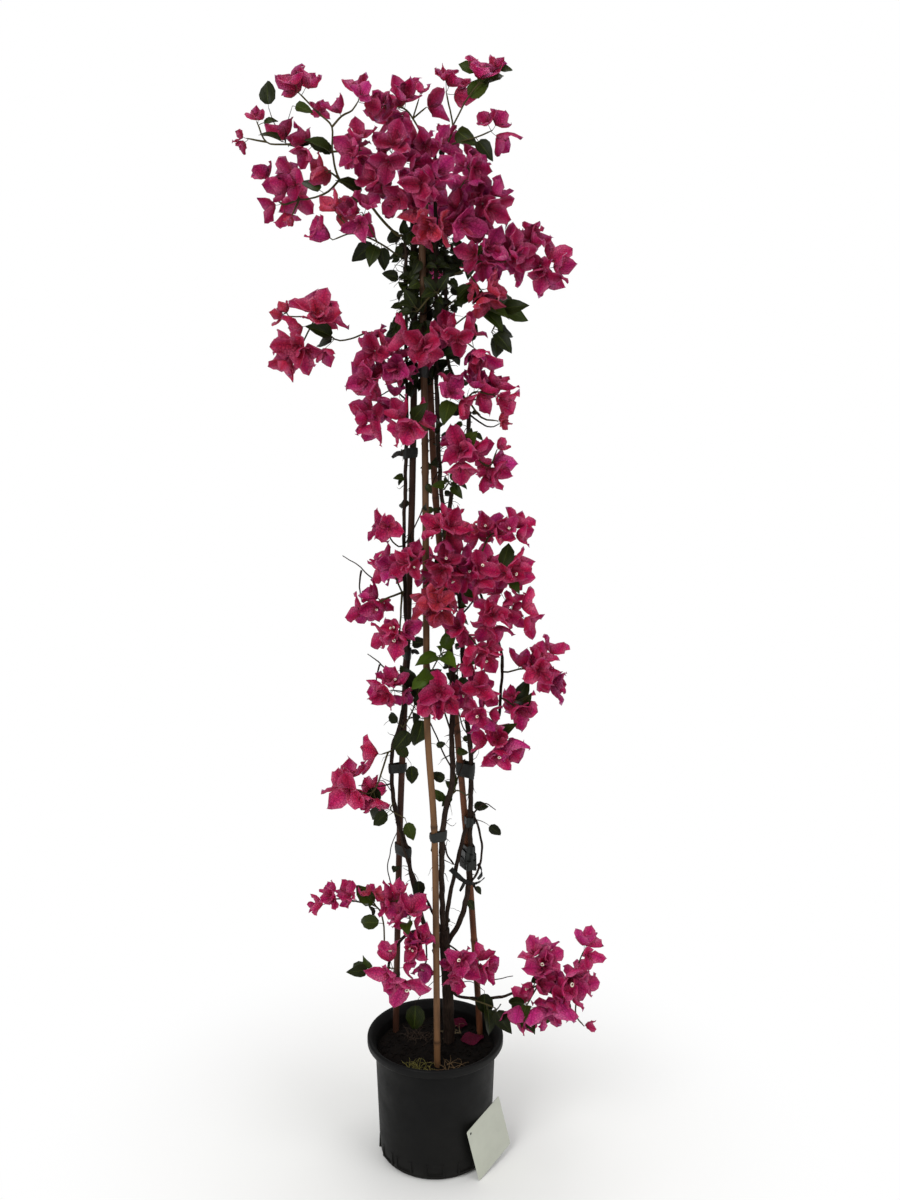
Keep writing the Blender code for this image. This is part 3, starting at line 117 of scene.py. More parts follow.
# Card
CARD_SIDE = 10.0 * CM
CARD_THICKNESS = 0.5 * MM
CARD_ROUNDING = 3 * MM
CARD_AZIMUTH = math.radians(-37)
CARD_SPIN = math.radians(9.6)
CARD_STAND_OFF = 11.9 * CM
CARD_TOUCH = 10.4 * CM
CARD_SHIFT = 3.1 * CM
CARD_HOLE_INSET = 0.9 * CM
CARD_HOLE_RADIUS = 0.25 * CM

# Studio: where the camera stands and how far it is tilted up from straight down, and the lamps: name,
# share of the main light's power, size in metres, place, and what it shines at
EYE = (0.026, -1.99, 1.43)
EYE_TILT = math.radians(78)
LAMPS = (("key", 1.0, 1.8, (-1.6, -2.6, 3.0), (0, 0, 0.9)),
         ("fill", 0.45, 2.2, (2.6, -2.0, 1.9), (0, 0, 0.9)),
         ("top", 0.5, 2.0, (0.2, 0.4, 3.6), (0, 0, 0.8)))

# Tape ties, in centimetres
TAPE = 0.12
TAPE_SIDES = 9
TAPE_GAP = 0.06

# Bracts and leaves, in centimetres
BRACT_LENGTH = 3.7
BRACT_HALF_WIDTH = 1.36
BRACT_THICKNESS = 0.14
NOTCH_AT = 0.30
BELLY_AT = 0.55
SIMPLE_NOTCH_AT = 0.60
BLOOM_HEART = 0.14
BLOOM_ROOT = 0.13
PEDICEL_RADIUS = 0.085
STALK_FOOT = 0.055
LEAF_LENGTH = 4.8
LEAF_HALF_WIDTH = 1.6
LEAF_FOLD = 0.22
LEAF_THICKNESS = 0.13
LEAF_OUTLINE = ((0.34, 1.0), (0.74, 0.62))
CLEARANCE = 0.10
GOLDEN_ANGLE = 2.39996
TWIG_TIP = 0.15
FOOT_SPACING = 0.28
TWIG_SPACING = 6.5
TRIES = 60
SEED = 11

# Fallen bracts: where each lies (x, y in centimetres), its turn and its size
FALLEN_BRACTS = ((6.7, 2.1, 0.4, 0.80), (4.2, 7.6, 2.2, 0.60))

# Fibres on the soil: name, colour, middle, how many, length, radius, how upright; in centimetres
FIBRES = (
    ("dry_grass", "857d3c", (-2.8, -7.0), 46, 3.2, 0.04, 0.7),
    ("dry_stalks", "7c6242", (3.0, -6.6), 12, 4.6, 0.05, 0.25),
    ("pale_roots", "a08e6b", (3.4, 4.6), 16, 4.2, 0.045, 0.25),
    ("dark_roots", "3a2a1c", (-3.0, 3.0), 40, 4.2, 0.05, 0.3),
)

# What the fine pieces add, in centimetres
PAPER_THICKNESS = 0.035
LEAF_BLADE_THICKNESS = 0.05
PEDICEL = 0.045
BRACT_BREADTH = 1.18
FILL_CLEARANCE = -0.75
FILL_TRIES = 14
OPEN_BELOW = 125
LEAF_SIZE = 0.88

# Shoots whose blooms are smaller than the rest
DAINTY = {"spray_foot_left_far": 0.76, "spray_top_left": 0.88, "spray_left_upper": 0.9,
          "spray_waist_left": 0.92}

# Shoots whose bracts are warmer and lighter than the rest
WARM = {"spray_left_cluster": 0.34, "spray_left_inner": 0.12, "spray_waist_front": 0.14,
        "spray_right_open": 0.12, "spray_single_left": 0.20, "spray_low_left": 0.16}

# Sprays that are fuller than the rest
FULLER = {"spray_top_left": 0.4, "spray_left_upper": 0.5, "spray_top_middle": 0.45, "spray_top_right": 0.4,
          "spray_crown_left": 0.5, "spray_crown_front": 0.6, "spray_crown_right": 0.6,
          "spray_crown_back": 0.6, "spray_left_cluster": 1.0, "spray_right_mass": 1.1,
          "spray_middle_right": 0.6, "spray_left_lower": 0.7, "spray_right_open": 0.6,
          "spray_right_flowering": 0.7, "spray_low_right": 1.3, "spray_foot_left_inner": 0.8,
          "spray_waist_left": 0.7, "spray_waist_right": 0.9, "spray_waist_low": 0.7,
          "spray_inner_right": 0.7, "spray_single_left": 0.5, "spray_low_left": 0.5,
          "spray_foot_left_far": 0.4}

# Blooms that stand out: (spray, x, y, z, the way it faces, size, openness, how lilac)
SHOWY = (
    ("spray_foot_front_left", -5.4, -5.8, 35.8, (0.1, -1.0, -0.3), 1.35, 0.80, 0.4),
    ("spray_left_cluster", -17.6, -2.5, 145.4, (0.3, -0.8, 0.6), 1.10, 0.50, 0.0),
    ("spray_left_cluster", -20.8, -2.2, 141.6, (-0.4, -0.8, -0.3), 1.10, 0.55, 0.0),
    ("spray_left_cluster", -22.6, -1.5, 139.2, (-0.6, -0.5, -0.8), 0.90, 0.35, 0.0),
    ("spray_left_cluster", -17.0, -1.0, 141.0, (0.3, -0.5, -0.9), 0.80, 0.20, 0.2),
    ("spray_right_star", 12.4, -4.0, 78.4, (0.35, -0.6, -0.8), 1.35, 0.35, 0.8),
    ("spray_middle_right", 6.2, -4.5, 141.0, (0.1, -0.4, -1.0), 0.95, 0.15, 1.0),
    ("spray_low_right", 14.6, -4.6, 30.4, (-0.4, -0.6, -0.9), 1.25, 0.30, 0.8),
    ("spray_low_right", 17.8, -4.8, 30.4, (0.0, -0.7, -0.9), 1.35, 0.30, 0.7),
    ("spray_low_right", 20.6, -4.2, 31.2, (0.3, -0.6, -0.9), 1.55, 0.35, 0.9),
    ("spray_low_right", 22.6, -2.8, 34.4, (0.6, -0.8, 0.1), 1.35, 0.45, 0.4),
    ("spray_low_right", 18.6, -2.6, 36.4, (-0.2, -0.7, 0.6), 1.20, 0.40, 0.3),
    ("spray_foot_right", 4.6, -3.2, 38.2, (-0.1, -0.9, 0.3), 1.10, 0.45, 0.5),
    ("spray_foot_left_inner", -1.6, -2.8, 37.4, (-0.2, -0.8, -0.6), 1.00, 0.30, 0.6),
)

# Undergrowth on the stems: (lowest, highest, leaves, spurs, size of its leaves)
UNDERGROWTH = ((143, 159, 205, 280, 0.45), (136, 143, 60, 50, 0.50), (124, 136, 36, 44, 0.42),
               (108, 124, 22, 34, 0.40), (94, 108, 12, 30, 0.42), (74, 94, 16, 44, 0.50),
               (46, 74, 6, 34, 0.45), (24, 46, 4, 18, 0.45))

# Single leaves: a twig's route, the size of the leaf at its end, and the way it points
SINGLE_LEAVES = (
    (((2.0, 0.4, 34), (-0.8, -2.4, 33.2), (-3.4, -3.6, 30.4)), 1.05, (0, -0.15, -1)),
    (((3.0, 0.8, 31), (6.0, -1.0, 33.0), (8.6, -1.4, 31.4)), 0.95, (0, -0.15, -1)),
    (((6.2, 2.4, 61.8), (8.0, 1.6, 61.6), (9.0, 1.2, 61.2)), 0.55, (0.8, -0.2, -0.6)),
    (((-7.2, 3.0, 66), (-8.8, 1.4, 69.0), (-10.2, 1.0, 68.4)), 0.8, (-0.1, -0.15, -1)),
    (((-6.8, 2.6, 76), (-5.2, 1.0, 74.0), (-4.0, 0.6, 72.4)), 0.7, (0.1, -0.15, -1)),
    (((-3.9, 0.4, 52.4), (-3.4, -0.4, 52.8), (-2.9, -0.8, 52.2)), 0.70, (0.1, -0.3, -1)),
    (((-4.6, 1.2, 83), (-3.2, -0.4, 82.4), (-1.9, -1.2, 81.0)), 1.0, (-0.2, -0.2, -1)),
    (((-5.6, 1.4, 80), (-5.0, 0.0, 79.8), (-4.0, -0.8, 78.8)), 0.90, (-0.6, -0.2, -0.8)),
    (((-4.5, 1.2, 87.5), (-3.9, 0.2, 88.0), (-3.3, -0.6, 87.4)), 0.70, (0.2, -0.2, -1)),
    (((-22, -3, 171.5), (-23.6, -3, 174), (-24.4, -2.8, 176.2)), 0.80, (-0.1, 0.1, 1)),
    (((-22, -3, 171.2), (-21.6, -3.2, 174), (-20.8, -3.2, 176.4)), 0.60, (1, -0.2, -0.2)),
    (((7.4, -1, 180.2), (7.0, -1.4, 180.8), (6.6, -1.6, 181.2)), 0.55, (-0.8, -0.1, 0.5)),
    (((8.4, -0.6, 181), (9.0, -0.9, 181.6), (9.5, -1.0, 182.0)), 0.42, (1, -0.1, 0.05)),
)

# Shoots that climb between the main stems: a radius at the foot, and a route
SHOOTS = (
    (0.24, ((1.4, 0.0, 41.4), (-0.4, -0.7, 46.0), (-1.9, -0.5, 48.8), (-3.6, 0.2, 52.0), (-5.2, 1.2, 56.0),
            (-6.2, 2.4, 60.0))),
    (0.11, ((-6.9, 4.2, 47.0), (-7.9, 3.0, 50.0), (-8.2, 2.5, 53.0), (-7.7, 2.6, 56.0), (-6.6, 3.2, 59.0))),
    (0.14, ((2.9, -2.6, 72.6), (1.2, -2.4, 76.0), (-0.4, -1.8, 79.6), (-2.4, -0.6, 83.0), (-4.4, 0.8, 87.0))),
    (0.16, ((3.2, 1.0, 54.0), (2.0, -0.4, 57.0), (1.6, -1.4, 62.0), (3.2, -0.6, 68.0), (5.2, 1.0, 73.0))),
    (0.13, ((6.2, 1.8, 76.0), (4.6, 0.6, 79.5), (3.6, -0.2, 84.0), (4.0, 0.0, 90.0))),
    (0.12, ((-4.6, 1.0, 110.0), (-2.6, -0.6, 114.0), (-0.6, -1.2, 119.0), (1.6, -0.6, 124.0),
            (3.6, -0.2, 129.0))),
)

# The right-hand knot's loose ends: half the tape's width, and a route
KNOT_ENDS = (
    (0.52, ((2.7, 1.2, 53.0), (3.9, 0.9, 51.9), (5.0, 0.8, 51.0), (6.5, 0.9, 50.4), (7.7, 1.2, 50.6),
            (8.6, 1.6, 51.2))),
    (0.30, ((5.3, 1.2, 51.0), (4.8, 1.0, 49.9), (4.3, 0.9, 49.0))),
    (0.28, ((6.5, 1.4, 50.4), (6.9, 1.2, 49.6), (7.3, 1.2, 48.8))),
    (0.34, ((7.4, 2.4, 53.4), (8.0, 2.0, 52.6), (8.0, 1.8, 51.6), (7.4, 1.6, 50.9))),
)

# Bare twigs: each a route from its stem outwards
BARE_TWIGS = (
    ((-4.6, 0.9, 104), (-6.5, 0.2, 105.4), (-9.5, -0.5, 104.2), (-12.3, -0.8, 106.6), (-14.8, -1.0, 108.2)),
    ((-11.8, -0.8, 105.8), (-12.1, -1.0, 103.0), (-11.7, -1.2, 100.6)),
    ((-4.6, 1.2, 86), (-7.5, 0.4, 88.5), (-9.6, 0.0, 90.6), (-11.0, -0.3, 91.6)),
    ((-9.0, 0.1, 89.8), (-9.6, -0.2, 87.6), (-9.4, -0.5, 86.0)),
    ((-7.2, 3.0, 68), (-9.5, 2.4, 67.6), (-13.0, 1.8, 68.0)),
    ((-7.0, 2.5, 75), (-4.5, 2.0, 79.6), (-1.6, 1.4, 80.0)),
    ((2.9, -1.6, 78), (1.2, -1.2, 83.5), (-0.4, -0.8, 87.5), (-0.9, -0.6, 90.5)),
    ((6.1, 2.4, 62), (8.4, 1.6, 64.8), (10.4, 1.0, 63.8)),
    ((-4.2, 0.3, 133), (-6.4, -1.4, 134.6), (-8.6, -2.2, 133.6)),
    ((0.4, -0.5, 148), (-1.6, -2.6, 146.2), (-3.2, -3.8, 146.9)),
    ((5.5, -0.5, 131), (8.5, -1.5, 129.0), (10.8, -2.0, 129.6)),
    ((4.5, 0.7, 98), (7.0, -0.5, 101.5), (7.8, -1.0, 104.5)),
    ((1.6, 0.0, 40), (4.5, -1.0, 38.2), (9.0, -1.8, 34.0), (13.5, -2.0, 34.6)),
    ((-1.5, -1.2, 41.6), (-1.6, -2.2, 37.0), (-3.4, -2.4, 33.0)),
)

# Routes in centimetres, each from its foot upwards
CANES = {
    "cane_front": [(0.5, -6.1, 8), (0.4, -5.8, 19.5), (0.0, -4.8, 62), (-1.1, -4.1, 80),
                   (-1.3, -2.7, 120), (-1.8, -0.8, 168.5)],
    "cane_left": [(-7.1, 5.4, 8), (-7.2, 5.4, 19.5), (-6.1, 4.2, 60), (-4.7, 3.2, 90),
                  (-3.5, 2.2, 120), (-3.0, 1.3, 145), (-3.1, 0.5, 167.5)],
    "cane_right": [(7.9, 4.5, 8), (8.0, 4.6, 19.5), (6.4, 4.1, 45), (5.2, 3.7, 61),
                   (2.7, 2.9, 90), (0.1, 2.1, 120), (-0.9, 1.5, 145), (-1.4, 1.0, 166)],
}

# name: (radius at the foot, radius at the tip, route)
STEMS = {
    "trunk": (1.10, 0.90, [(2.4, 1.9, 12), (2.4, 1.7, 20), (2.2, 0.9, 30), (1.7, 0.1, 38),
        (1.6, -0.1, 42.5)]),
    "left": (0.44, 0.26, [(1.6, 0.0, 39.5), (-0.9, -0.4, 41.5), (-2.4, 0.0, 45), (-3.9, 1.2, 51),
        (-4.8, 2.6, 56), (-6.4, 2.7, 61), (-7.2, 3.0, 66), (-7.4, 3.2, 70), (-7.0, 2.5, 75),
        (-5.6, 1.4, 80), (-4.6, 1.2, 86), (-4.4, 1.2, 93), (-4.8, 1.0, 100), (-4.9, 0.9, 109),
        (-4.6, 0.8, 121), (-4.2, 0.3, 132), (-4.3, -0.2, 141), (-4.2, -0.6, 150), (-4.3, -0.9, 157),
        (-4.2, -1.0, 163)]),
    "middle": (0.52, 0.30, [(1.5, -0.2, 41), (1.2, -2.3, 50), (1.3, -4.4, 60), (1.7, -4.2, 65),
        (3.0, -2.8, 71), (2.9, -1.6, 78), (3.1, -1.2, 87), (2.6, -1.0, 93), (2.2, -0.8, 107),
        (1.0, -0.5, 121), (0.5, -0.6, 135), (0.4, -0.5, 150), (0.4, -0.4, 161), (0.3, 0.2, 171)]),
    "right": (0.50, 0.28, [(1.8, 0.2, 39), (4.5, 0.8, 44), (5.8, 1.8, 50), (6.1, 2.4, 56), (6.1, 2.4, 64),
        (6.2, 2.0, 73), (5.5, 1.3, 80), (4.8, 1.0, 88), (4.5, 0.7, 97), (3.4, 0.4, 108), (2.6, 0.2, 116),
        (3.8, 0.0, 121.5), (5.4, -0.4, 127), (5.5, -0.5, 131.5), (3.9, -0.2, 135), (2.4, 0.3, 139),
        (2.0, 0.6, 147), (1.8, 0.8, 156), (1.8, 0.8, 163)]),
    "fork": (0.42, 0.36, [(1.8, 0.0, 41), (2.2, 0.9, 46), (3.6, 1.7, 53), (4.8, 2.0, 58), (6.1, 2.3, 62)]),
    "outer": (0.32, 0.22, [(6.2, 2.0, 73.5), (8.7, 1.0, 77), (10.7, 0.4, 81), (11.1, 0.2, 86),
        (11.2, 0.0, 91), (9.9, -0.2, 96), (8.2, -0.4, 100), (6.6, -0.6, 104)]),
    "loop": (0.20, 0.20, [(6.2, 2.4, 63), (7.6, 2.2, 60), (8.1, 2.1, 56), (7.5, 2.0, 52.5),
        (6.0, 1.9, 50)]),
    "runner_left": (0.36, 0.24, [(1.6, 0.0, 38.5), (-0.8, -1.2, 41.5), (-3.2, -2.1, 43), (-5.6, -2.4, 41.8),
        (-7.6, -2.7, 38.5), (-8.2, -3.2, 35.5)]),
    "runner_right": (0.32, 0.22, [(2.1, 0.7, 32), (3.8, 0.0, 29.8), (7.5, -0.2, 29.2), (11, -0.4, 29.6),
        (14, -0.7, 30.6), (16.5, -1.0, 31)]),
}
RUNNERS = ("runner_left", "runner_right")

# name: (height, what it holds, band height, tails as (direction in degrees, length))
TIES = {
    "tie_left_low": (55.5, ("cane_left", "left"), 2.0, ()),
    "tie_right_knot": (55.5, ("cane_right", "right"), 2.6, ((150, 2.2), (330, 1.6))),
    "tie_front_low": (61.5, ("cane_front", "middle"), 1.5, ()),
    "tie_left_second": (70.5, ("cane_left", "left"), 1.8, ()),
    "tie_right_second": (70.5, ("cane_right", "right"), 2.4, ()),
    "tie_left_waist": (91.0, ("cane_left", "left"), 1.6, ((20, 1.2),)),
    "tie_left_upper": (124.5, ("cane_left", "left"), 1.5, ((190, 1.7),)),
    "tie_crown": (137.5, ("cane_front", "cane_left"), 1.6, ()),
}

# name: (stem, height up it or distance out along a runner, branches).
# A branch starts at an earlier point of its spray, counted from 0, or at the root stub for -1.
# Each point is (x, y, z, blooms, leaves, words on how they grow), with what is none or plain left out.
# The word dark gives a point's leaves painted shade.
SPRAYS = {
    "spray_top_left": ("left", 158, [
        (-1, [(-7.5, -2, 160), (-10.5, -3, 163.5, 0, 2, "dark"), (-14, -3, 166),
              (-15, -3, 170, 0, 2, "dark"), (-15, -3, 173.5), (-17, -2, 175.5, 1, 0, "small up"),
              (-20, -2, 178.5, 3, 0, "up")]),
        (3, [(-10.5, -4, 170, 4, 0, "front")]),
        (4, [(-13.5, -3, 175, 1, 0, "up"), (-12, -2, 176), (-11, -2, 177.5, 2, 0, "up")]),
        (3, [(-18, -4, 171, 2, 1), (-22, -3, 171, 1, 1, "big up"), (-25, -2, 171.5),
              (-26.5, -1, 174.5, 2, 1, "up small")]),
        (13, [(-28, -2, 172, 2, 0, "left small")]),
        (2, [(-15.5, -5, 167, 2, 0, "coral")]),
        (2, [(-16.5, -2, 164, 0, 1), (-20.5, 0, 163.5), (-20.5, 0, 166, 3, 0, "big")]),
        (18, [(-23.5, 2, 163, 2, 0, "left down"), (-25.5, 3, 166.5, 1, 0, "up")]),
        (18, [(-21.5, -1, 161, 1, 0, "small coral down")]),
    ]),
    "spray_left_upper": ("left", 155, [
        (-1, [(-8.5, -3, 157, 0, 2, "down dark"), (-12, -5, 158), (-15, -6, 157, 1, 0, "big left up")]),
        (1, [(-14, -6, 160.5, 2, 0, "coral up")]),
        (0, [(-10.5, -6, 161, 3)]),
    ]),
    "spray_top_middle": ("middle", 167, [
        (-1, [(-1, -2.5, 171, 3, 0, "front"), (-3, -1, 175), (-4.5, -1, 176.5, 3, 0, "up"),
              (-7.5, 0, 177, 2, 0, "up left")]),
        (1, [(-2, -3, 177.5, 1, 0, "small up")]),
        (1, [(-1, 1.5, 177, 1, 0, "right")]),
    ]),
    "spray_top_right": ("middle", 169, [
        (-1, [(2, -1, 171, 1, 0, "up"), (3, 0, 174, 0, 1, "left"), (2, 0, 179, 2, 0, "up")]),
        (1, [(5, -1, 177.5, 0, 1, "up"), (7, -1, 180, 1, 2, "big up"), (9, 0, 181.5, 1, 0, "small up")]),
        (0, [(4, -2, 171.5), (6.5, -3, 172, 0, 1, "dark down"), (9, -3, 173, 2, 0, "right up")]),
    ]),
    "spray_crown_left": ("left", 161, [
        (-1, [(-4.5, -5, 163, 2, 0, "front"), (-7.5, -5, 164.5, 3, 0, "left"), (-6, -5, 169.5, 4)]),
    ]),
    "spray_crown_front": ("middle", 158, [
        (-1, [(-0.5, -6, 159, 3, 0, "coral front"), (-1.5, -8, 165, 3, 0, "front")]),
    ]),
    "spray_crown_right": ("right", 158, [
        (-1, [(4, -4.5, 160, 3, 0, "front"), (8, -4, 162.5, 4, 0, "right"), (5, -4, 168, 4)]),
    ]),
    "spray_crown_back": ("right", 161.5, [
        (-1, [(1.5, 6, 161.5, 2, 0, "back"), (-3.5, 7, 166, 3, 0, "back")]),
        (0, [(5, 6, 167, 3, 0, "back right")]),
        (0, [(0, 8, 154.5, 2, 2, "back down")]),
    ]),
    "spray_right_mass": ("right", 152, [
        (-1, [(5, -3, 153, 0, 1), (7.5, -5, 155.5, 3, 0, "front"), (11.5, -4, 155, 3),
              (14.5, -2, 156.5, 2, 0, "up right"), (17, -2, 153, 4, 0, "right")]),
        (0, [(7.5, -5, 149.5, 2, 1, "coral down")]),
    ]),
    "spray_right_mass_back": ("right", 154.5, [
        (-1, [(7, 6, 154.5, 2, 1, "back"), (12.5, 5, 154.5, 3, 0, "back right")]),
    ]),
    "spray_middle_right": ("right", 141.5, [
        (-1, [(3.5, -5.5, 143, 3, 0, "front"), (6.5, -4, 141, 1, 1, "down big")]),
    ]),
    "spray_left_cluster": ("left", 140.5, [
        (-1, [(-7, 0, 142.5), (-10, 0, 143.5), (-13, 0, 142.5), (-15.5, 0, 142.5, 0, 2, "dark"),
              (-18.5, -1, 145.5, 4, 0, "up"), (-23, 0, 146, 2, 1, "left small coral")]),
        (4, [(-21, 0, 141, 4, 0, "down")]),
    ]),
    "spray_left_inner": ("left", 137, [
        (-1, [(-5.5, -4, 138.5, 2, 0, "front"), (-9, -4, 141, 2, 0, "up left")]),
        (0, [(-9.5, -4, 136, 3, 0, "left")]),
        (0, [(-1, -6.5, 141.5, 2, 0, "front big")]),
    ]),
    "spray_left_lower": ("left", 131, [
        (-1, [(-6.5, -2, 132, 1), (-9, -2.5, 130.5, 3, 0, "left down")]),
        (-1, [(-3.5, -7.5, 129.5, 2, 1, "front big")]),
    ]),
    "spray_right_open": ("right", 133, [
        (-1, [(6.5, -4, 134.5, 2, 0, "right"), (9.5, -4, 134, 2, 0, "right up")]),
        (-1, [(7.5, -3, 130.5), (10, -3, 130, 1, 0, "small coral right")]),
        (-1, [(2.5, -6, 134, 2, 1, "front")]),
    ]),
    "spray_right_flowering": ("right", 126, [
        (-1, [(4.5, -6.5, 125.5, 3, 1, "front big")]),
        (-1, [(8.5, -4, 123, 3, 0, "right down"), (10, -3, 125.5, 1, 0, "small up right")]),
    ]),
    "spray_single_left": ("left", 109.5, [
        (-1, [(-7, -1, 111), (-7, -4, 113.5, 1, 0, "front big")]),
    ]),
    "spray_waist_left": ("left", 102, [
        (-1, [(-6.5, -3.5, 107, 3), (-3.5, -6.5, 108, 2, 0, "front")]),
        (-1, [(-8.5, -2, 101, 2, 0, "left"), (-11, -2, 99, 1, 0, "left")]),
        (-1, [(-5.5, -5, 96, 3, 0, "front")]),
    ]),
    "spray_waist_front": ("middle", 107, [
        (-1, [(1.5, -6, 107, 3, 0, "front"), (2, -6, 113.5, 3, 0, "front up"),
              (4.5, -6, 113, 1, 0, "coral small")]),
        (0, [(0.5, -6.5, 101, 3, 0, "coral front")]),
    ]),
    "spray_waist_right": ("right", 105, [
        (-1, [(6.5, -5, 106.5, 3, 0, "front"), (9, -3.5, 112, 3, 0, "up"), (12.5, -3, 112, 2, 0, "right")]),
        (0, [(12, -3, 106, 3, 3, "right")]),
    ]),
    "spray_waist_right_low": ("outer", 98, [
        (-1, [(9.5, -5, 99, 3, 0, "front"), (13, -3.5, 100, 3, 0, "right")]),
    ]),
    "spray_waist_low": ("right", 93, [
        (-1, [(4.8, -5.5, 97, 2, 0, "front"), (7.5, -5, 93.5, 3, 0, "front down")]),
    ]),
    "spray_waist_back": ("right", 101, [
        (-1, [(3, 6, 101, 3, 1, "back"), (-3, 7.5, 104.5, 3, 0, "back left")]),
        (0, [(8.5, 6.5, 104.5, 3, 0, "back right")]),
    ]),
    "spray_right_arching": ("outer", 88.5, [
        (-1, [(14, 0, 89, 1, 0, "up"), (17, -1, 89.5, 3, 0, "front"), (19.5, 0, 91, 1, 0, "up")]),
        (1, [(18.5, 1, 86, 2, 0, "down right")]),
    ]),
    "spray_right_low": ("outer", 84, [
        (-1, [(13.5, -2, 83, 2, 2, "right dark")]),
    ]),
    "spray_right_star": ("outer", 78, [
        (-1, [(10.5, -4, 77.5, 3, 1, "front big down")]),
    ]),
    "spray_inner_right": ("right", 84, [
        (-1, [(7.2, -5, 87, 3, 0, "front"), (7.5, -5, 83, 2, 0, "down")]),
    ]),
    "spray_inner_front": ("middle", 84, [
        (-1, [(1, -5.5, 86.5, 3, 0, "front")]),
    ]),
    "spray_low_left": ("left", 74, [
        (-1, [(-9, 0.5, 74, 1, 0, "left big")]),
        (-1, [(-10.5, 0, 67.5, 3, 0, "down"), (-14.5, 0, 68.5, 2, 0, "left big")]),
    ]),
    "spray_left_single": ("left", 85, [
        (-1, [(-7, -2, 86, 3, 0, "left front")]),
    ]),
    "spray_foot_left_far": ("runner_left", 7.6, [
        (-1, [(-8.8, -2, 44.5, 0, 1, "left"), (-10, -2, 47.5, 0, 2), (-13.5, -1, 48, 3, 0, "up"),
              (-17, -1, 48.5, 2, 0, "up left"), (-19, 0, 47, 1, 0, "left")]),
        (1, [(-11, -3, 50, 1, 0, "small coral up")]),
    ]),
    "spray_foot_left_inner": ("runner_left", 4.2, [
        (-1, [(-4.2, -4, 46.5, 3, 1, "up"), (-6.5, -2.5, 49, 2, 0, "up left")]),
        (-1, [(-2.5, -5.5, 42, 2, 0, "front")]),
    ]),
    "spray_foot_front_left": ("runner_left", 7.9, [
        (-1, [(-7, -6.5, 38.5, 2, 0, "front big")]),
        (-1, [(-11, -5, 37.5, 0, 2, "left")]),
    ]),
    "spray_foot_right": ("trunk", 33.5, [
        (-1, [(4.2, -2.5, 36.5, 2, 0, "front"), (7.5, -2.5, 36.5, 2, 0, "right")]),
    ]),
    "spray_low_right": ("runner_right", 15.5, [
        (-1, [(18, -2, 33, 3, 1), (18.5, -1, 37.5, 3, 0, "up")]),
        (0, [(22, -3, 31, 4, 1, "front"), (25, -1, 32.5, 2, 0, "right"), (25, 0, 35.5),
              (26, 0, 38.5, 2, 0, "up")]),
        (3, [(24.5, -2, 27.5), (26, -2, 25, 1, 0, "small right")]),
        (0, [(15.5, -4, 29.5, 2, 3, "left down")]),
    ]),
    "leaves_crown_core": ("right", 147, [
        (-1, [(0.5, -4, 149.5, 0, 4, "dark front"), (-2.5, -5, 146.5, 0, 3, "dark left")]),
        (-1, [(3.5, -3, 148.5, 0, 2, "dark right")]),
    ]),
    "leaves_right_patch": ("right", 144.5, [
        (-1, [(7.5, -2, 147.5, 0, 3, "right"), (10.5, -2, 147, 0, 3, "right"),
              (9, -2, 143.5, 0, 3, "dark down")]),
    ]),
    "leaves_waist_stem": ("middle", 119, [
        (-1, [(2.5, -4, 120.5, 0, 4, "small front")]),
    ]),
    "leaves_waist_bright": ("middle", 92.5, [
        (-1, [(1, -4.5, 92.5, 0, 3, "bright front"), (-0.5, -6, 90, 0, 3, "bright down")]),
    ]),
    "leaves_left_dark": ("left", 79, [
        (-1, [(-3.5, -1, 82.5, 0, 3, "dark right"), (-2.5, -1, 86, 0, 2, "dark up")]),
    ]),
    "leaves_stem_low": ("right", 66.5, [
        (-1, [(3.5, -2, 68.5, 0, 2, "left small"), (2.0, -1.6, 66, 0, 1, "left small")]),
    ]),
    "leaves_left_low": ("left", 64.5, [
        (-1, [(-7.5, 0.5, 64, 0, 2, "left dark down"), (-5, 0.5, 62.5, 0, 1, "right down")]),
    ]),
    "leaves_foot": ("runner_right", 6.0, [
        (-1, [(9, -3.5, 30, 0, 2, "dark down"), (10.5, -3, 29, 0, 2, "dark down right")]),
    ]),
}

PLAIN = (0, 0, "")
AIMS = {"up": (0, 0, 1.3), "down": (0, 0, -1.2), "left": (-1.2, 0, 0), "right": (1.2, 0, 0),
        "front": (0, -1.6, 0), "back": (0, 1.6, 0)}
BRACT_COVER = ((0.10, 0.0, 0.50), (0.30, 0.33, 0.55), (0.53, 0.0, 0.50), (0.55, 0.64, 0.55),
               (0.78, 0.30, 0.55), (0.95, 0.0, 0.38))
LEAF_COVER = ((0.10, 0.0, 0.6), (0.33, 0.6, 0.8), (0.60, 0.5, 0.75), (0.80, 0.0, 0.75), (0.95, 0.0, 0.4))


def finer(route, radii, spacing):
    """Points about `spacing` apart on a smooth curve through a route, and the radii there."""
    points = []
    sizes = []
    ends = [2 * route[0] - route[1]] + list(route) + [2 * route[-1] - route[-2]]
    for i in range(len(route) - 1):
        a, b, c, d = ends[i:i + 4]
        steps = max(1, round((c - b).length / spacing))
        for k in range(steps):
            t = k / steps
            points.append(0.5 * (2 * b + (c - a) * t + (2 * a - 5 * b + 4 * c - d) * t * t
                                 + (3 * b - a - 3 * c + d) * t ** 3))
            sizes.append(radii[i] + (radii[i + 1] - radii[i]) * t)
    return points + [route[-1].copy()], sizes + [radii[-1]]


def curve_through(points, spacing):
    return finer([Vector(p) for p in points], [0] * len(points), spacing)[0]


def blend_radii(count, foot, tip):
    return [foot + (tip - foot) * i / (count - 1) for i in range(count)]


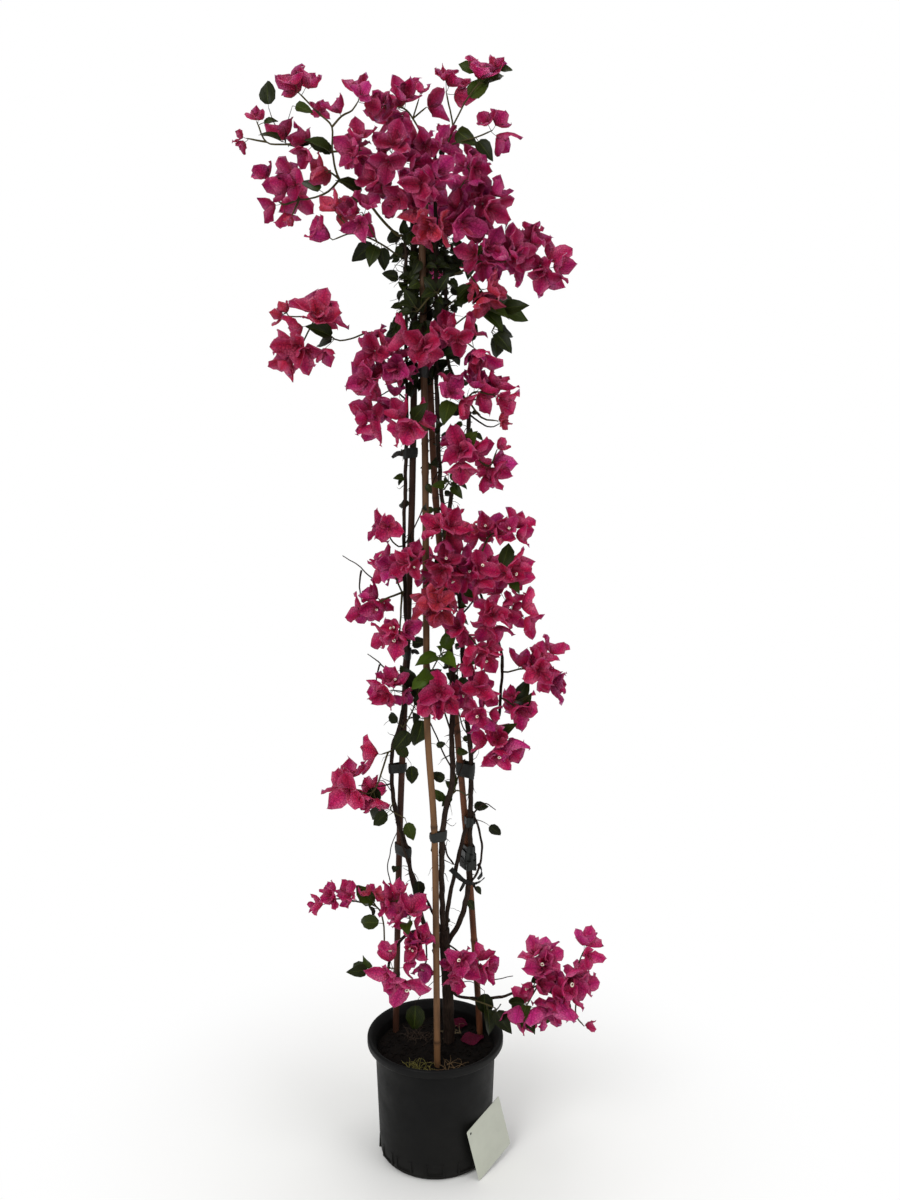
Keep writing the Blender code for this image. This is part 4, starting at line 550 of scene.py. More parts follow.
def beads(points, radii, step=0.4):
    """Balls strung along a route, as rows of x, y, z and radius, for clearance."""
    rows = []
    for a, b, ra, rb in zip(points, points[1:], radii, radii[1:]):
        count = max(1, math.ceil((b - a).length / step))
        for i in range(count):
            t = i / count
            rows.append((*(a + (b - a) * t), ra + (rb - ra) * t))
    rows.append((*points[-1], radii[-1]))
    return rows


class Space:
    """What is already placed: balls, each with the name of the piece it belongs to."""

    def __init__(self):
        self.rows = np.zeros((0, 4))
        self.owners = np.zeros(0, dtype=int)
        self.names = []

    def add(self, owner, rows):
        if owner not in self.names:
            self.names.append(owner)
        self.rows = np.vstack([self.rows, np.array(rows)])
        self.owners = np.concatenate([self.owners, np.full(len(rows), self.names.index(owner))])

    def room(self, rows, skip=()):
        """The smallest free distance from these balls to what other pieces hold, 9 where nothing is near."""
        rows = np.array(rows)
        mask = ~np.isin(self.owners, [self.names.index(n) for n in skip if n in self.names])
        middle = rows[:, :3].mean(axis=0)
        reach = np.abs(rows[:, :3] - middle).max() + 4
        held = self.rows[mask & (np.abs(self.rows[:, :3] - middle).max(axis=1) < reach)]
        if len(held) == 0:
            return 9.0
        gaps = np.linalg.norm(rows[:, None, :3] - held[None, :, :3], axis=2)
        return float((gaps - rows[:, None, 3] - held[None, :, 3]).min())

    def push(self, rows, own, clearance):
        """For each ball, how far and which way to move it so that it clears the other pieces."""
        index = self.names.index(own) if own in self.names else -1
        held = self.rows[self.owners != index]
        if len(held) == 0:
            return [None] * len(rows)
        moves = []
        for row in np.array(rows):
            away = row[:3] - held[:, :3]
            gaps = np.linalg.norm(away, axis=1) - held[:, 3] - row[3]
            k = int(gaps.argmin())
            short = clearance - gaps[k]
            if short <= 0:
                moves.append(None)
                continue
            direction = away[k] / max(np.linalg.norm(away[k]), 1e-6)
            moves.append(Vector(direction) * short)
        return moves


def bend_clear(points, radii, space, own, clearance, fixed=2):
    """Moves the points of a route, all but the first ones, until it clears what is placed."""
    points = [p.copy() for p in points]
    for _ in range(60):
        moved = False
        for i in range(len(points) - 1):
            if i + 1 < fixed:
                continue
            a, b = points[i], points[i + 1]
            count = max(2, math.ceil((b - a).length / 0.4))
            marks = [(j + 1) / count for j in range(count)]
            rows = [(*(a + (b - a) * t), radii[i] + (radii[i + 1] - radii[i]) * t) for t in marks]
            for t, move in zip(marks, space.push(rows, own, clearance)):
                if move is None:
                    continue
                moved = True
                points[i + 1] += move * max(t, 0.35) * 1.1
                if i >= fixed:
                    points[i] += move * (1 - t)
        if not moved:
            break
    return points


def point_at(route, radii, height, runner=False):
    """The point of a stem at a height, or at a distance out along x for a runner, with its radius."""
    axis = 0 if runner else 2
    for a, b, ra, rb in zip(route, route[1:], radii, radii[1:]):
        low, high = abs(a[axis]), abs(b[axis])
        if min(low, high) <= height <= max(low, high) and abs(high - low) > 1e-6:
            t = (height - low) / (high - low)
            return a + (b - a) * t, ra + (rb - ra) * t, (b - a).normalized()
    return route[-1], radii[-1], (route[-1] - route[-2]).normalized()


def aim_of(point, words):
    """The way the blooms or leaves at a point lean: outwards, a little up, and as the words say."""
    aim = Vector((point.x, point.y, 0))
    aim = aim.normalized() * 0.6 if aim.length > 0.1 else Vector((0, -0.6, 0))
    aim += Vector((0, 0, 0.35))
    for word in words.split():
        aim += Vector(AIMS.get(word, (0, 0, 0)))
    return aim.normalized()


def across(direction):
    """Two unit vectors square to a direction and to each other."""
    side = direction.cross(Vector((0, 0, 1)))
    if side.length < 0.2:
        side = direction.cross(Vector((0, 1, 0)))
    side.normalize()
    return side, side.cross(direction).normalized()


def turned(side, over, angle):
    """The way at an angle from `side` towards `over`."""
    return side * math.cos(angle) + over * math.sin(angle)


def level_way(angle):
    return Vector((math.cos(angle), math.sin(angle), 0))


def spread_about(aim, index, count, turn, wobble, rng):
    """One of `count` directions spread evenly over a cap about the aim, by the golden angle."""
    reach = (0.20, 0.55, 0.75, 1.00, 1.15, 1.30)[min(count, 6) - 1] * 1.35
    height = 1 - (1 - math.cos(reach)) * (index + 0.5) / count
    flat = math.sqrt(max(0.0, 1 - height * height))
    found = aim * height + turned(*across(aim), index * GOLDEN_ANGLE + turn) * flat
    found += Vector((rng.uniform(-1, 1), rng.uniform(-1, 1), rng.uniform(-1, 1))) * wobble
    return found.normalized()


def rib(length, start, end, at):
    """Distance from the axis and height along it of a bract's midrib, and the midrib's slope there.

    The slope, measured from the bloom's axis, turns evenly from `start` to `end`."""
    turn = end - start
    slope = start + turn * at
    out = length * (math.cos(start) - math.cos(slope)) / turn
    rise = length * (math.sin(slope) - math.sin(start)) / turn
    return out, rise, slope


def place_bloom(foot, direction, stalk, scale, openness, roll):
    """A bloom as a plain record: where its stalk starts and ends, and the form of its bracts."""
    return {"foot": foot.copy(), "base": foot + direction * stalk, "axis": direction.copy(), "roll": roll,
            "length": BRACT_LENGTH * scale, "half": BRACT_HALF_WIDTH * scale,
            "start": math.radians(74), "end": math.radians(-6 + 66 * openness)}


def bloom_point(bloom, lobe, at, angle, lift=0.0):
    """A point on a bract: `at` along it, turned by `angle` about the bloom's axis, raised by `lift`."""
    out, rise, slope = rib(bloom["length"], bloom["start"], bloom["end"], at)
    out -= math.cos(slope) * lift
    rise += math.sin(slope) * lift
    turn = bloom["roll"] + lobe * math.tau / 3 + angle
    return bloom["base"] + bloom["axis"] * rise + turned(*across(bloom["axis"]), turn) * out


def bloom_balls(bloom):
    """Balls that cover the bracts, for clearance."""
    size = bloom["half"] / BRACT_HALF_WIDTH
    rows = []
    for lobe in range(3):
        for at, share, radius in BRACT_COVER:
            out = max(rib(bloom["length"], bloom["start"], bloom["end"], at)[0], 0.1)
            turn = min(1.0, share * bloom["half"] / out)
            for way in ((-1, 1) if share else (0,)):
                rows.append((*bloom_point(bloom, lobe, at, way * turn, 0.1), radius * size))
    return rows


def stalk_balls(foot, base, radius):
    rows = beads([foot, base], [radius, radius], 0.3)
    return rows[2:] if len(rows) > 3 else rows[-1:]


def place_leaf(foot, direction, stalk, scale, droop, face):
    """A leaf as a plain record; its blade lies along the direction and looks to the side of `face`."""
    face = (face - direction * face.dot(direction)).normalized()
    return {"foot": foot.copy(), "base": foot + direction * stalk, "axis": direction.copy(), "face": face,
            "side": direction.cross(face), "length": LEAF_LENGTH * scale, "half": LEAF_HALF_WIDTH * scale,
            "droop": droop}


def leaf_point(leaf, at, across_it, lift=0.0):
    """A point on a leaf blade, which arches back along its length and folds up at its midrib."""
    bend = leaf["droop"] * at
    run = leaf["length"] * math.sin(bend) / leaf["droop"]
    drop = leaf["length"] * (1 - math.cos(bend)) / leaf["droop"]
    normal = leaf["face"] * math.cos(bend) + leaf["axis"] * math.sin(bend)
    middle = leaf["base"] + leaf["axis"] * run - leaf["face"] * drop
    lift += LEAF_FOLD * abs(across_it) * leaf["half"]
    return middle + leaf["side"] * (leaf["half"] * across_it) + normal * lift


def leaf_balls(leaf):
    """Balls that cover the blade, for clearance."""
    size = leaf["half"] / LEAF_HALF_WIDTH
    rows = []
    for at, share, radius in LEAF_COVER:
        for way in ((-1, 1) if share else (0,)):
            rows.append((*leaf_point(leaf, at, way * share), radius * size))
    return rows


def lay_stems(space):
    """The canes, then the stems bent clear of them. Returns both as name: (route, radii)."""
    canes = {}
    for name, route in CANES.items():
        points = curve_through(route, CANE_SPACING)
        canes[name] = (points, [CANE_RADIUS] * len(points))
        space.add(name, beads(*canes[name]))
    stems = {}
    for name, (foot, tip, route) in STEMS.items():
        points = curve_through(route, STEM_SPACING)
        radii = blend_radii(len(points), foot, tip)
        stems[name] = (bend_clear(points, radii, space, "woody_stems", 0.12), radii)
    for points, radii in stems.values():
        space.add("woody_stems", beads(points, radii))
    return canes, stems


def lay_twigs(stems, space):
    """The twigs of every spray: name: (branches as (route, radii), growing points, place on the stem)."""
    twigs = {}
    for name, (stem, height, branches) in SPRAYS.items():
        branches = [(start, [(*point, *PLAIN[len(point) - 3:]) for point in points])
                    for start, points in branches]
        route, radii = stems[stem]
        root, thick, along = point_at(route, radii, height, stem in RUNNERS)
        first = Vector(branches[0][1][0][:3])
        out = first - root
        out -= along * out.dot(along)
        out.normalize()
        blooms = sum(p[3] for _, points in branches for p in points)
        thickness = min(0.30, 0.17 + 0.006 * blooms)
        stub = root + out * (thick + 0.8)
        grown = []
        places = []
        for start, points in branches:
            heads = [Vector(p[:3]) for p in points]
            if start < 0:
                begin = [root + out * (thick + 0.04), stub] if not grown else [stub]
            else:
                begin = [places[start][0] + places[start][1] * 0.2]
            path = begin[:-1] + curve_through([begin[-1]] + heads, TWIG_SPACING)
            size = thickness if start < 0 else thickness * 0.75
            path_radii = blend_radii(len(path), size, max(TWIG_TIP, size * 0.5))
            path = bend_clear(path, path_radii, space, name, 0.10, fixed=2 if start < 0 else 1)
            grown.append((path, path_radii))
            for head, point in zip(heads, points):
                index = min(range(1, len(path)), key=lambda k: (path[k] - head).length)
                count = max(1, point[3] + point[4])
                back = path[index - 1] - path[index]
                back *= min(0.95, FOOT_SPACING * count / back.length) / (count + 0.6)
                places.append((path[index], back, *point[3:]))
        for path, path_radii in grown:
            space.add(name, beads(path, path_radii)[1:])
        twigs[name] = (grown, places, root)
    return twigs


def tube_shape(route, radii, sides):
    """Points and faces of a capped tube along a route, its rings turned as little as possible."""
    points = []
    side = None
    for i, middle in enumerate(route):
        ahead = route[min(i + 1, len(route) - 1)] - route[max(i - 1, 0)]
        ahead.normalize()
        side = across(ahead)[0] if side is None else (side - ahead * side.dot(ahead)).normalized()
        over = ahead.cross(side)
        points += [middle + turned(side, over, math.tau * k / sides) * radii[i] for k in range(sides)]
    faces = []
    for i in range(len(route) - 1):
        for k in range(sides):
            a, b = i * sides + k, i * sides + (k + 1) % sides
            faces.append((a, b, b + sides, a + sides))
    faces.append(tuple(reversed(range(sides))))
    faces.append(tuple(range((len(route) - 1) * sides, len(route) * sides)))
    return points, faces


def bloom_shape(bloom):
    """Points, bract faces and stalk faces of a bloom: one closed mesh of thin blades that share their roots.

    A full bloom's bracts are cut deep and have their belly; a simple one's are folded from flat faces."""
    base, axis = bloom["base"], bloom["axis"]
    ahead = (base - bloom["foot"]).normalized()
    notches = [bloom["roll"] + (lobe - 0.5) * math.tau / 3 for lobe in range(3)]
    points = [base + axis * BLOOM_HEART]
    points += [base + turned(*across(axis), a) * BLOOM_ROOT for a in notches]
    points += [bloom["foot"] + turned(*across(ahead), a) * STALK_FOOT for a in notches]
    rings = []
    for lobe in range(3):
        edge = [(NOTCH_AT if bloom["full"] else SIMPLE_NOTCH_AT, -math.tau / 6)]
        if bloom["full"]:
            wide_out = rib(bloom["length"], bloom["start"], bloom["end"], BELLY_AT)[0]
            angle = min(0.95, bloom["half"] / max(wide_out, 0.1))
            edge += [(BELLY_AT, -angle), (1.0, 0), (BELLY_AT, angle)]
        else:
            edge += [(1.0, 0)]
        rings.append(list(range(len(points), len(points) + len(edge))))
        points += [bloom_point(bloom, lobe, at, angle) for at, angle in edge]
    bracts = []
    stalk = [(4, 5, 6)]
    for lobe in range(3):
        after = (lobe + 1) % 3
        edge = rings[lobe] + [rings[after][0]]
        top = len(points)
        under = [1 + after, 1 + lobe] + edge
        if bloom["full"]:
            points.append(bloom_point(bloom, lobe, 0.5, 0, BRACT_THICKNESS / 2))
            points.append(bloom_point(bloom, lobe, 0.5, 0, -BRACT_THICKNESS / 2))
            bracts += [(b, a, top + 1) for a, b in zip(under, under[1:] + under[:1])]
        else:
            fold = points[edge[0]].lerp(points[edge[2]], 0.5).lerp(points[edge[1]], 0.12)
            points.append(fold + inward(bloom, lobe) * BRACT_THICKNESS)
            bracts += [(1 + lobe, 1 + after, edge[2]), (1 + lobe, edge[2], edge[0]),
                       (edge[0], edge[2], edge[1])]
        bracts += [(a, b, top) for a, b in zip([0] + edge, edge + [0])]
        stalk.append((1 + lobe, 1 + after, 4 + after, 4 + lobe))
    return points, bracts, stalk


def inward(bloom, lobe):
    """The way from a bract's middle to the inside of its bloom."""
    return (bloom_point(bloom, lobe, 0.6, 0, 1.0) - bloom_point(bloom, lobe, 0.6, 0)).normalized()


def leaf_shape(leaf):
    """Points, blade faces and stalk faces of an ovate, pointed leaf, folded at its midrib."""
    base, side, up = leaf["base"], leaf["side"], leaf["face"]
    points = []
    for spot, wide in ((leaf["foot"], STALK_FOOT), (base, STALK_FOOT * 1.6)):
        lift = up * (wide * 0.5)
        points += [spot - side * wide + lift, spot + side * wide + lift, spot - up * wide]
    outline = [(at, -wide) for at, wide in LEAF_OUTLINE] + [(1.0, 0)]
    outline += [(at, wide) for at, wide in reversed(LEAF_OUTLINE)]
    edge = [3] + list(range(len(points), len(points) + len(outline))) + [4]
    points += [leaf_point(leaf, at, wide) for at, wide in outline]
    top = len(points)
    points.append(leaf_point(leaf, 0.45, 0, LEAF_THICKNESS / 2))
    points.append(leaf_point(leaf, 0.45, 0, -LEAF_THICKNESS / 2))
    blade = [(a, b, top) for a, b in zip(edge, edge[1:] + edge[:1])]
    blade += [(b, a, top + 1) for a, b in zip([5] + edge, edge + [5])]
    return points, blade, [(0, 1, 2), (0, 3, 4, 1), (1, 4, 5, 2), (2, 5, 3, 0)]


def settle(make, shape, balls, own, space, twig_trees, kept):
    """Tries places until one is clear of every other piece and crosses nothing of its own spray."""
    grown = own + " blooms"
    best = None
    for attempt in range(TRIES):
        candidate = make(attempt)
        body = balls(candidate)
        rows = body + stalk_balls(candidate["foot"], candidate["base"], PEDICEL_RADIUS)
        if space.room(rows, skip=(own, grown)) < CLEARANCE:
            continue
        points, blades, stalk = shape(candidate)
        blade_tree = BVHTree.FromPolygons(points, blades)
        tree = BVHTree.FromPolygons(points, blades + stalk)
        crossings = sum(len(tree.overlap(other)) for other in kept)
        crossings += sum(len(blade_tree.overlap(other)) for other in twig_trees)
        if best is None or crossings < best[0]:
            best = (crossings, candidate, body, tree)
        if crossings == 0:
            break
    if best is None:
        return None
    space.add(grown, best[2])
    kept.append(best[3])
    return best[1]


def grow(twigs, space):
    """Blooms and leaves at every growing point: name: (blooms, leaves)."""
    grown = {}
    for name, (routes, places, _) in twigs.items():
        rng = random.Random(f"{SEED} {name}")
        twig_trees = [BVHTree.FromPolygons(*tube_shape(route, radii, 3)) for route, radii in routes]
        kept = []
        blooms, leaves = [], []
        for point, back, bloom_count, leaf_count, words in places:
            aim = aim_of(point, words)
            turn = rng.uniform(0, math.tau)
            big = 1.16 if "big" in words else 0.70 if "small" in words else 1.0
            reach = (0.5, 0.9, 1.3, 1.7, 2.1)[min(bloom_count, 5) - 1] * big

            for index in range(bloom_count):
                scale = big * rng.uniform(0.88, 1.08)
                young = "small" in words

                def make_bloom(attempt):
                    way = spread_about(aim, index, bloom_count, turn, 0.10 + 0.03 * attempt, rng)
                    openness = rng.uniform(0.05, 0.30) if young else rng.uniform(0.15, 0.85)
                    stalk = reach + rng.uniform(0, 0.05) * attempt
                    foot = point + back * (index + 0.6)
                    bloom = place_bloom(foot, way, stalk, scale, openness, rng.uniform(0, math.tau))
                    return bloom | {"full": bloom_count == 1 or "big" in words, "words": words}

                bloom = settle(make_bloom, bloom_shape, bloom_balls, name, space, twig_trees, kept)
                if bloom:
                    blooms.append(bloom)

            for index in range(leaf_count):
                scale = (0.62 if "small" in words else 1.0) * rng.uniform(0.85, 1.10)

                def make_leaf(attempt):
                    way = spread_about(aim, index, leaf_count + 1, turn + 1.9, 0.15 + 0.03 * attempt, rng)
                    foot = point + back * (bloom_count + index + 0.6)
                    stalk = 0.9 + rng.uniform(0, 0.04) * attempt
                    face = Vector((0.4 * aim.x + rng.uniform(-0.4, 0.4), 1.0 if point.y > 4 else -1.0,
                                   rng.uniform(0.1, 0.9)))
                    leaf = place_leaf(foot, way, stalk, scale, rng.uniform(0.35, 0.95), face)
                    return leaf | {"words": words}

                leaf = settle(make_leaf, leaf_shape, leaf_balls, name, space, twig_trees, kept)
                if leaf:
                    leaves.append(leaf)
        grown[name] = (blooms, leaves)
    return grown


def held_circles(held, heights, canes, stems):
    """The canes and stems that a tie holds, cut level at these heights, as middles and radii."""
    found = []
    for member in held:
        for height in heights:
            middle, radius, slant = point_at(*(canes | stems)[member], height)
            found.append((Vector((middle.x, middle.y, 0)), radius / max(0.6, slant.z)))
    return found


def tape_ring(name, canes, stems):
    """The outline of a tie, seen from above, round all that it holds over its height."""
    height, held, band, _ = TIES[name]
    circles = held_circles(held, [height + band * (step / 4 - 0.5) for step in range(5)], canes, stems)
    ways = [level_way(math.tau * i / TAPE_SIDES) for i in range(TAPE_SIDES)]
    reach = [max(c.dot(way) + radius for c, radius in circles) + (TAPE_GAP + TAPE) for way in ways]
    ring = []
    for n, m, h, k in zip(ways, ways[1:] + ways[:1], reach, reach[1:] + reach[:1]):
        turn = n.x * m.y - n.y * m.x
        ring.append(Vector(((h * m.y - k * n.y) / turn, (n.x * k - m.x * h) / turn, height)))
    return ring


def tape_tails(name, ring):
    """Where each loose end of a tie starts and ends: it leaves the band and hangs a little."""
    tails = []
    for degrees, length in TIES[name][3]:
        way = level_way(math.radians(degrees))
        start = max(ring, key=lambda p: p.dot(way))
        tails.append((start - way * TAPE * 0.5, start + way * length - Vector((0, 0, 0.35 * length))))
    return tails


def hold_ties(canes, stems, space):
    """Adds the ties to what is placed, and returns the loose ends of each by its name."""
    ties = {}
    for name in TIES:
        ring = tape_ring(name, canes, stems)
        rows = []
        for a, b in zip(ring, ring[1:] + ring[:1]):
            for t in (0.0, 0.5):
                for level in (-0.5, 0.0, 0.5):
                    rows.append((*(a.lerp(b, t) + Vector((0, 0, level * TIES[name][2]))), 0.12))
        ties[name] = tape_tails(name, ring)
        for start, end in ties[name]:
            rows += beads([start, end], [0.35, 0.35])
        space.add(name, rows)
    return ties


def grow_thorns(stems, space):
    """Thorns up the stems, each as (foot, tip), where the twigs leave them room."""
    rng = random.Random(SEED)
    thorns = []
    for stem in THORNY:
        route, radii = stems[stem]
        low, high = route[0].z + 6, route[-1].z - 6
        for step in range(int((high - low) / THORN_SPACING)):
            height = low + (step + rng.uniform(0.2, 0.8)) * THORN_SPACING
            if any(abs(height - tie[0]) < 3 for tie in TIES.values()):
                continue
            point, radius, along = point_at(route, radii, height)
            for _ in range(TRIES):
                out = turned(*across(along), rng.uniform(0, math.tau))
                tip = point + (out + Vector((0, 0, -0.25))).normalized() * (radius + THORN_LENGTH)
                marks = [(*point.lerp(tip, t), 0.12) for t in (0.4, 0.7, 1.0)]
                if space.room(marks, skip=("woody_stems",)) > 0.2:
                    thorns.append((point + out * radius * 0.3, tip))
                    space.add("woody_stems", [(*tip, 0.05), (*point.lerp(tip, 0.7), 0.1)])
                    break
    return thorns


def linear(hex_colour):
    """An sRGB hex colour as linear red, green, blue and alpha."""
    parts = [int(hex_colour[i:i + 2], 16) / 255 for i in (0, 2, 4)]
    return (*[c / 12.92 if c <= 0.04045 else ((c + 0.055) / 1.055) ** 2.4 for c in parts], 1.0)


def toned(colour, share):
    """A colour made darker or lighter by a share."""
    return (*[min(1.0, c * share) for c in colour[:3]], 1.0)


def fill(node, *values, **named):
    """Fills a node's sockets: plain values in order, others by name; a node stands for its first output."""
    free = [socket for socket in node.inputs if socket.enabled]
    pairs = [*zip(free, values), *[(node.inputs[key.replace("_", " ")], named[key]) for key in named]]
    for socket, value in pairs:
        if isinstance(value, bpy.types.Node):
            value = next(output for output in value.outputs if output.enabled)
        if isinstance(value, bpy.types.NodeSocket):
            node.id_data.links.new(value, socket)
        else:
            socket.default_value = value


def add_node(tree, kind, *values, **named):
    """Adds a shader node with its settings, which are in small letters, and fills its sockets."""
    made = tree.nodes.new("ShaderNode" + kind)
    for key in [key for key in named if key.islower()]:
        setattr(made, key, named.pop(key))
    fill(made, *values, **named)
    return made


def new_finish(name, roughness, ior=1.45, **values):
    """A new material, the function that adds its nodes, and its shader with what is the same all over."""
    made = bpy.data.materials.new(name)
    made.use_nodes = True
    shader = made.node_tree.nodes["Principled BSDF"]
    fill(shader, Roughness=roughness, IOR=ior, **values)
    return made, partial(add_node, made.node_tree), shader


def moulded_polypropylene(colour):
    """Injection-moulded black polypropylene: a fine satin grain, greyed by dust and scuffed, and lighter low
    down, partly with dust and partly as a painted highlight on the slot frames.
    """
    made, add, shader = new_finish("moulded_polypropylene", 0.5, 1.49, Specular_IOR_Level=0.14)
    place = add("TexCoord").outputs["Object"]
    scuffs = add("TexNoise", place, Scale=22.0, Detail=8.0, Roughness=0.7)
    dust = add("TexNoise", place, Scale=5.0, Detail=5.0, Roughness=0.6)
    share = add("MapRange", dust, 0.42, 0.75, 0.0, 0.55)
    # Lighter below about 4.5 cm: partly dust, partly a painted highlight that brings out the slot frames.
    low = add("MapRange", add("SeparateXYZ", place).outputs[2], 0.045, 0.005, 0.0, 0.55)
    dust_and_highlight = add("Math", share, low, operation="MAXIMUM")
    body = add("Mix", dust_and_highlight, colour, linear("1a1916"), data_type="RGBA")
    gloss = add("MapRange", scuffs, 0.3, 0.7, 0.45, 0.68)
    grain = add("TexNoise", place, Scale=900.0, Detail=2.0)
    bump = add("Bump", Strength=0.12, Distance=0.3 * MM, Height=grain)
    fill(shader, Base_Color=body, Roughness=gloss, Normal=bump)
    return made


def potting_soil():
    """Damp potting soil: near-black peat with brown fibres and a few paler bits, rough all over."""
    made, add, shader = new_finish("potting_soil", 0.95, 1.4, Specular_IOR_Level=0.15)
    place = add("TexCoord").outputs["Object"]
    clods = add("TexNoise", place, Scale=130.0, Detail=9.0, Roughness=0.75)
    peat = add("ValToRGB", clods)
    for stop, position, colour in zip(peat.color_ramp.elements, (0.35, 0.72), ("030202", "140e09")):
        stop.position = position
        stop.color = linear(colour)
    pale = add("MapRange", add("TexVoronoi", place, Scale=420.0), 0.10, 0.05, 0.0, 0.5)
    body = add("Mix", pale, peat, linear("3a2c1e"), data_type="RGBA")
    bump = add("Bump", Strength=0.8, Distance=1.2 * MM, Height=clods)
    fill(shader, Base_Color=body, Normal=bump)
    return made


def bamboo(name, colour):
    """A weathered bamboo cane: fibres of half a millimetre along it, grey blotches, dark round its rings, and
    painted shade that darkens it towards its top.
    """
    made, add, shader = new_finish(name, 0.6, 1.5, Specular_IOR_Level=0.2)
    place = add("TexCoord").outputs["Object"]
    fibres = add("TexNoise", add("Mapping", place, Scale=(1.0, 1.0, 0.025)), Scale=1400.0, Detail=4.0)
    blotches = add("TexNoise", add("Mapping", place, Scale=(1.0, 1.0, 0.3)), Scale=60.0, Detail=6.0)
    share = add("MapRange", blotches, 0.40, 0.68, 0.0, 0.75)
    dark = toned(colour, 0.35)
    streaks = add("Mix", fibres, toned(colour, 1.45), colour, data_type="RGBA")
    stained = add("Mix", share, streaks, dark, data_type="RGBA")
    ring = add("Attribute", attribute_name="ring").outputs["Fac"]
    # Painted shade: darker from 0.8 m up to 1.4 m, where the crown shades the canes.
    shade_darkened = add("MapRange", add("SeparateXYZ", place).outputs[2], 0.8, 1.4, 0.0, 0.75)
    shaded = add("Math", ring, shade_darkened, operation="MAXIMUM")
    body = add("Mix", shaded, stained, dark, data_type="RGBA")
    bump = add("Bump", Strength=0.35, Distance=0.4 * MM, Height=fibres)
    fill(shader, Base_Color=body, Normal=bump)
    return made


def woody_bark(name, colour, ridge):
    """Bark of a young woody stem: long fissures, darker in the cracks, with greyer ridges."""
    made, add, shader = new_finish(name, 0.85, 1.45, Specular_IOR_Level=0.15)
    place = add("TexCoord").outputs["Object"]
    along = add("Mapping", place, Scale=(1.0, 1.0, 0.22))
    cracks = add("TexNoise", along, Scale=420.0, Detail=6.0, Roughness=0.65)
    patches = add("TexNoise", place, Scale=45.0, Detail=4.0)
    body = add("Mix", add("MapRange", cracks, 0.35, 0.70), colour, ridge, data_type="RGBA")
    worn = add("MapRange", patches, 0.50, 0.75, 0.0, 0.45)
    grey = add("Mix", worn, body, linear("40352c"), data_type="RGBA")
    bump = add("Bump", Strength=0.7, Distance=0.6 * MM, Height=cracks)
    fill(shader, Base_Color=grey, Normal=bump)
    return made


def tie_tape(colour):
    """Soft vinyl tie tape: dark grey-green, with a little shine and crumpled along its length."""
    made, add, shader = new_finish("vinyl_tie_tape", 0.5, 1.52, Specular_IOR_Level=0.3)
    creases = add("TexNoise", add("TexCoord").outputs["Object"], Scale=160.0, Detail=5.0)
    share = add("MapRange", creases, 0.35, 0.70)
    body = add("Mix", share, colour, linear("1c1f1c"), data_type="RGBA")
    bump = add("Bump", Strength=0.5, Distance=0.8 * MM, Height=creases)
    fill(shader, Base_Color=body, Normal=bump)
    return made


def coated_card(colour):
    """Coated card: smooth, off-white and a little shiny, with a faint mottle of handling."""
    made, add, shader = new_finish("coated_card", 0.38, 1.5)
    place = add("TexCoord").outputs["Object"]
    mottle = add("TexNoise", place, Scale=30.0, Detail=6.0)
    share = add("MapRange", mottle, 0.45, 0.75, 0.0, 0.6)
    body = add("Mix", share, colour, toned(colour, 0.85), data_type="RGBA")
    fibres = add("TexNoise", place, Scale=1500.0, Detail=2.0)
    bump = add("Bump", Strength=0.08, Distance=0.1 * MM, Height=fibres)
    fill(shader, Base_Color=body, Normal=bump)
    return made


def papery_bract(name, colour, young, edge):
    """A papery bract: thin, netted with fine veins, paler to its edge and deeper pink in its folds.

    The tint attribute holds how young and red it is, how lilac, a draw of its own and, as alpha, how deep: a
    random deeper tone plus painted shade over the crown."""
    made, add, shader = new_finish(name, 0.66, 1.4, Subsurface_Weight=0.35, Subsurface_Scale=0.01,
                                   Specular_IOR_Level=0.08, Subsurface_Radius=(1.0, 0.25, 0.35))
    tint = add("Attribute", attribute_name="tint")
    red, lilac, draw = add("SeparateColor", tint.outputs["Color"]).outputs
    blade = add("UVMap", uv_map="blade")
    off_middle = add("Math", add("SeparateXYZ", blade).outputs[0], 0.5, operation="SUBTRACT")
    off_middle = add("Math", off_middle, operation="ABSOLUTE")
    # Darker by the tint's alpha: a random deeper tone, and painted shade over the crown.
    shade_darkened = add("Mix", tint.outputs["Alpha"], colour, linear("6a1028"), data_type="RGBA")
    faded = add("Mix", lilac, shade_darkened, linear("b5266c"), data_type="RGBA")
    reddened = add("Mix", red, faded, young, data_type="RGBA")
    to_edge = add("MapRange", off_middle, 0.10, 0.52, 0.0, 0.42)
    paled = add("Mix", to_edge, reddened, edge, data_type="RGBA")
    net = add("TexVoronoi", add("Mapping", blade, Scale=(5.0, 7.0, 1.0)), Scale=1.6, Randomness=0.9,
              feature="DISTANCE_TO_EDGE")
    veins = add("MapRange", net, 0.12, 0.0, 0.0, 0.55)
    midrib = add("MapRange", off_middle, 0.04, 0.0, 0.0, 0.7)
    lines = add("Math", veins, midrib, operation="MAXIMUM")
    veined = add("Mix", lines, paled, linear("58082a"), data_type="RGBA")
    bright = add("MapRange", draw, To_Min=0.58, To_Max=1.30)
    body = add("VectorMath", veined, bright, operation="SCALE")
    crinkle = add("TexNoise", blade, Scale=9.0, Detail=5.0, Roughness=0.6)
    height = add("Math", crinkle, veins, operation="SUBTRACT")
    bump = add("Bump", Strength=0.9, Distance=1.5 * MM, Height=height)
    fill(shader, Base_Color=body, Normal=bump)
    return made


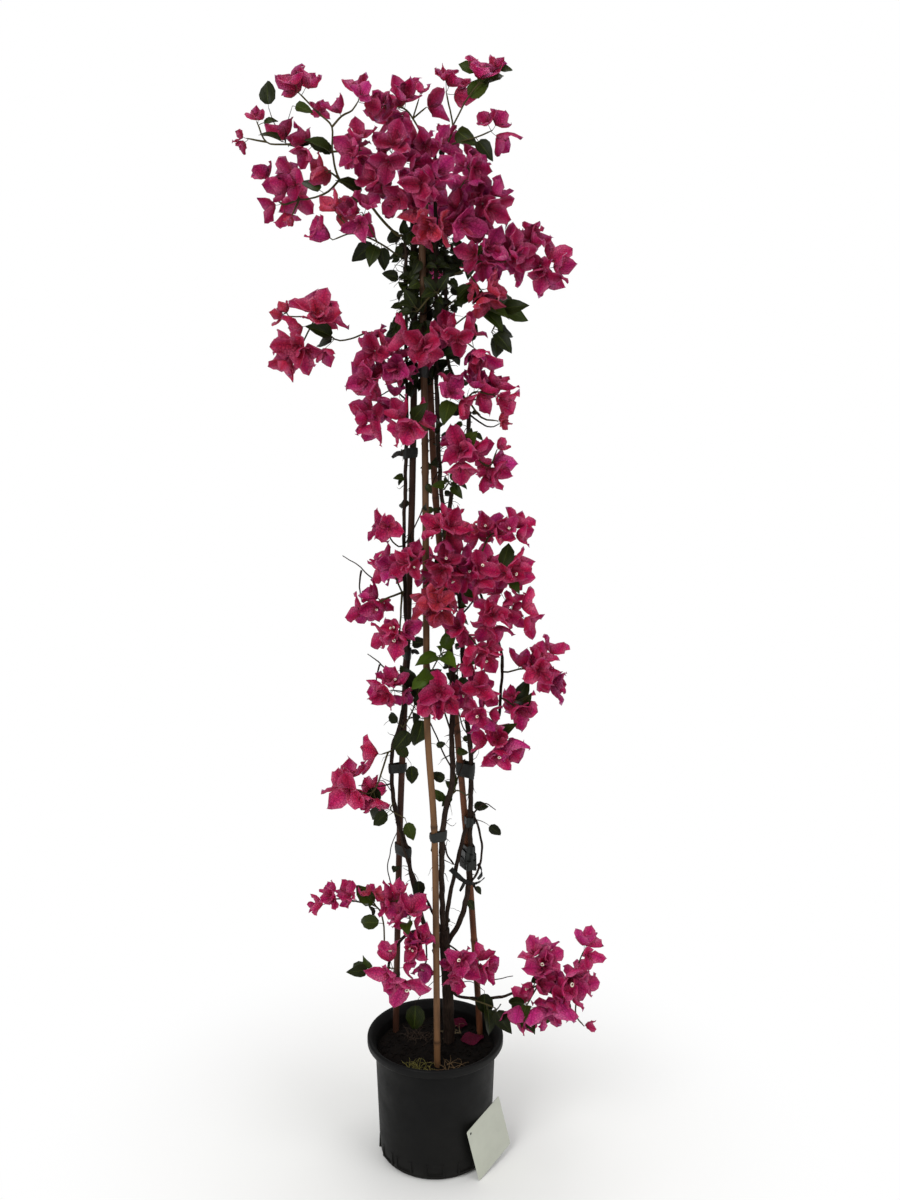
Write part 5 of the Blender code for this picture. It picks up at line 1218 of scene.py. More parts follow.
def flower_tube(name, tube, mouth):
    """A tubular flower: pink and downy outside; an open one shows a cream star with a dark red throat."""
    made, add, shader = new_finish(name, 0.6, 1.4, Specular_IOR_Level=0.2)
    blade = add("UVMap", uv_map="blade")
    wide, high, _ = add("SeparateXYZ", blade).outputs
    outside = add("ValToRGB", high)
    for stop, position, colour in zip(outside.color_ramp.elements, (0.80, 0.93), (tube, mouth)):
        stop.position = position
        stop.color = colour
    throat = add("Math", add("MapRange", wide, 0.50, 0.38), add("MapRange", high, 0.86, 0.90),
                 operation="MULTIPLY")
    body = add("Mix", throat, outside, linear("6d1a30"), data_type="RGBA")
    bump = add("Bump", Strength=0.2, Distance=0.2 * MM, Height=add("TexNoise", blade, Scale=40.0))
    fill(shader, Base_Color=body, Normal=bump)
    return made


def ovate_leaf(colour, bright, dark):
    """A soft ovate leaf: pale midrib and side veins, glossier above than below, blade raised between veins.

    The tint attribute holds how bright, how dark as painted shade, a draw of its own and, as alpha, which
    face it is."""
    made, add, shader = new_finish("ovate_leaf", 0.45, 1.42, Specular_IOR_Level=0.15)
    tint = add("Attribute", attribute_name="tint")
    upper = tint.outputs["Alpha"]
    young, overshaded, draw = add("SeparateColor", tint.outputs["Color"]).outputs
    blade = add("UVMap", uv_map="blade")
    sideways, along, _ = add("SeparateXYZ", blade).outputs
    off_middle = add("Math", add("Math", sideways, 0.5, operation="SUBTRACT"), operation="ABSOLUTE")
    lit = add("Mix", young, colour, bright, data_type="RGBA")
    # Painted shade: the leaf colour darkened towards the shade colour by the tint's second part.
    shaded = add("Mix", overshaded, lit, dark, data_type="RGBA")
    mottle = add("TexNoise", blade, Scale=4.0, Detail=6.0)
    mottled = add("MapRange", mottle, 0.45, 0.80, 0.0, 0.5)
    yellowed = add("Mix", mottled, shaded, linear("33310c"), data_type="RGBA")
    slant = add("Math", off_middle, -1.1, along, operation="MULTIPLY_ADD")
    waves = add("Math", add("Math", slant, 46.0, operation="MULTIPLY"), operation="SINE")
    side_veins = add("MapRange", waves, 0.90, 1.0, 0.0, 0.45)
    midrib = add("MapRange", off_middle, 0.035, 0.01, 0.0, 0.7)
    lines = add("Math", side_veins, midrib, operation="MAXIMUM")
    veined = add("Mix", lines, yellowed, linear("3c4718"), data_type="RGBA")
    under = add("Mix", upper, linear("232b12"), veined, data_type="RGBA")
    body = add("VectorMath", under, add("MapRange", draw, To_Min=0.5, To_Max=1.5), operation="SCALE")
    gloss = add("MapRange", upper, To_Min=0.7, To_Max=0.42)
    raised = add("Math", mottle, lines, operation="SUBTRACT")
    bump = add("Bump", Strength=0.5, Distance=0.8 * MM, Height=raised)
    fill(shader, Base_Color=body, Roughness=gloss, Normal=bump)
    return made


def dry_fibre(name, colour):
    """Dry grass or root: straw-like, matt, with darker stretches."""
    made, add, shader = new_finish(name, 0.8, 1.4)
    stains = add("TexNoise", add("TexCoord").outputs["Object"], Scale=240.0, Detail=3.0)
    fill(shader, Base_Color=add("Mix", stains, colour, toned(colour, 0.4), data_type="RGBA"))
    return made


class Heap:
    """Copies of modelled shapes on their way into one mesh, with their tints and places on the blade."""

    def __init__(self):
        self.points = []
        self.faces = []
        self.places = []
        self.tints = []
        self.stuff = []
        self.count = 0

    def put(self, points, faces, tint, places=None, stuff=0):
        """Adds a copy, in centimetres; a part of its tint is one value for all points, or one for each."""
        self.points.append(points)
        self.faces += [tuple(corner + self.count for corner in face) for face in faces]
        self.places.append(np.zeros((len(points), 2)) if places is None else places)
        rows = np.broadcast_arrays(np.zeros(len(points)), *tint)[1:]
        self.tints.append(np.column_stack(rows).astype(float))
        self.stuff += [stuff] * len(faces)
        self.count += len(points)

    def build(self, name, finishes, sharp=50):
        mesh = bpy.data.meshes.new(name)
        mesh.from_pydata((np.vstack(self.points) * CM).tolist(), [], self.faces)
        for finish in finishes:
            mesh.materials.append(finish)
        mesh.polygons.foreach_set("material_index", self.stuff)
        corners = np.empty(len(mesh.loops), dtype=np.int32)
        mesh.loops.foreach_get("vertex_index", corners)
        blade = mesh.uv_layers.new(name="blade")
        blade.uv.foreach_set("vector", np.vstack(self.places)[corners].ravel())
        tint = mesh.attributes.new("tint", "FLOAT_COLOR", "POINT")
        tint.data.foreach_set("color", np.vstack(self.tints).ravel())
        mesh.shade_smooth()
        mesh.set_sharp_from_angle(angle=math.radians(sharp))
        made = bpy.data.objects.new(name, mesh)
        bpy.context.scene.collection.objects.link(made)
        return made


def start_fresh():
    """Leaves edit mode and deselects everything, before a new piece is added."""
    if bpy.context.mode != "OBJECT":
        bpy.ops.object.mode_set(mode="OBJECT")
    bpy.ops.object.select_all(action="DESELECT")


def taken(thing):
    """Takes a modelled pattern out of the scene, as its points and faces."""
    start_fresh()
    points = np.array([tuple(v.co) for v in thing.data.vertices])
    faces = [tuple(p.vertices) for p in thing.data.polygons]
    bpy.data.objects.remove(thing)
    return points, faces


def apply_all(thing):
    """Applies a piece's modifiers, and its place, turn and size."""
    start_fresh()
    thing.select_set(True)
    bpy.context.view_layer.objects.active = thing
    for modifier in list(thing.modifiers):
        bpy.ops.object.modifier_apply(modifier=modifier.name)
    bpy.ops.object.transform_apply(location=True, rotation=True, scale=True)
    return thing


def settled(piece, slot, *nodes):
    """Puts a finished piece on the plant's body and hides the parts of the solid model that it stands for;
    the slot is not used.
    """
    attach(piece, BODY)
    if nodes:
        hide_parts(*nodes)
    return piece


def blade_pattern(across_count, along_count):
    """A thin flat blade: x across it from -1 to 1, y along it from 0 to 1, z through it from -0.5 to 0.5.

    Comes as its points, its faces and where each point lies on the blade."""
    start_fresh()
    bpy.ops.mesh.primitive_grid_add(x_subdivisions=across_count, y_subdivisions=along_count, size=2)
    blade = bpy.context.object
    bpy.ops.object.mode_set(mode="EDIT")
    bpy.ops.transform.translate(value=(0, 1, 0))
    bpy.ops.transform.resize(value=(1, 0.5, 1), center_override=(0, 0, 0))
    bpy.ops.object.mode_set(mode="OBJECT")
    for corner in blade.data.vertices:
        corner.co.y = 0.45 * corner.co.y + 0.55 * (0.5 - 0.5 * math.cos(math.pi * corner.co.y))
    wall = blade.modifiers.new("thickness", "SOLIDIFY")
    wall.thickness = 1
    wall.offset = 0
    apply_all(blade)
    points, faces = taken(blade)
    return points, faces, np.column_stack([points[:, 0] * 0.5 + 0.5, points[:, 1]])


def lathe_pattern(sides, rings):
    """A closed turned shape, a filled circle extruded ring by ring; a ring is its height and radius."""
    start_fresh()
    bpy.ops.mesh.primitive_circle_add(vertices=sides, radius=rings[0][1], fill_type="NGON",
                                      location=(0, 0, rings[0][0]))
    shape = bpy.context.object
    bpy.ops.object.mode_set(mode="EDIT")
    for (low, before), (high, after) in zip(rings, rings[1:]):
        bpy.ops.mesh.extrude_region_move(TRANSFORM_OT_translate={"value": (0, 0, high - low)})
        bpy.ops.transform.resize(value=(after / before, after / before, 1), center_override=(0, 0, high))
    bpy.ops.mesh.select_all(action="SELECT")
    bpy.ops.mesh.normals_make_consistent(inside=False)
    bpy.ops.object.mode_set(mode="OBJECT")
    return apply_all(shape)


def star_pattern():
    """An open flower: a slim tube that flares to a five-pointed star with a sunken throat."""
    flower = lathe_pattern(10, ((0, 0.05), (0.5, 0.085), (1.25, 0.10), (1.46, 0.13), (1.55, 0.32),
                                (1.58, 0.30), (1.56, 0.16), (1.42, 0.10)))
    for corner in flower.data.vertices:
        out = math.hypot(corner.co.x, corner.co.y)
        if out > 0.17 and round(math.atan2(corner.co.y, corner.co.x) / math.tau * 10) % 2:
            corner.co.x *= 0.74
            corner.co.y *= 0.74
    return taken(flower)


def closed(thing):
    """Merges the doubles of the selected piece, and turns its faces outwards."""
    bpy.ops.object.mode_set(mode="EDIT")
    bpy.ops.mesh.select_all(action="SELECT")
    bpy.ops.mesh.remove_doubles(threshold=MERGE)
    bpy.ops.mesh.normals_make_consistent(inside=False)
    bpy.ops.object.mode_set(mode="OBJECT")
    return thing


def meshed(line):
    """A curve's shape as a piece of its name."""
    shape = bpy.data.objects.new(line.name, line)
    bpy.context.scene.collection.objects.link(shape)
    start_fresh()
    shape.select_set(True)
    bpy.context.view_layer.objects.active = shape
    bpy.ops.object.convert(target="MESH")
    return bpy.context.object


def swept(name, strands, fineness, finish):
    """A round bar along each strand, all in one mesh; a strand is its points and radii in centimetres."""
    line = bpy.data.curves.new(name, "CURVE")
    line.dimensions = "3D"
    line.bevel_depth = CM
    line.bevel_resolution = fineness
    line.use_fill_caps = True
    for points, radii in strands:
        run = line.splines.new("POLY")
        run.points.add(len(points) - 1)
        run.points.foreach_set("co", [value for p in points for value in (*(p * CM), 1.0)])
        run.points.foreach_set("radius", radii)
    return dressed(smoothed(closed(meshed(line)), 60), finish)


def wavered(points, pace, reach):
    """Points each moved a little by smooth noise, the same in every run."""
    noise.seed_set(SEED)
    return [p + noise.noise_vector(p * pace) * reach for p in points]


def thin_strand(route, foot, tip, spacing, pace=1.0, reach=0.0):
    """A strand along a chosen route, from one radius to another, which wavers at its own pace."""
    points, sizes = finer([Vector(p) for p in route], blend_radii(len(route), foot, tip), spacing)
    return wavered(points, pace, reach), sizes


def ovate(along, foot, rise, fall):
    """Half-width of an ovate blade along its length, 1 at its widest: `rise` and `fall` set its two ends."""
    at = foot + (1 - foot) * along
    widest = rise / (rise + fall)
    peak = widest ** rise * (1 - widest) ** fall
    return np.maximum(at ** rise * (1 - at).clip(0) ** fall / peak, 0.02)


def laid_bract(pattern, bloom, lobe, rng):
    """A copy of the flat blade bent into one bract of a bloom: cupped, creased and ruffled at its edge."""
    across_it, along, through = pattern.T
    start = bloom["start"] + rng.uniform(-0.10, 0.10)
    turn = bloom["end"] + rng.uniform(-0.60, 0.15) - start
    length = bloom["length"] * rng.uniform(0.92, 1.08)
    slope = start + turn * along
    out = length * (np.cos(start) - np.cos(slope)) / turn + 0.08
    rise = length * (np.sin(slope) - np.sin(start)) / turn
    half = BRACT_BREADTH * bloom["half"] * rng.uniform(0.90, 1.08)
    half = half * ovate(along, 0.04, 0.42, rng.uniform(0.46, 0.74))
    bend = 0.55 + 0.80 * np.maximum(out, 0)
    angle = across_it * half / bend
    size = bloom["length"]
    wave = rng.uniform(0.06, 0.13) * size
    phase, second = rng.uniform(0, math.tau), rng.uniform(0, math.tau)
    edge = np.abs(across_it) ** 1.3
    ripple = wave * edge * np.sin(along * rng.uniform(7, 11) + phase + across_it * 1.3) * (0.3 + along)
    ripple += 0.5 * wave * np.sin(along * 4 + second) * np.cos(across_it * 2.2 + phase)
    ripple += rng.uniform(-0.05, 0.30) * half * np.abs(across_it)
    sway = rng.uniform(-0.35, 0.35) * along ** 2 * bloom["half"]
    ruffle = 1 + 0.09 * np.sin(along * 13 + phase) * edge
    side, over = (np.array(v) for v in across(bloom["axis"]))
    way = bloom["roll"] + lobe * math.tau / 3
    radial = turned(side, over, way)
    sideways = over * math.cos(way) - side * math.sin(way)
    axis = np.array(bloom["axis"])
    inwards = axis[None] * np.sin(slope)[:, None] - radial[None] * np.cos(slope)[:, None]
    sag = bend * (1 - np.cos(angle)) + ripple + through * PAPER_THICKNESS
    return (np.array(bloom["base"]) + radial * out[:, None] + axis * rise[:, None]
            + sideways * (bend * np.sin(angle) * ruffle + sway)[:, None] + inwards * sag[:, None])


def laid_leaf(pattern, leaf, rng):
    """A copy of the flat blade bent into a leaf: folded at its midrib, arched back, waved at its margin."""
    across_it, along, through = pattern.T
    bend = leaf["droop"] * along
    run = leaf["length"] * np.sin(bend) / leaf["droop"]
    drop = leaf["length"] * (1 - np.cos(bend)) / leaf["droop"]
    face, axis, side = (np.array(leaf[key]) for key in ("face", "axis", "side"))
    normal = face[None] * np.cos(bend)[:, None] + axis[None] * np.sin(bend)[:, None]
    half = leaf["half"] * ovate(along, 0.02, 0.50, 1.05)
    wave = 0.10 * leaf["half"] * across_it ** 2 * np.sin(along * 11 + rng.uniform(0, 6) + across_it * 2)
    fold = LEAF_FOLD + rng.uniform(0.0, 0.35)
    lift = fold * np.abs(across_it) * half + wave + through * LEAF_BLADE_THICKNESS
    lift += rng.uniform(-0.8, 0.8) * along * across_it * half
    sway = rng.uniform(-0.25, 0.25) * along ** 2 * leaf["half"]
    return (np.array(leaf["base"]) + axis * run[:, None] - face * drop[:, None]
            + side * (half * across_it + sway)[:, None] + normal * lift[:, None])


def put_leaf(heap, blade, leaf, bright, dark, rng):
    """Adds a leaf to a heap; its tint says how bright, how dark as painted shade, a draw and which face is
    the upper one.
    """
    pattern, faces, places = blade
    tint = (bright, dark, rng.random(), pattern[:, 2] > 0)
    heap.put(laid_leaf(pattern, leaf, rng), faces, tint, places)


def laid_tube(pattern, foot, way, length, spin):
    """A copy of an upright pattern stood at a foot, pointing a way, with its own length and turn."""
    side, over = (np.array(v) for v in across(way))
    turned_side = turned(side, over, spin)
    turned_over = np.cross(np.array(way), turned_side)
    x, y, z = pattern.T
    return (np.array(foot) + turned_side * x[:, None] + turned_over * y[:, None]
            + np.array(way) * (z * length)[:, None])


@lru_cache(maxsize=None)
def plan():
    """Every route and place of the plant, in centimetres, drawn once."""
    space = Space()
    out, high, thick = LIP_GUARD
    rim = [level_way(math.tau * i / 72) * out + Vector((0, 0, high)) for i in range(73)]
    space.add("pot", beads(rim, [thick] * len(rim)))
    canes, stems = lay_stems(space)
    ties = hold_ties(canes, stems, space)
    twigs = lay_twigs(stems, space)
    thorns = grow_thorns(stems, space)
    return canes, stems, ties, thorns, twigs, grow(twigs, space), space


def roomiest(make, balls, space, enough=9.0):
    """Of a few tries, the one with the most room round it, as (room, thing); enough room ends the tries."""
    best = None
    for attempt in range(FILL_TRIES):
        thing = make(attempt)
        room = space.room(balls(thing))
        if best is None or room > best[0]:
            best = (room, thing)
        if room > enough:
            break
    return best


def fill_out(name, places, space, bloom_share, leaf_share):
    """Smaller blooms and leaves between those of a spray's solid, as (blooms, leaves)."""
    rng = random.Random(f"{SEED} more {name}")
    blooms, leaves = [], []
    for point, back, bloom_count, leaf_count, words in places:
        aim = aim_of(point, words)
        small = "small" in words
        big = 1.1 if "big" in words else 0.72 if small else 0.95
        nearer = min(1.5, max(0.35, 1.6 - 0.055 * math.hypot(point.x, point.y)))
        nearer *= FULLER.get(name, 1.0) * (0.6 if small else 1.0)
        more = int(bloom_count * bloom_share * nearer + rng.random())

        for index in range(more):
            def make_bloom(attempt):
                way = spread_about(aim, index, more, rng.uniform(0, math.tau), 0.5 + 0.05 * attempt, rng)
                foot = point + back * rng.uniform(0, bloom_count + 1.5)
                return place_bloom(foot, way, rng.uniform(0.5, 1.9), big * rng.uniform(0.66, 1.0),
                                   rng.uniform(0.10, 1.05), rng.uniform(0, math.tau)) | {"words": words}

            room, bloom = roomiest(make_bloom, bloom_balls, space, -0.25)
            if room > FILL_CLEARANCE:
                blooms.append(bloom)
                space.add(name + " more", bloom_balls(bloom))

        for index in range(int(leaf_count * leaf_share + rng.random() * min(1, leaf_count) * 0.8)):
            def make_leaf(attempt):
                way = spread_about(aim, index, leaf_count + 1, rng.uniform(0, math.tau), 0.5, rng)
                face = Vector((0.4 * aim.x + rng.uniform(-0.5, 0.5), -1.0, rng.uniform(0.1, 0.9)))
                foot = point + back * rng.uniform(0, bloom_count + leaf_count + 1.5)
                scale = (0.55 if small else 0.8) * rng.uniform(0.7, 1.1)
                return place_leaf(foot, way, rng.uniform(0.5, 1.1), scale, rng.uniform(0.35, 0.95),
                                  face) | {"words": words}

            room, leaf = roomiest(make_leaf, leaf_balls, space)
            if room > FILL_CLEARANCE - 0.3:
                leaves.append(leaf)
                space.add(name + " more", leaf_balls(leaf))
    return blooms, leaves


def joined(pieces, name):
    """Joins pieces into the first of them, under one name."""
    start_fresh()
    for piece in pieces:
        piece.select_set(True)
    bpy.context.view_layer.objects.active = pieces[0]
    bpy.ops.object.join()
    pieces[0].name = name
    pieces[0].data.name = name
    return pieces[0]


def smoothed(thing, angle=45):
    thing.data.shade_smooth()
    thing.data.set_sharp_from_angle(angle=math.radians(angle))
    return thing


def dressed(thing, finish):
    thing.data.materials.clear()
    thing.data.materials.append(finish)
    return thing


def cut_away(target, cutter):
    """Takes one closed shape away from another, and removes it."""
    hole = target.modifiers.new("hole", "BOOLEAN")
    hole.operation = "DIFFERENCE"
    hole.object = cutter
    hole.solver = "EXACT"
    apply_all(target)
    bpy.data.objects.remove(cutter)


def wall_at(height, inner=False):
    """The pot wall's radius at a height, outside or inside, in metres."""
    top = POT_HEIGHT - LIP_DEPTH
    return POT_FOOT + (POT_WAIST - POT_FOOT) * min(height, top) / top - (POT_WALL if inner else 0)


def soil_rise(x, y):
    """How far the soil's top stands above its level at a place: a low dome, mounds and clods."""
    share = math.hypot(x, y) / (10.4 * CM)
    rough = noise.noise(Vector((x, y, 0.3)) * 60) * 0.42 + noise.noise(Vector((x, y, 0.7)) * 190) * 0.26
    return SOIL_DOME * (1 - share ** 2) + rough * CM * (1 - 0.6 * share ** 4)


def colour_of(name, what, code):
    """A colour in the panel: its name, what it colours, and its default as an sRGB hex colour."""
    return FloatVectorProperty(name=name, description="Colour of " + what, size=4, min=0, max=1,
                               subtype="COLOR", default=linear(code))


class PotSettings(bpy.types.PropertyGroup):
    pot_colour: colour_of("Pot", "the moulded pot", "070707")
    card_colour: colour_of("Card", "the coated card", "b9bcae")
    sides: IntProperty(name="Pot Sides", description="Faces round the pot", default=96, min=24, max=256)
    lip_round: FloatProperty(name="Lip Rounding", description="Radius of the rolled lip",
                             default=3.5 * MM, min=1 * MM, max=5 * MM, unit="LENGTH")
    crumbs: IntProperty(name="Crumbs", description="Loose crumbs and bits on the soil", default=620, min=0,
                        max=1500)


class StandSettings(bpy.types.PropertyGroup):
    cane_colour: colour_of("Canes", "the bamboo at the back", "3e2418")
    front_colour: colour_of("Front Cane", "the cane in front", "62452c")
    tape_colour: colour_of("Tape", "the tie tape", "0e110e")
    swell: FloatProperty(name="Ring Swell", description="How far a cane's rings stand out",
                         default=0.9 * MM, min=0, max=3 * MM, unit="LENGTH")
    wraps: IntProperty(name="Wraps", description="Turns of tape in a tie", default=3, min=1, max=6)


class PlantSettings(bpy.types.PropertyGroup):
    bract_colour: colour_of("Bracts", "a full-grown bract", "b8123b")
    young_colour: colour_of("Young Bracts", "a young bract", "b83038")
    leaf_colour: colour_of("Leaves", "a full-grown leaf", "1b2109")
    bright_colour: colour_of("Young Leaves", "a young leaf", "48600f")
    # Painted shade on leaves: the colour that leaves in the crown's core and under the crown are darkened
    # towards.
    dark_colour: colour_of("Old Leaves", "an old leaf", "0d1205")
    bark_colour: colour_of("Bark", "the cracks in the bark", "140c09")
    flower_colour: colour_of("Flowers", "an open flower", "e6dfcb")
    bloom_fill: FloatProperty(name="Extra Blooms", description="Added for each bloom of a solid",
                              default=1.25, min=0, max=3)
    leaf_fill: FloatProperty(name="Extra Leaves", description="Added for each leaf of a solid", default=0.3,
                             min=0, max=3)
    open_share: FloatProperty(name="Open Flowers", description="Share of the flowers that are open",
                              default=0.06, min=0, max=1, subtype="FACTOR")
    bark_depth: FloatProperty(name="Bark Depth", description="Height of the stems' ridges",
                              default=0.5 * MM, min=0, max=2 * MM, unit="LENGTH")


class StageSettings(bpy.types.PropertyGroup):
    floor_colour: colour_of("Floor", "the floor", "f2f2f0")
    lens: FloatProperty(name="Lens", description="Focal length in millimetres", default=37.29, min=10,
                        max=200)
    key_power: FloatProperty(name="Key Light", description="Power of the main light in watts", default=78,
                             min=0, max=2000)
    sky: FloatProperty(name="Sky", description="Strength of the light from all round", default=0.44, min=0,
                       max=5)


class CLIMBER_OT_pot(bpy.types.Operator):
    """Turns the nursery pot, with its rolled lip, rounded foot and low drainage slots"""
    bl_idname = "climber.pot"
    bl_label = "Nursery Pot"

    def execute(self, context):
        look = context.scene.pot_settings
        top = POT_HEIGHT - LIP_DEPTH
        roll = look.lip_round
        profile = [(high * MM, POT_FOOT - inset * MM) for high, inset in (
            (2.5, 16), (2.2, 12), (0, 10.5), (0, 7.5), (0.8, 5.6), (2.6, 3.9), (5.6, 2.4), (10, 1.2))]
        profile += [(h * CM, wall_at(h * CM)) for h in (2.0, 3.3, 5.0, 9.0, 13.0, 17.0, 20.2)]
        profile += [(top - 1.2 * MM, wall_at(top)), (top, wall_at(top) + 0.8 * MM)]
        profile += [(top + high * MM, POT_RIM - inset * MM)
                    for high, inset in ((0, 2), (0.5, 0.8), (1.8, 0.1))]
        for step in range(7):
            turn = math.radians(90 * step / 6)
            profile.append((POT_HEIGHT - roll * (1 - math.sin(turn)), POT_RIM - roll * (1 - math.cos(turn))))
        profile += [(POT_HEIGHT - 0.6 * MM, POT_RIM - roll - 2.5 * MM),
                    (POT_HEIGHT - 3 * MM, POT_RIM - roll - 4.6 * MM),
                    (top + 2 * MM, wall_at(top, True) + 1 * MM), (top - 2 * MM, wall_at(top, True)),
                    (14 * CM, wall_at(14 * CM, True)), (6 * CM, wall_at(6 * CM, True)),
                    (POT_FLOOR + 2 * MM, wall_at(CM, True)), (POT_FLOOR, wall_at(CM, True) - 2 * MM)]
        pot = lathe_pattern(look.sides, profile)
        for k in range(SLOT_COUNT):
            angle = math.tau * k / SLOT_COUNT - math.pi / 2
            cut_away(pot, self.slot(angle, SLOT_SIZE, 1.2 * CM, 12 * MM))
        frames = []
        size = [side + 5 * MM for side in SLOT_SIZE]
        for k in range(SLOT_COUNT * 3):
            angle = math.tau * (k // 3) / SLOT_COUNT - math.pi / 2
            angle += math.radians(BLIND_SLOT_TURN * (k % 3 - 1))
            border = self.slot(angle, size, SLOT_PROUD * (1.0 if k % 3 == 1 else 0.5), 5 * MM)
            cut_away(border, self.slot(angle, SLOT_SIZE, 6 * MM, 8 * MM))
            frames.append(border)
        pot = joined([pot, *frames], "pot_shell")
        dressed(smoothed(pot, 40), moulded_polypropylene(look.pot_colour))
        settled(pot, "pot_plastic", "pot")
        return {"FINISHED"}

    def slot(self, angle, size, proud, depth):
        """A rounded block through the wall at an angle, its face standing proud of the wall."""
        start_fresh()
        bpy.ops.mesh.primitive_cube_add(size=1)
        block = bpy.context.object
        radius = wall_at(SLOT_MIDDLE) + proud - depth / 2
        block.scale = (depth, *size)
        block.rotation_euler = (0, -math.atan2(POT_WAIST - POT_FOOT, POT_HEIGHT), 0)
        apply_all(block)
        edge = block.modifiers.new("corners", "BEVEL")
        edge.width = 2.5 * MM if proud > 5 * MM else 0.6 * MM
        edge.segments = 2
        block.location = (radius * math.cos(angle), radius * math.sin(angle), SLOT_MIDDLE)
        block.rotation_euler = (0, 0, angle)
        return apply_all(block)


class CLIMBER_OT_soil(bpy.types.Operator):
    """Fills the pot with soil: clods, crumbs and holes where the canes and the trunk stand"""
    bl_idname = "climber.soil"
    bl_label = "Potting Soil"

    def execute(self, context):
        look = context.scene.pot_settings
        edge = wall_at(SOIL_LEVEL, True) - 0.4 * MM
        profile = [(POT_FLOOR + MM, 8.5 * CM), (POT_FLOOR + 4 * MM, wall_at(CM, True) - MM),
                   (SOIL_LEVEL - 4 * MM, edge - 0.2 * MM)]
        profile += [(SOIL_LEVEL, edge * share) for share in
                    (1.0, 0.97, 0.93, 0.88, 0.83, 0.77, 0.71, 0.65, 0.58, 0.51, 0.44, 0.37, 0.30, 0.23, 0.16,
                     0.10, 0.05)]
        soil = lathe_pattern(96, profile)
        for corner in soil.data.vertices:
            if corner.co.z > SOIL_LEVEL - MM:
                corner.co.z += soil_rise(corner.co.x, corner.co.y)
        canes, stems = plan()[:2]
        for route, radii in (*canes.values(), stems["trunk"]):
            way = (route[1] - route[0]).normalized()
            start_fresh()
            bpy.ops.mesh.primitive_cylinder_add(vertices=16, radius=(radii[0] + 0.06) * CM, depth=16 * CM)
            hole = bpy.context.object
            hole.location = (route[0] + way * 7.9) * CM
            hole.rotation_mode = "QUATERNION"
            hole.rotation_quaternion = Vector((0, 0, 1)).rotation_difference(way)
            apply_all(hole)
            cut_away(soil, hole)
        soil.name = soil.data.name = "soil_bed"
        dressed(smoothed(soil, 60), potting_soil())
        settled(soil, "soil", "soil")
        self.scatter(look.crumbs, soil.data.materials[0])
        return {"FINISHED"}

    def scatter(self, count, finish):
        """Crumbs: one small lump, copied over the soil with its own turn, size and squash each time."""
        start_fresh()
        bpy.ops.mesh.primitive_ico_sphere_add(subdivisions=1, radius=1)
        lump, faces = taken(bpy.context.object)
        rng = random.Random(SEED + 1)
        heap = Heap()
        for _ in range(count):
            out = 10.0 * math.sqrt(rng.random())
            turn = rng.uniform(0, math.tau)
            x, y = out * math.cos(turn), out * math.sin(turn)
            size = np.array([rng.uniform(0.06, 0.42), rng.uniform(0.06, 0.28), rng.uniform(0.05, 0.20)])
            spin = rng.uniform(0, math.tau)
            wide, deep, high = (lump * size * np.array([[rng.uniform(0.7, 1.3)] for _ in lump])).T
            level = SOIL_LEVEL / CM + soil_rise(x * CM, y * CM) / CM + size[2] * 0.4
            bits = np.column_stack([wide * math.cos(spin) - deep * math.sin(spin) + x,
                                    wide * math.sin(spin) + deep * math.cos(spin) + y, high + level])
            heap.put(bits, faces, (0, 0, rng.random(), 1))
        settled(heap.build("soil_crumbs", [finish]), "soil")


class CLIMBER_OT_canes(bpy.types.Operator):
    """Stands the three bamboo canes in the pot, with their swollen rings"""
    bl_idname = "climber.canes"
    bl_label = "Bamboo Canes"

    def execute(self, context):
        look = context.scene.stand_settings
        swell = look.swell / CM
        finishes = (bamboo("bamboo_pale", look.front_colour), bamboo("bamboo_weathered", look.cane_colour),
                    bamboo("bamboo_reddish", linear("643c26")))
        for index, (name, (route, radii)) in enumerate(plan()[0].items()):
            marks = [height + 7 * index - 5 for height in CANE_RINGS]
            points, sizes = finer(route, radii, 0.55)
            sizes = [r * (0.94 - 0.03 * (p.z / 100))
                     + swell * sum(math.exp(-((p.z - m) / 0.35) ** 2) for m in marks)
                     for p, r in zip(points, sizes)]
            cane = swept(name + "_culm", [(points, sizes)], 5, finishes[index])
            ring = cane.data.attributes.new("ring", "FLOAT", "POINT")
            for corner, value in zip(cane.data.vertices, ring.data):
                value.value = max(math.exp(-((corner.co.z / CM - m - 0.25) / 0.30) ** 2) for m in marks)
            settled(cane, "bamboo", name)
        return {"FINISHED"}


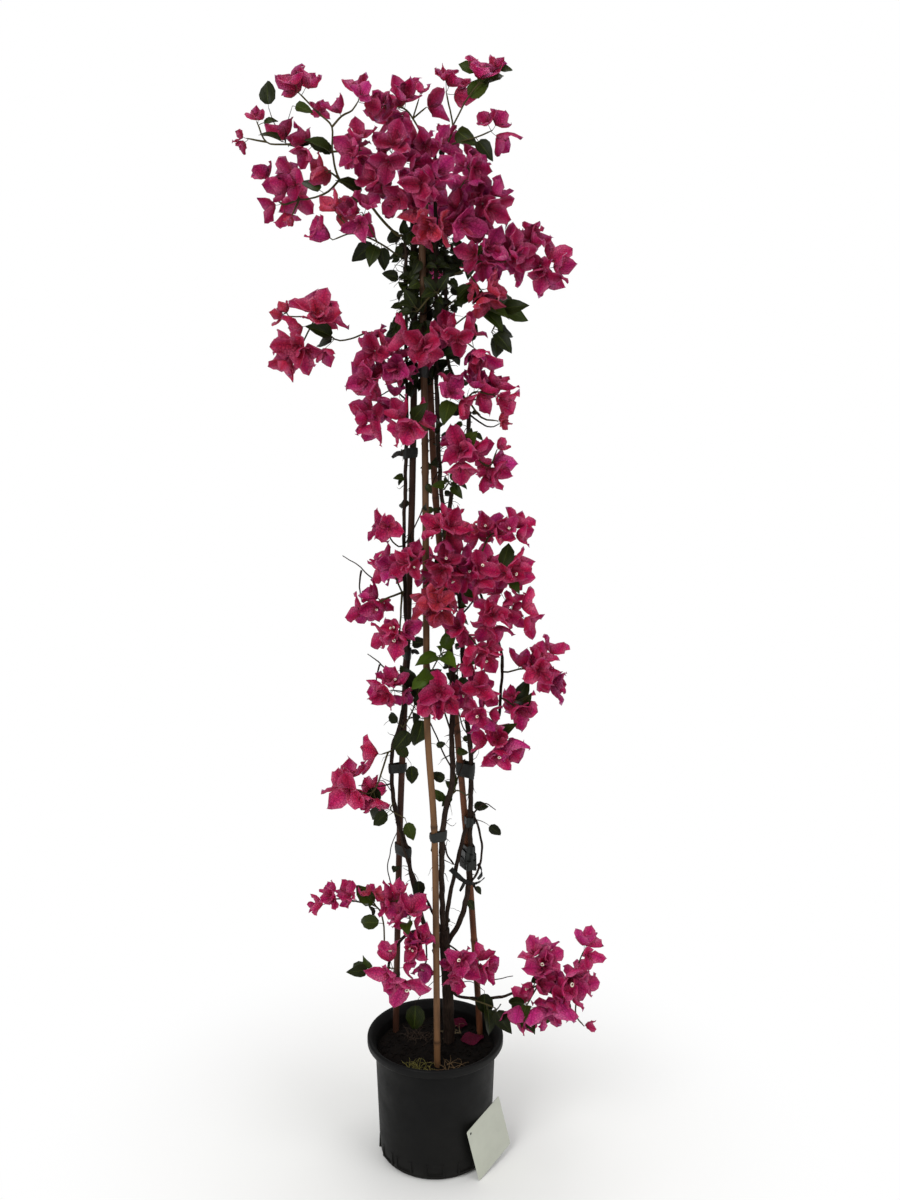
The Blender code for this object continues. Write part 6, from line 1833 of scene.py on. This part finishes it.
class CLIMBER_OT_stems(bpy.types.Operator):
    """Grows the trunk and the climbing stems, with bark, knots, thorns and bare twigs"""
    bl_idname = "climber.stems"
    bl_label = "Woody Stems"

    def execute(self, context):
        look = context.scene.plant_settings
        depth = look.bark_depth / CM
        stems, thorns = plan()[1], plan()[3]
        bark = woody_bark("woody_bark", look.bark_colour, linear("33261e"))
        strands = []
        for name, (route, radii) in stems.items():
            points, sizes = finer(route, radii, 0.7)
            if name != "trunk":
                sizes = [r * (0.94 + 0.12 * noise.noise(p * 0.35)
                              + 0.40 * max(0, noise.noise(p * 0.8 + Vector((9, 3, 5))) - 0.25))
                         for p, r in zip(points, sizes)]
            points[1:-1] = wavered(points[1:-1], 0.5, 0.16)
            if name == "trunk":
                sizes = [r * (1 + 0.10 * noise.noise(p * 0.4)) for p, r in zip(points, sizes)]
            strands.append((points, sizes))
        wood = swept("woody_plant", strands, 4, bark)
        for corner in wood.data.vertices:
            ridge = noise.noise(Vector((corner.co.x * 260, corner.co.y * 260, corner.co.z * 45)))
            corner.co += corner.normal * ridge * depth * CM
        settled(wood, "bark", "woody_stems")
        spikes = []
        for foot, tip in thorns:
            middle = foot.lerp(tip, 0.5) + Vector((0, 0, 0.06))
            spikes.append(finer([foot, middle, tip], [0.15, 0.08, 0.01], 0.2))
        settled(swept("thorns", spikes, 1, bark), "bark", "woody_stems")
        bare = [thin_strand(route, 0.17, 0.07, 0.5, 0.9, 0.10) for route in BARE_TWIGS]
        bare += [thin_strand(route, foot, foot * 0.7, 0.5, 0.5, 0.18) for foot, route in SHOOTS]
        settled(swept("bare_twigs", bare, 2, bark), "bark", "woody_stems")
        return {"FINISHED"}


class CLIMBER_OT_ties(bpy.types.Operator):
    """Winds the tape ties round stems and canes, with their knots and loose ends"""
    bl_idname = "climber.ties"
    bl_label = "Tape Ties"

    def execute(self, context):
        look = context.scene.stand_settings
        canes, stems, ties = plan()[:3]
        tape = tie_tape(look.tape_colour)
        for name, tails in ties.items():
            height, held, band, _ = TIES[name]
            rng = random.Random(f"{SEED} {name}")
            circles = held_circles(held, [height], canes, stems)
            heap = Heap()
            knotted = len(tails) > 1
            for wrap in range(look.wraps + knotted):
                offset = 0.04 + 0.05 * wrap
                lift = height + band * (wrap - (look.wraps - 1) / 2) * 0.16
                if knotted:
                    offset = 0.10 + 0.16 * (wrap % 3)
                    lift = height + (0.1, -1.0, -2.1, 6.0)[wrap % 4]
                tilt = rng.uniform(-0.12, 0.12) * (2.0 if knotted else 1)
                phase = rng.uniform(0, math.tau)
                outline = []
                for step in range(40):
                    turn = math.tau * step / 40
                    way = level_way(turn)
                    middle, radius = max(circles, key=lambda c: c[0].dot(way) + c[1])
                    gap = offset + (0.16 if knotted else 0.03) * (1 + math.sin(5 * turn + phase))
                    outline.append((middle + way * (radius + gap), way))
                half = band * rng.uniform(0.28, 0.38)
                heap.put(*self.band(outline, lift, half, tilt, phase), (0, 0, rng.random(), 1))
            ends = [(band * 0.28, (start, start.lerp(end, 0.5) + Vector((0, 0, 0.35)), end))
                    for start, end in tails]
            for wide, route in KNOT_ENDS if knotted else ends:
                heap.put(*self.loose_end(route, wide, rng), (0, 0, rng.random(), 1))
            settled(heap.build(name + "_tape", [tape], 35), "tie_tape", name)
        return {"FINISHED"}

    def band(self, outline, lift, half, tilt, phase):
        """One turn of flat tape: four loops of points, inner and outer, low and high."""
        points = []
        for depth, level in ((0.0, -1), (0.045, -1), (0.05, 0), (0.045, 1), (0.0, 1), (0.0, 0)):
            for step, (spot, way) in enumerate(outline):
                turn = math.tau * step / len(outline)
                edge = half * level * (1 + 0.10 * math.sin(3 * turn + phase * 2))
                crumple = 0.03 * math.sin(7 * turn + level * 2 + phase)
                high = lift + edge + tilt * math.sin(turn + phase) * 2
                points.append(spot + way * (depth + crumple * (depth > 0)) + Vector((0, 0, high)))
        count = len(outline)
        faces = []
        for a in range(6):
            b = (a + 1) % 6
            for k in range(count):
                n = (k + 1) % count
                faces.append((a * count + k, a * count + n, b * count + n, b * count + k))
        return points, faces

    def loose_end(self, route, half, rng):
        """A loose end of tape along a route: it leaves the tie, crumples, twists and narrows."""
        route = curve_through(route, 0.3)
        steps = len(route) - 1
        points = []
        for k, spot in enumerate(route):
            t = k / steps
            ahead = route[min(k + 1, steps)] - route[max(k - 1, 0)]
            side, tall = across(ahead.normalized())
            twist = rng.uniform(-0.15, 0.15) + 0.9 * t
            tall = (tall * math.cos(twist) + side * math.sin(twist)) * half * (1 - 0.35 * t ** 3)
            thick = ahead.cross(tall).normalized() * 0.04
            points += [spot - tall - thick, spot - tall + thick, spot + tall + thick, spot + tall - thick]
        faces = [(0, 1, 2, 3), tuple(4 * steps + k for k in (3, 2, 1, 0))]
        for k in range(steps):
            for a in range(4):
                b = (a + 1) % 4
                faces.append((4 * k + b, 4 * k + a, 4 * k + 4 + a, 4 * k + 4 + b))
        return points, faces


class CLIMBER_OT_card(bpy.types.Operator):
    """Leans the bare square card on the pot, on one corner, with its punched hole"""
    bl_idname = "climber.card"
    bl_label = "Card"

    def execute(self, context):
        out = level_way(CARD_AZIMUTH)
        along = Vector((-out.y, out.x, 0))
        lean = math.asin((CARD_STAND_OFF - wall_at(CARD_TOUCH) - CARD_THICKNESS - 0.6 * MM) / CARD_TOUCH)
        rise = Vector((0, 0, 1)) * math.cos(lean) - out * math.sin(lean)
        face = out * math.cos(lean) + Vector((0, 0, 1)) * math.sin(lean)
        first = along * math.cos(CARD_SPIN) + rise * math.sin(CARD_SPIN)
        second = rise * math.cos(CARD_SPIN) - along * math.sin(CARD_SPIN)
        corner = out * CARD_STAND_OFF - along * CARD_SHIFT + Vector((0, 0, 0.1 * MM))
        sheet = bpy.data.curves.new("card_sheet", "CURVE")
        sheet.dimensions = "2D"
        sheet.fill_mode = "BOTH"
        sheet.extrude = CARD_THICKNESS / 2
        sheet.bevel_depth = 0.1 * MM
        sheet.bevel_resolution = 1
        outline = []
        for k, (x, y) in enumerate(((CARD_SIDE, CARD_SIDE), (0, CARD_SIDE), (0, 0), (CARD_SIDE, 0))):
            middle = [side - CARD_ROUNDING if side else CARD_ROUNDING for side in (x, y)]
            for step in range(7):
                turn = math.radians(90 * k + 15 * step)
                outline.append((middle[0] + CARD_ROUNDING * math.cos(turn),
                                middle[1] + CARD_ROUNDING * math.sin(turn)))
        spot = (CARD_HOLE_INSET, CARD_SIDE - CARD_HOLE_INSET)
        hole = [(spot[0] + CARD_HOLE_RADIUS * math.cos(a), spot[1] + CARD_HOLE_RADIUS * math.sin(a))
                for a in (math.tau * k / 20 for k in range(20))]
        for loop in (outline, hole):
            run = sheet.splines.new("POLY")
            run.points.add(len(loop) - 1)
            run.points.foreach_set("co", [value for x, y in loop for value in (x, y, 0, 1)])
            run.use_cyclic_u = True
        card = meshed(sheet)
        card.matrix_world = Matrix(((*first, 0), (*second, 0), (*face, 0), (*corner, 1))).transposed()
        card = closed(apply_all(card))
        dressed(smoothed(card, 30), coated_card(context.scene.pot_settings.card_colour))
        settled(card, "card", "card_label")
        return {"FINISHED"}


class CLIMBER_OT_sprays(bpy.types.Operator):
    """Dresses every shoot: papery bracts in threes, tubular flowers, leaves, and the twigs they hang on"""
    bl_idname = "climber.sprays"
    bl_label = "Sprays and Leaves"

    def execute(self, context):
        look = context.scene.plant_settings
        twigs, grown, space = plan()[4:]
        self.blade = blade_pattern(4, 5)
        bud_rings = ((0, 0.05), (0.40, 0.085), (1.05, 0.075), (1.30, 0.10), (1.45, 0.03))
        self.bud = taken(lathe_pattern(6, bud_rings))
        self.star = star_pattern()
        self.open_share = look.open_share
        bract = papery_bract("papery_bract", look.bract_colour, look.young_colour, linear("d05c84"))
        bud = flower_tube("flower_bud", linear("7c1e38"), linear("a84a58"))
        star = flower_tube("open_flower", linear("8a3048"), look.flower_colour)
        foliage = ovate_leaf(look.leaf_colour, look.bright_colour, look.dark_colour)
        twig = woody_bark("green_twig", linear("33311b"), linear("4f4528"))
        for name, (routes, places, root) in twigs.items():
            blooms, leaves = grown[name]
            more = fill_out(name, places, space, look.bloom_fill, look.leaf_fill)
            blooms, leaves = blooms + more[0] + self.showy(name, places), leaves + more[1]
            size = 0.62 if name == "leaves_crown_core" else LEAF_SIZE
            for leaf in leaves:
                leaf["length"] *= size
                leaf["half"] *= size * 0.9
            for bloom in blooms:
                size = DAINTY.get(name, 1.0) * (0.85 if "small" in bloom["words"] else 1.0)
                bloom["length"] *= size
                bloom["half"] *= size
                bloom["warm"] = WARM.get(name, 0.0)
            rng = random.Random(f"{SEED} looks {name}")
            strands = self.strands(routes, root, blooms, leaves)
            settled(swept(name + "_twigs", strands, 1, twig), "bark", name)
            if blooms:
                heap = Heap()
                for bloom in blooms:
                    self.add_bloom(heap, bloom, rng)
                settled(heap.build(name + "_bracts", [bract, bud, star]), "bract", name)
            if leaves:
                heap = Heap()
                for leaf in leaves:
                    self.add_leaf(heap, leaf, rng)
                settled(heap.build(name + "_leaves", [foliage]), "foliage", name)
        return {"FINISHED"}

    def showy(self, name, places):
        """The blooms of a shoot that stand out, each on a stalk from the nearest growing point."""
        found = []
        for owner, x, y, z, way, size, openness, lilac in SHOWY:
            if owner == name:
                base = Vector((x, y, z))
                foot = min((place[0] for place in places), key=lambda p: (p - base).length)
                bloom = place_bloom(foot, Vector(way).normalized(), 0, size, openness, x)
                found.append(bloom | {"base": base, "words": "showy", "lilac": lilac})
        return found

    def strands(self, routes, root, blooms, leaves):
        """The twigs of a shoot, from inside its stem, and a thin stalk to each bloom and leaf."""
        strands = []
        for index, (route, radii) in enumerate(routes):
            start = [root.copy()] if index == 0 else []
            sizes = [r * 0.8 for r in radii[:1] * len(start) + radii]
            points, sizes = finer(start + route, sizes, 0.8)
            points[1:] = wavered(points[1:], 0.7, 0.06)
            sizes[-1] *= 0.6
            strands.append((points, sizes))
        for thing in blooms + leaves:
            leafy = "face" in thing
            bow = thing["face"] * 0.06 if leafy else Vector((0, 0, -0.06))
            route = [thing["foot"], thing["foot"].lerp(thing["base"], 0.5) + bow, thing["base"],
                     thing["base"] + thing["axis"] * (0.2 if leafy else 0.12)]
            widths = (1.3, 1.2, 1.2, 0.6) if leafy else (1.2, 1.0, 1.0, 1.9)
            strands.append((route, [PEDICEL * share for share in widths]))
        return strands

    def add_bloom(self, heap, bloom, rng):
        """Three bracts and their flowers, at the head of a stalk."""
        words = bloom["words"]
        young = 0.85 if "coral" in words else 0.30 if "small" in words else 0.0
        young = min(1.0, max(0.0, young + bloom["warm"] + rng.uniform(-0.12, 0.18)))
        lilac = rng.uniform(0.45, 1.0) if rng.random() < 0.16 else rng.uniform(0.0, 0.2)
        lilac = bloom.get("lilac", lilac)
        height = bloom["base"].z
        lilac = min(1, lilac + 0.25 * min(1, max(0, (60 - height) / 20)))
        # How deep the crimson is: a random deeper tone, plus painted shade that grows from 120 cm up over the
        # crown.
        deep = rng.uniform(0.0, 0.30) + 0.65 * min(1, max(0, (height - 120) / 50))
        lift = max(bloom["warm"], 0.45 if height < 60 else 0.16 if height < 130 else 0.0)
        pattern, faces, places = self.blade
        red = np.clip(young + (1 - pattern[:, 1]) ** 3 * 0.35, 0, 1)
        for lobe in range(3):
            points = laid_bract(pattern, bloom, lobe, rng)
            heap.put(points, faces, (red, lilac, lift + (1 - lift) * rng.random(), deep), places)
        size = bloom["length"] / BRACT_LENGTH
        for flower in range(3):
            turn = bloom["roll"] + (flower + 0.1) * math.tau / 3
            out = turned(*across(bloom["axis"]), turn)
            way = bloom["axis"] + out * rng.uniform(0.10, 0.30)
            is_open = rng.random() < self.open_share and "small" not in words and height < OPEN_BELOW
            is_open = is_open or words == "showy" and flower == 1 and height < OPEN_BELOW
            pattern, faces = self.star if is_open else self.bud
            x, y, z = pattern.T
            places = np.column_stack([np.minimum(np.hypot(x, y) / 0.32, 1), z / z.max()])
            scale = size * rng.uniform(0.85, 1.1)
            points = laid_tube(pattern * np.array([scale, scale, 1.0]), bloom["base"] + out * 0.07,
                               way.normalized(), scale, turn)
            heap.put(points, faces, (0, 0, rng.random(), 1), places, 2 if is_open else 1)

    def add_leaf(self, heap, leaf, rng):
        words = leaf["words"]
        bright = min(1.0, (0.85 if "bright" in words else 0.15) + rng.uniform(-0.15, 0.15))
        # How dark the leaf is: painted shade, strongest where its words say dark.
        dark = min(1.0, max(0.0, (0.75 if "dark" in words else 0.15) + rng.uniform(-0.2, 0.2)))
        put_leaf(heap, self.blade, leaf, bright, dark, rng)


class CLIMBER_OT_undergrowth(bpy.types.Operator):
    """Covers the stems with small dark leaves, dry curled spurs and a few single leaves"""
    bl_idname = "climber.undergrowth"
    bl_label = "Undergrowth"

    def execute(self, context):
        rng = random.Random(SEED + 3)
        blade = blade_pattern(4, 5)
        canes, stems = plan()[:2]
        bearers = [stems[name] for name in THORNY] + list(canes.values())
        heap = Heap()
        stalks, spurs = [], []

        def hang(leaf, dark):
            put_leaf(heap, blade, leaf, rng.uniform(0.0, 0.35), dark, rng)
            stalks.append(([leaf["foot"], leaf["base"], leaf["base"] + leaf["axis"] * 0.1],
                           [PEDICEL, PEDICEL * 0.9, PEDICEL * 0.5]))

        def start_at(low, high, share_of_canes):
            index = rng.randrange(3) if rng.random() > share_of_canes else rng.randrange(3, len(bearers))
            route, radii = bearers[index]
            height = rng.uniform(low, min(high, route[-1].z - 1))
            point, radius, along = point_at(route, radii, height)
            out = turned(*across(along), rng.uniform(0, math.tau))
            return point + out * radius * 0.8, out

        for low, high, leaf_count, spur_count, size in UNDERGROWTH:
            for _ in range(leaf_count):
                foot, out = start_at(low, high, 0.40 if high > 140 else 0.15)
                way = (out * 0.8 + Vector((0, 0, rng.uniform(-1.1, 0.5)))).normalized()
                face = Vector((rng.uniform(-0.8, 0.8), -1.0, rng.uniform(0.0, 1.0)))
                if abs(way.dot(face.normalized())) > 0.95:
                    face = Vector((1, 0, 0.3))
                leaf = place_leaf(foot, way, rng.uniform(0.3, 1.4), size * rng.uniform(0.6, 1.3),
                                  rng.uniform(0.4, 1.3), face)
                # Painted shade: leaves in the bands above 130 cm, inside the crown, are darker.
                hang(leaf, rng.uniform(0.7, 1.0) if low > 130 else rng.uniform(0.3, 1.0))
            for _ in range(spur_count):
                foot, out = start_at(low, high, 0.0)
                way = (out + Vector((0, 0, rng.uniform(-0.8, 0.9)))).normalized()
                points = [foot - out * 0.1]
                length = rng.uniform(1.0, 3.6)
                for _ in range(6):
                    way = (way + Vector([rng.uniform(-0.45, 0.45) for _ in range(3)])).normalized()
                    points.append(points[-1] + way * length / 6)
                spurs.append((points, blend_radii(7, rng.uniform(0.05, 0.09), 0.025)))
        for route, size, way in SINGLE_LEAVES:
            spurs.append(thin_strand(route, 0.10, 0.05, 0.6))
            end = Vector(route[-1])
            leaf = place_leaf(end, Vector(way).normalized(), 0.5, size, 0.6, Vector((0.1, -1, 0.35)))
            # Painted shade: single leaves below 160 cm are darker than those at the top.
            hang(leaf, 0.85 if end.z < 160 else 0.35)
        settled(heap.build("undergrowth_leaves", [bpy.data.materials["ovate_leaf"]]), "foliage")
        settled(swept("undergrowth_spurs", spurs + stalks, 0, bpy.data.materials["woody_bark"]), "bark")
        return {"FINISHED"}


class CLIMBER_OT_litter(bpy.types.Operator):
    """Drops two bracts on the soil, with dry grass, curled stalks and pale roots"""
    bl_idname = "climber.litter"
    bl_label = "Litter on the Soil"

    def execute(self, context):
        bract = papery_bract("withered_bract", linear("4e0e22"), linear("4e0e22"), linear("6a1a34"))
        pattern, faces, places = blade_pattern(6, 8)
        sideways, lengthways, through = pattern.T
        rng = random.Random(SEED + 2)
        for index, (x, y, turn, scale) in enumerate(FALLEN_BRACTS):
            along = np.array((math.cos(turn), math.sin(turn), 0))
            side = np.array((along[1], -along[0], 0))
            length = BRACT_LENGTH * scale * 1.45
            half = 0.42 * length * ovate(lengthways, 0.03, 0.5, 0.72)
            flat = (np.array((x, y, 0)) + along * ((lengthways - 0.5) * length)[:, None]
                    + side * (half * sideways)[:, None])
            level = max(soil_rise(p[0] * CM, p[1] * CM) for p in flat) / CM
            dome = 0.45 * (1 - (2 * lengthways - 1) ** 2) * (1 - 0.7 * sideways ** 2)
            dome += 0.30 * np.sin(8 * lengthways + 2 * sideways + index) * np.abs(sideways)
            dome += 0.10 * np.sin(9 * sideways + index)
            flat[:, 2] = SOIL_LEVEL / CM + level + dome + through * PAPER_THICKNESS
            heap = Heap()
            heap.put(flat, faces, (0.0, 0.0, 0.4, 0.0), places)
            name = f"fallen_bract_{index + 1}"
            settled(heap.build(name + "_paper", [bract]), "bract", name)
        for name, colour, *form in FIBRES:
            self.strew(name, dry_fibre(name, linear(colour)), *form, rng)
        return {"FINISHED"}

    def strew(self, name, finish, spot, count, length, radius, upright, rng):
        """A few bent fibres scattered round a spot on the soil."""
        strands = []
        for _ in range(count):
            x = spot[0] + rng.uniform(-1, 1) * (1.3 if count < 40 else 2.2)
            y = spot[1] + rng.uniform(-1, 1) * (0.8 if count < 40 else 1.4)
            turn = rng.uniform(0, math.tau)
            bend = rng.uniform(-0.5, 0.5)
            size = length * rng.uniform(0.5, 1.0)
            points = []
            level = 0.02
            for step in range(8):
                spread = (1 - upright * 0.7) * size / 7
                points.append(Vector((x, y, SOIL_LEVEL / CM + soil_rise(x * CM, y * CM) / CM + level)))
                x += math.cos(turn) * spread
                y += math.sin(turn) * spread
                level += upright * size / 7 * (1.2 - 0.25 * step) + rng.uniform(-0.02, 0.04)
                level = max(level, 0.02)
                turn += bend * 0.5
            if max(math.hypot(p.x, p.y) for p in points) < 10.2:
                strands.append((points, blend_radii(8, radius, radius * 0.4)))
        settled(swept(name, strands, 0, finish), "soil")


class CLIMBER_OT_stage(bpy.types.Operator):
    """Sets the pale floor, the soft studio light and the camera"""
    bl_idname = "climber.stage"
    bl_label = "Stage"

    def execute(self, context):
        look = context.scene.stage_settings
        start_fresh()
        bpy.ops.mesh.primitive_plane_add(size=14)
        floor = bpy.context.object
        floor.name = "floor"
        made, add, shader = new_finish("pale_floor", 0.9, Specular_IOR_Level=0.1,
                                       Base_Color=look.floor_colour)
        far = add("VectorMath", add("TexCoord").outputs["Object"], operation="LENGTH")
        fade = add("MapRange", far, 0.14, 0.75, interpolation_type="SMOOTHSTEP")
        white = add("Emission", Color=(1, 1, 1, 1), Strength=1.0)
        fill(made.node_tree.nodes["Material Output"], Surface=add("MixShader", fade, shader, white))
        floor.data.materials.append(made)
        for name, share, size, place, aim in LAMPS:
            light = bpy.data.lights.new(name, "AREA")
            light.energy = look.key_power * share
            light.size = size
            lamp = bpy.data.objects.new(name, light)
            context.scene.collection.objects.link(lamp)
            lamp.location = place
            lamp.rotation_euler = (Vector(aim) - Vector(place)).to_track_quat("-Z", "Y").to_euler()
        world = bpy.data.worlds.new("studio")
        world.use_nodes = True
        add = partial(add_node, world.node_tree)
        shown = add("Background", Color=(1, 1, 1, 1), Strength=1.0)
        lit = add("Background", Color=(1, 1, 1, 1), Strength=look.sky)
        seen_straight = add("LightPath").outputs["Is Camera Ray"]
        fill(world.node_tree.nodes["World Output"], Surface=add("MixShader", seen_straight, lit, shown))
        context.scene.world = world
        camera = bpy.data.cameras.new("camera")
        camera.lens = look.lens
        camera.sensor_width = 36
        seen = bpy.data.objects.new("camera", camera)
        context.scene.collection.objects.link(seen)
        seen.location = EYE
        seen.rotation_euler = (EYE_TILT, 0, 0)
        context.scene.camera = seen
        context.scene.view_settings.view_transform = "Standard"
        return {"FINISHED"}


class CLIMBER_PT_panel(bpy.types.Panel):
    """Sizes and colours of the potted climber, and a button for each of its pieces"""
    bl_label = "Potted Bougainvillea"
    bl_idname = "CLIMBER_PT_panel"
    bl_space_type = "VIEW_3D"
    bl_region_type = "UI"
    bl_category = "Bougainvillea"

    def draw(self, context):
        for title, group, buttons in (
                ("Pot", "pot_settings", ("pot", "soil", "card")),
                ("Stand", "stand_settings", ("canes", "ties")),
                ("Plant", "plant_settings", ("stems", "sprays", "undergrowth", "litter")),
                ("Stage", "stage_settings", ("stage",))):
            box = self.layout.box()
            box.label(text=title)
            settings = getattr(context.scene, group)
            for field in settings.__annotations__:
                box.prop(settings, field)
            for button in buttons:
                box.operator("climber." + button)


PIECES = ("pot", "soil", "canes", "stems", "ties", "card", "sprays", "undergrowth", "litter", "stage")
SETTINGS = {"pot_settings": PotSettings, "stand_settings": StandSettings, "plant_settings": PlantSettings,
            "stage_settings": StageSettings}
CLASSES = (*SETTINGS.values(), CLIMBER_OT_pot, CLIMBER_OT_soil, CLIMBER_OT_canes, CLIMBER_OT_stems,
           CLIMBER_OT_ties, CLIMBER_OT_card, CLIMBER_OT_sprays, CLIMBER_OT_undergrowth, CLIMBER_OT_litter,
           CLIMBER_OT_stage, CLIMBER_PT_panel)


def register():
    for kind in CLASSES:
        bpy.utils.register_class(kind)
    for name, kind in SETTINGS.items():
        setattr(bpy.types.Scene, name, PointerProperty(type=kind))


def unregister():
    for name in SETTINGS:
        delattr(bpy.types.Scene, name)
    for kind in reversed(CLASSES):
        bpy.utils.unregister_class(kind)


def main():
    register()
    for piece in PIECES:
        getattr(bpy.ops.climber, piece)()


if __name__ == "__main__":
    main()
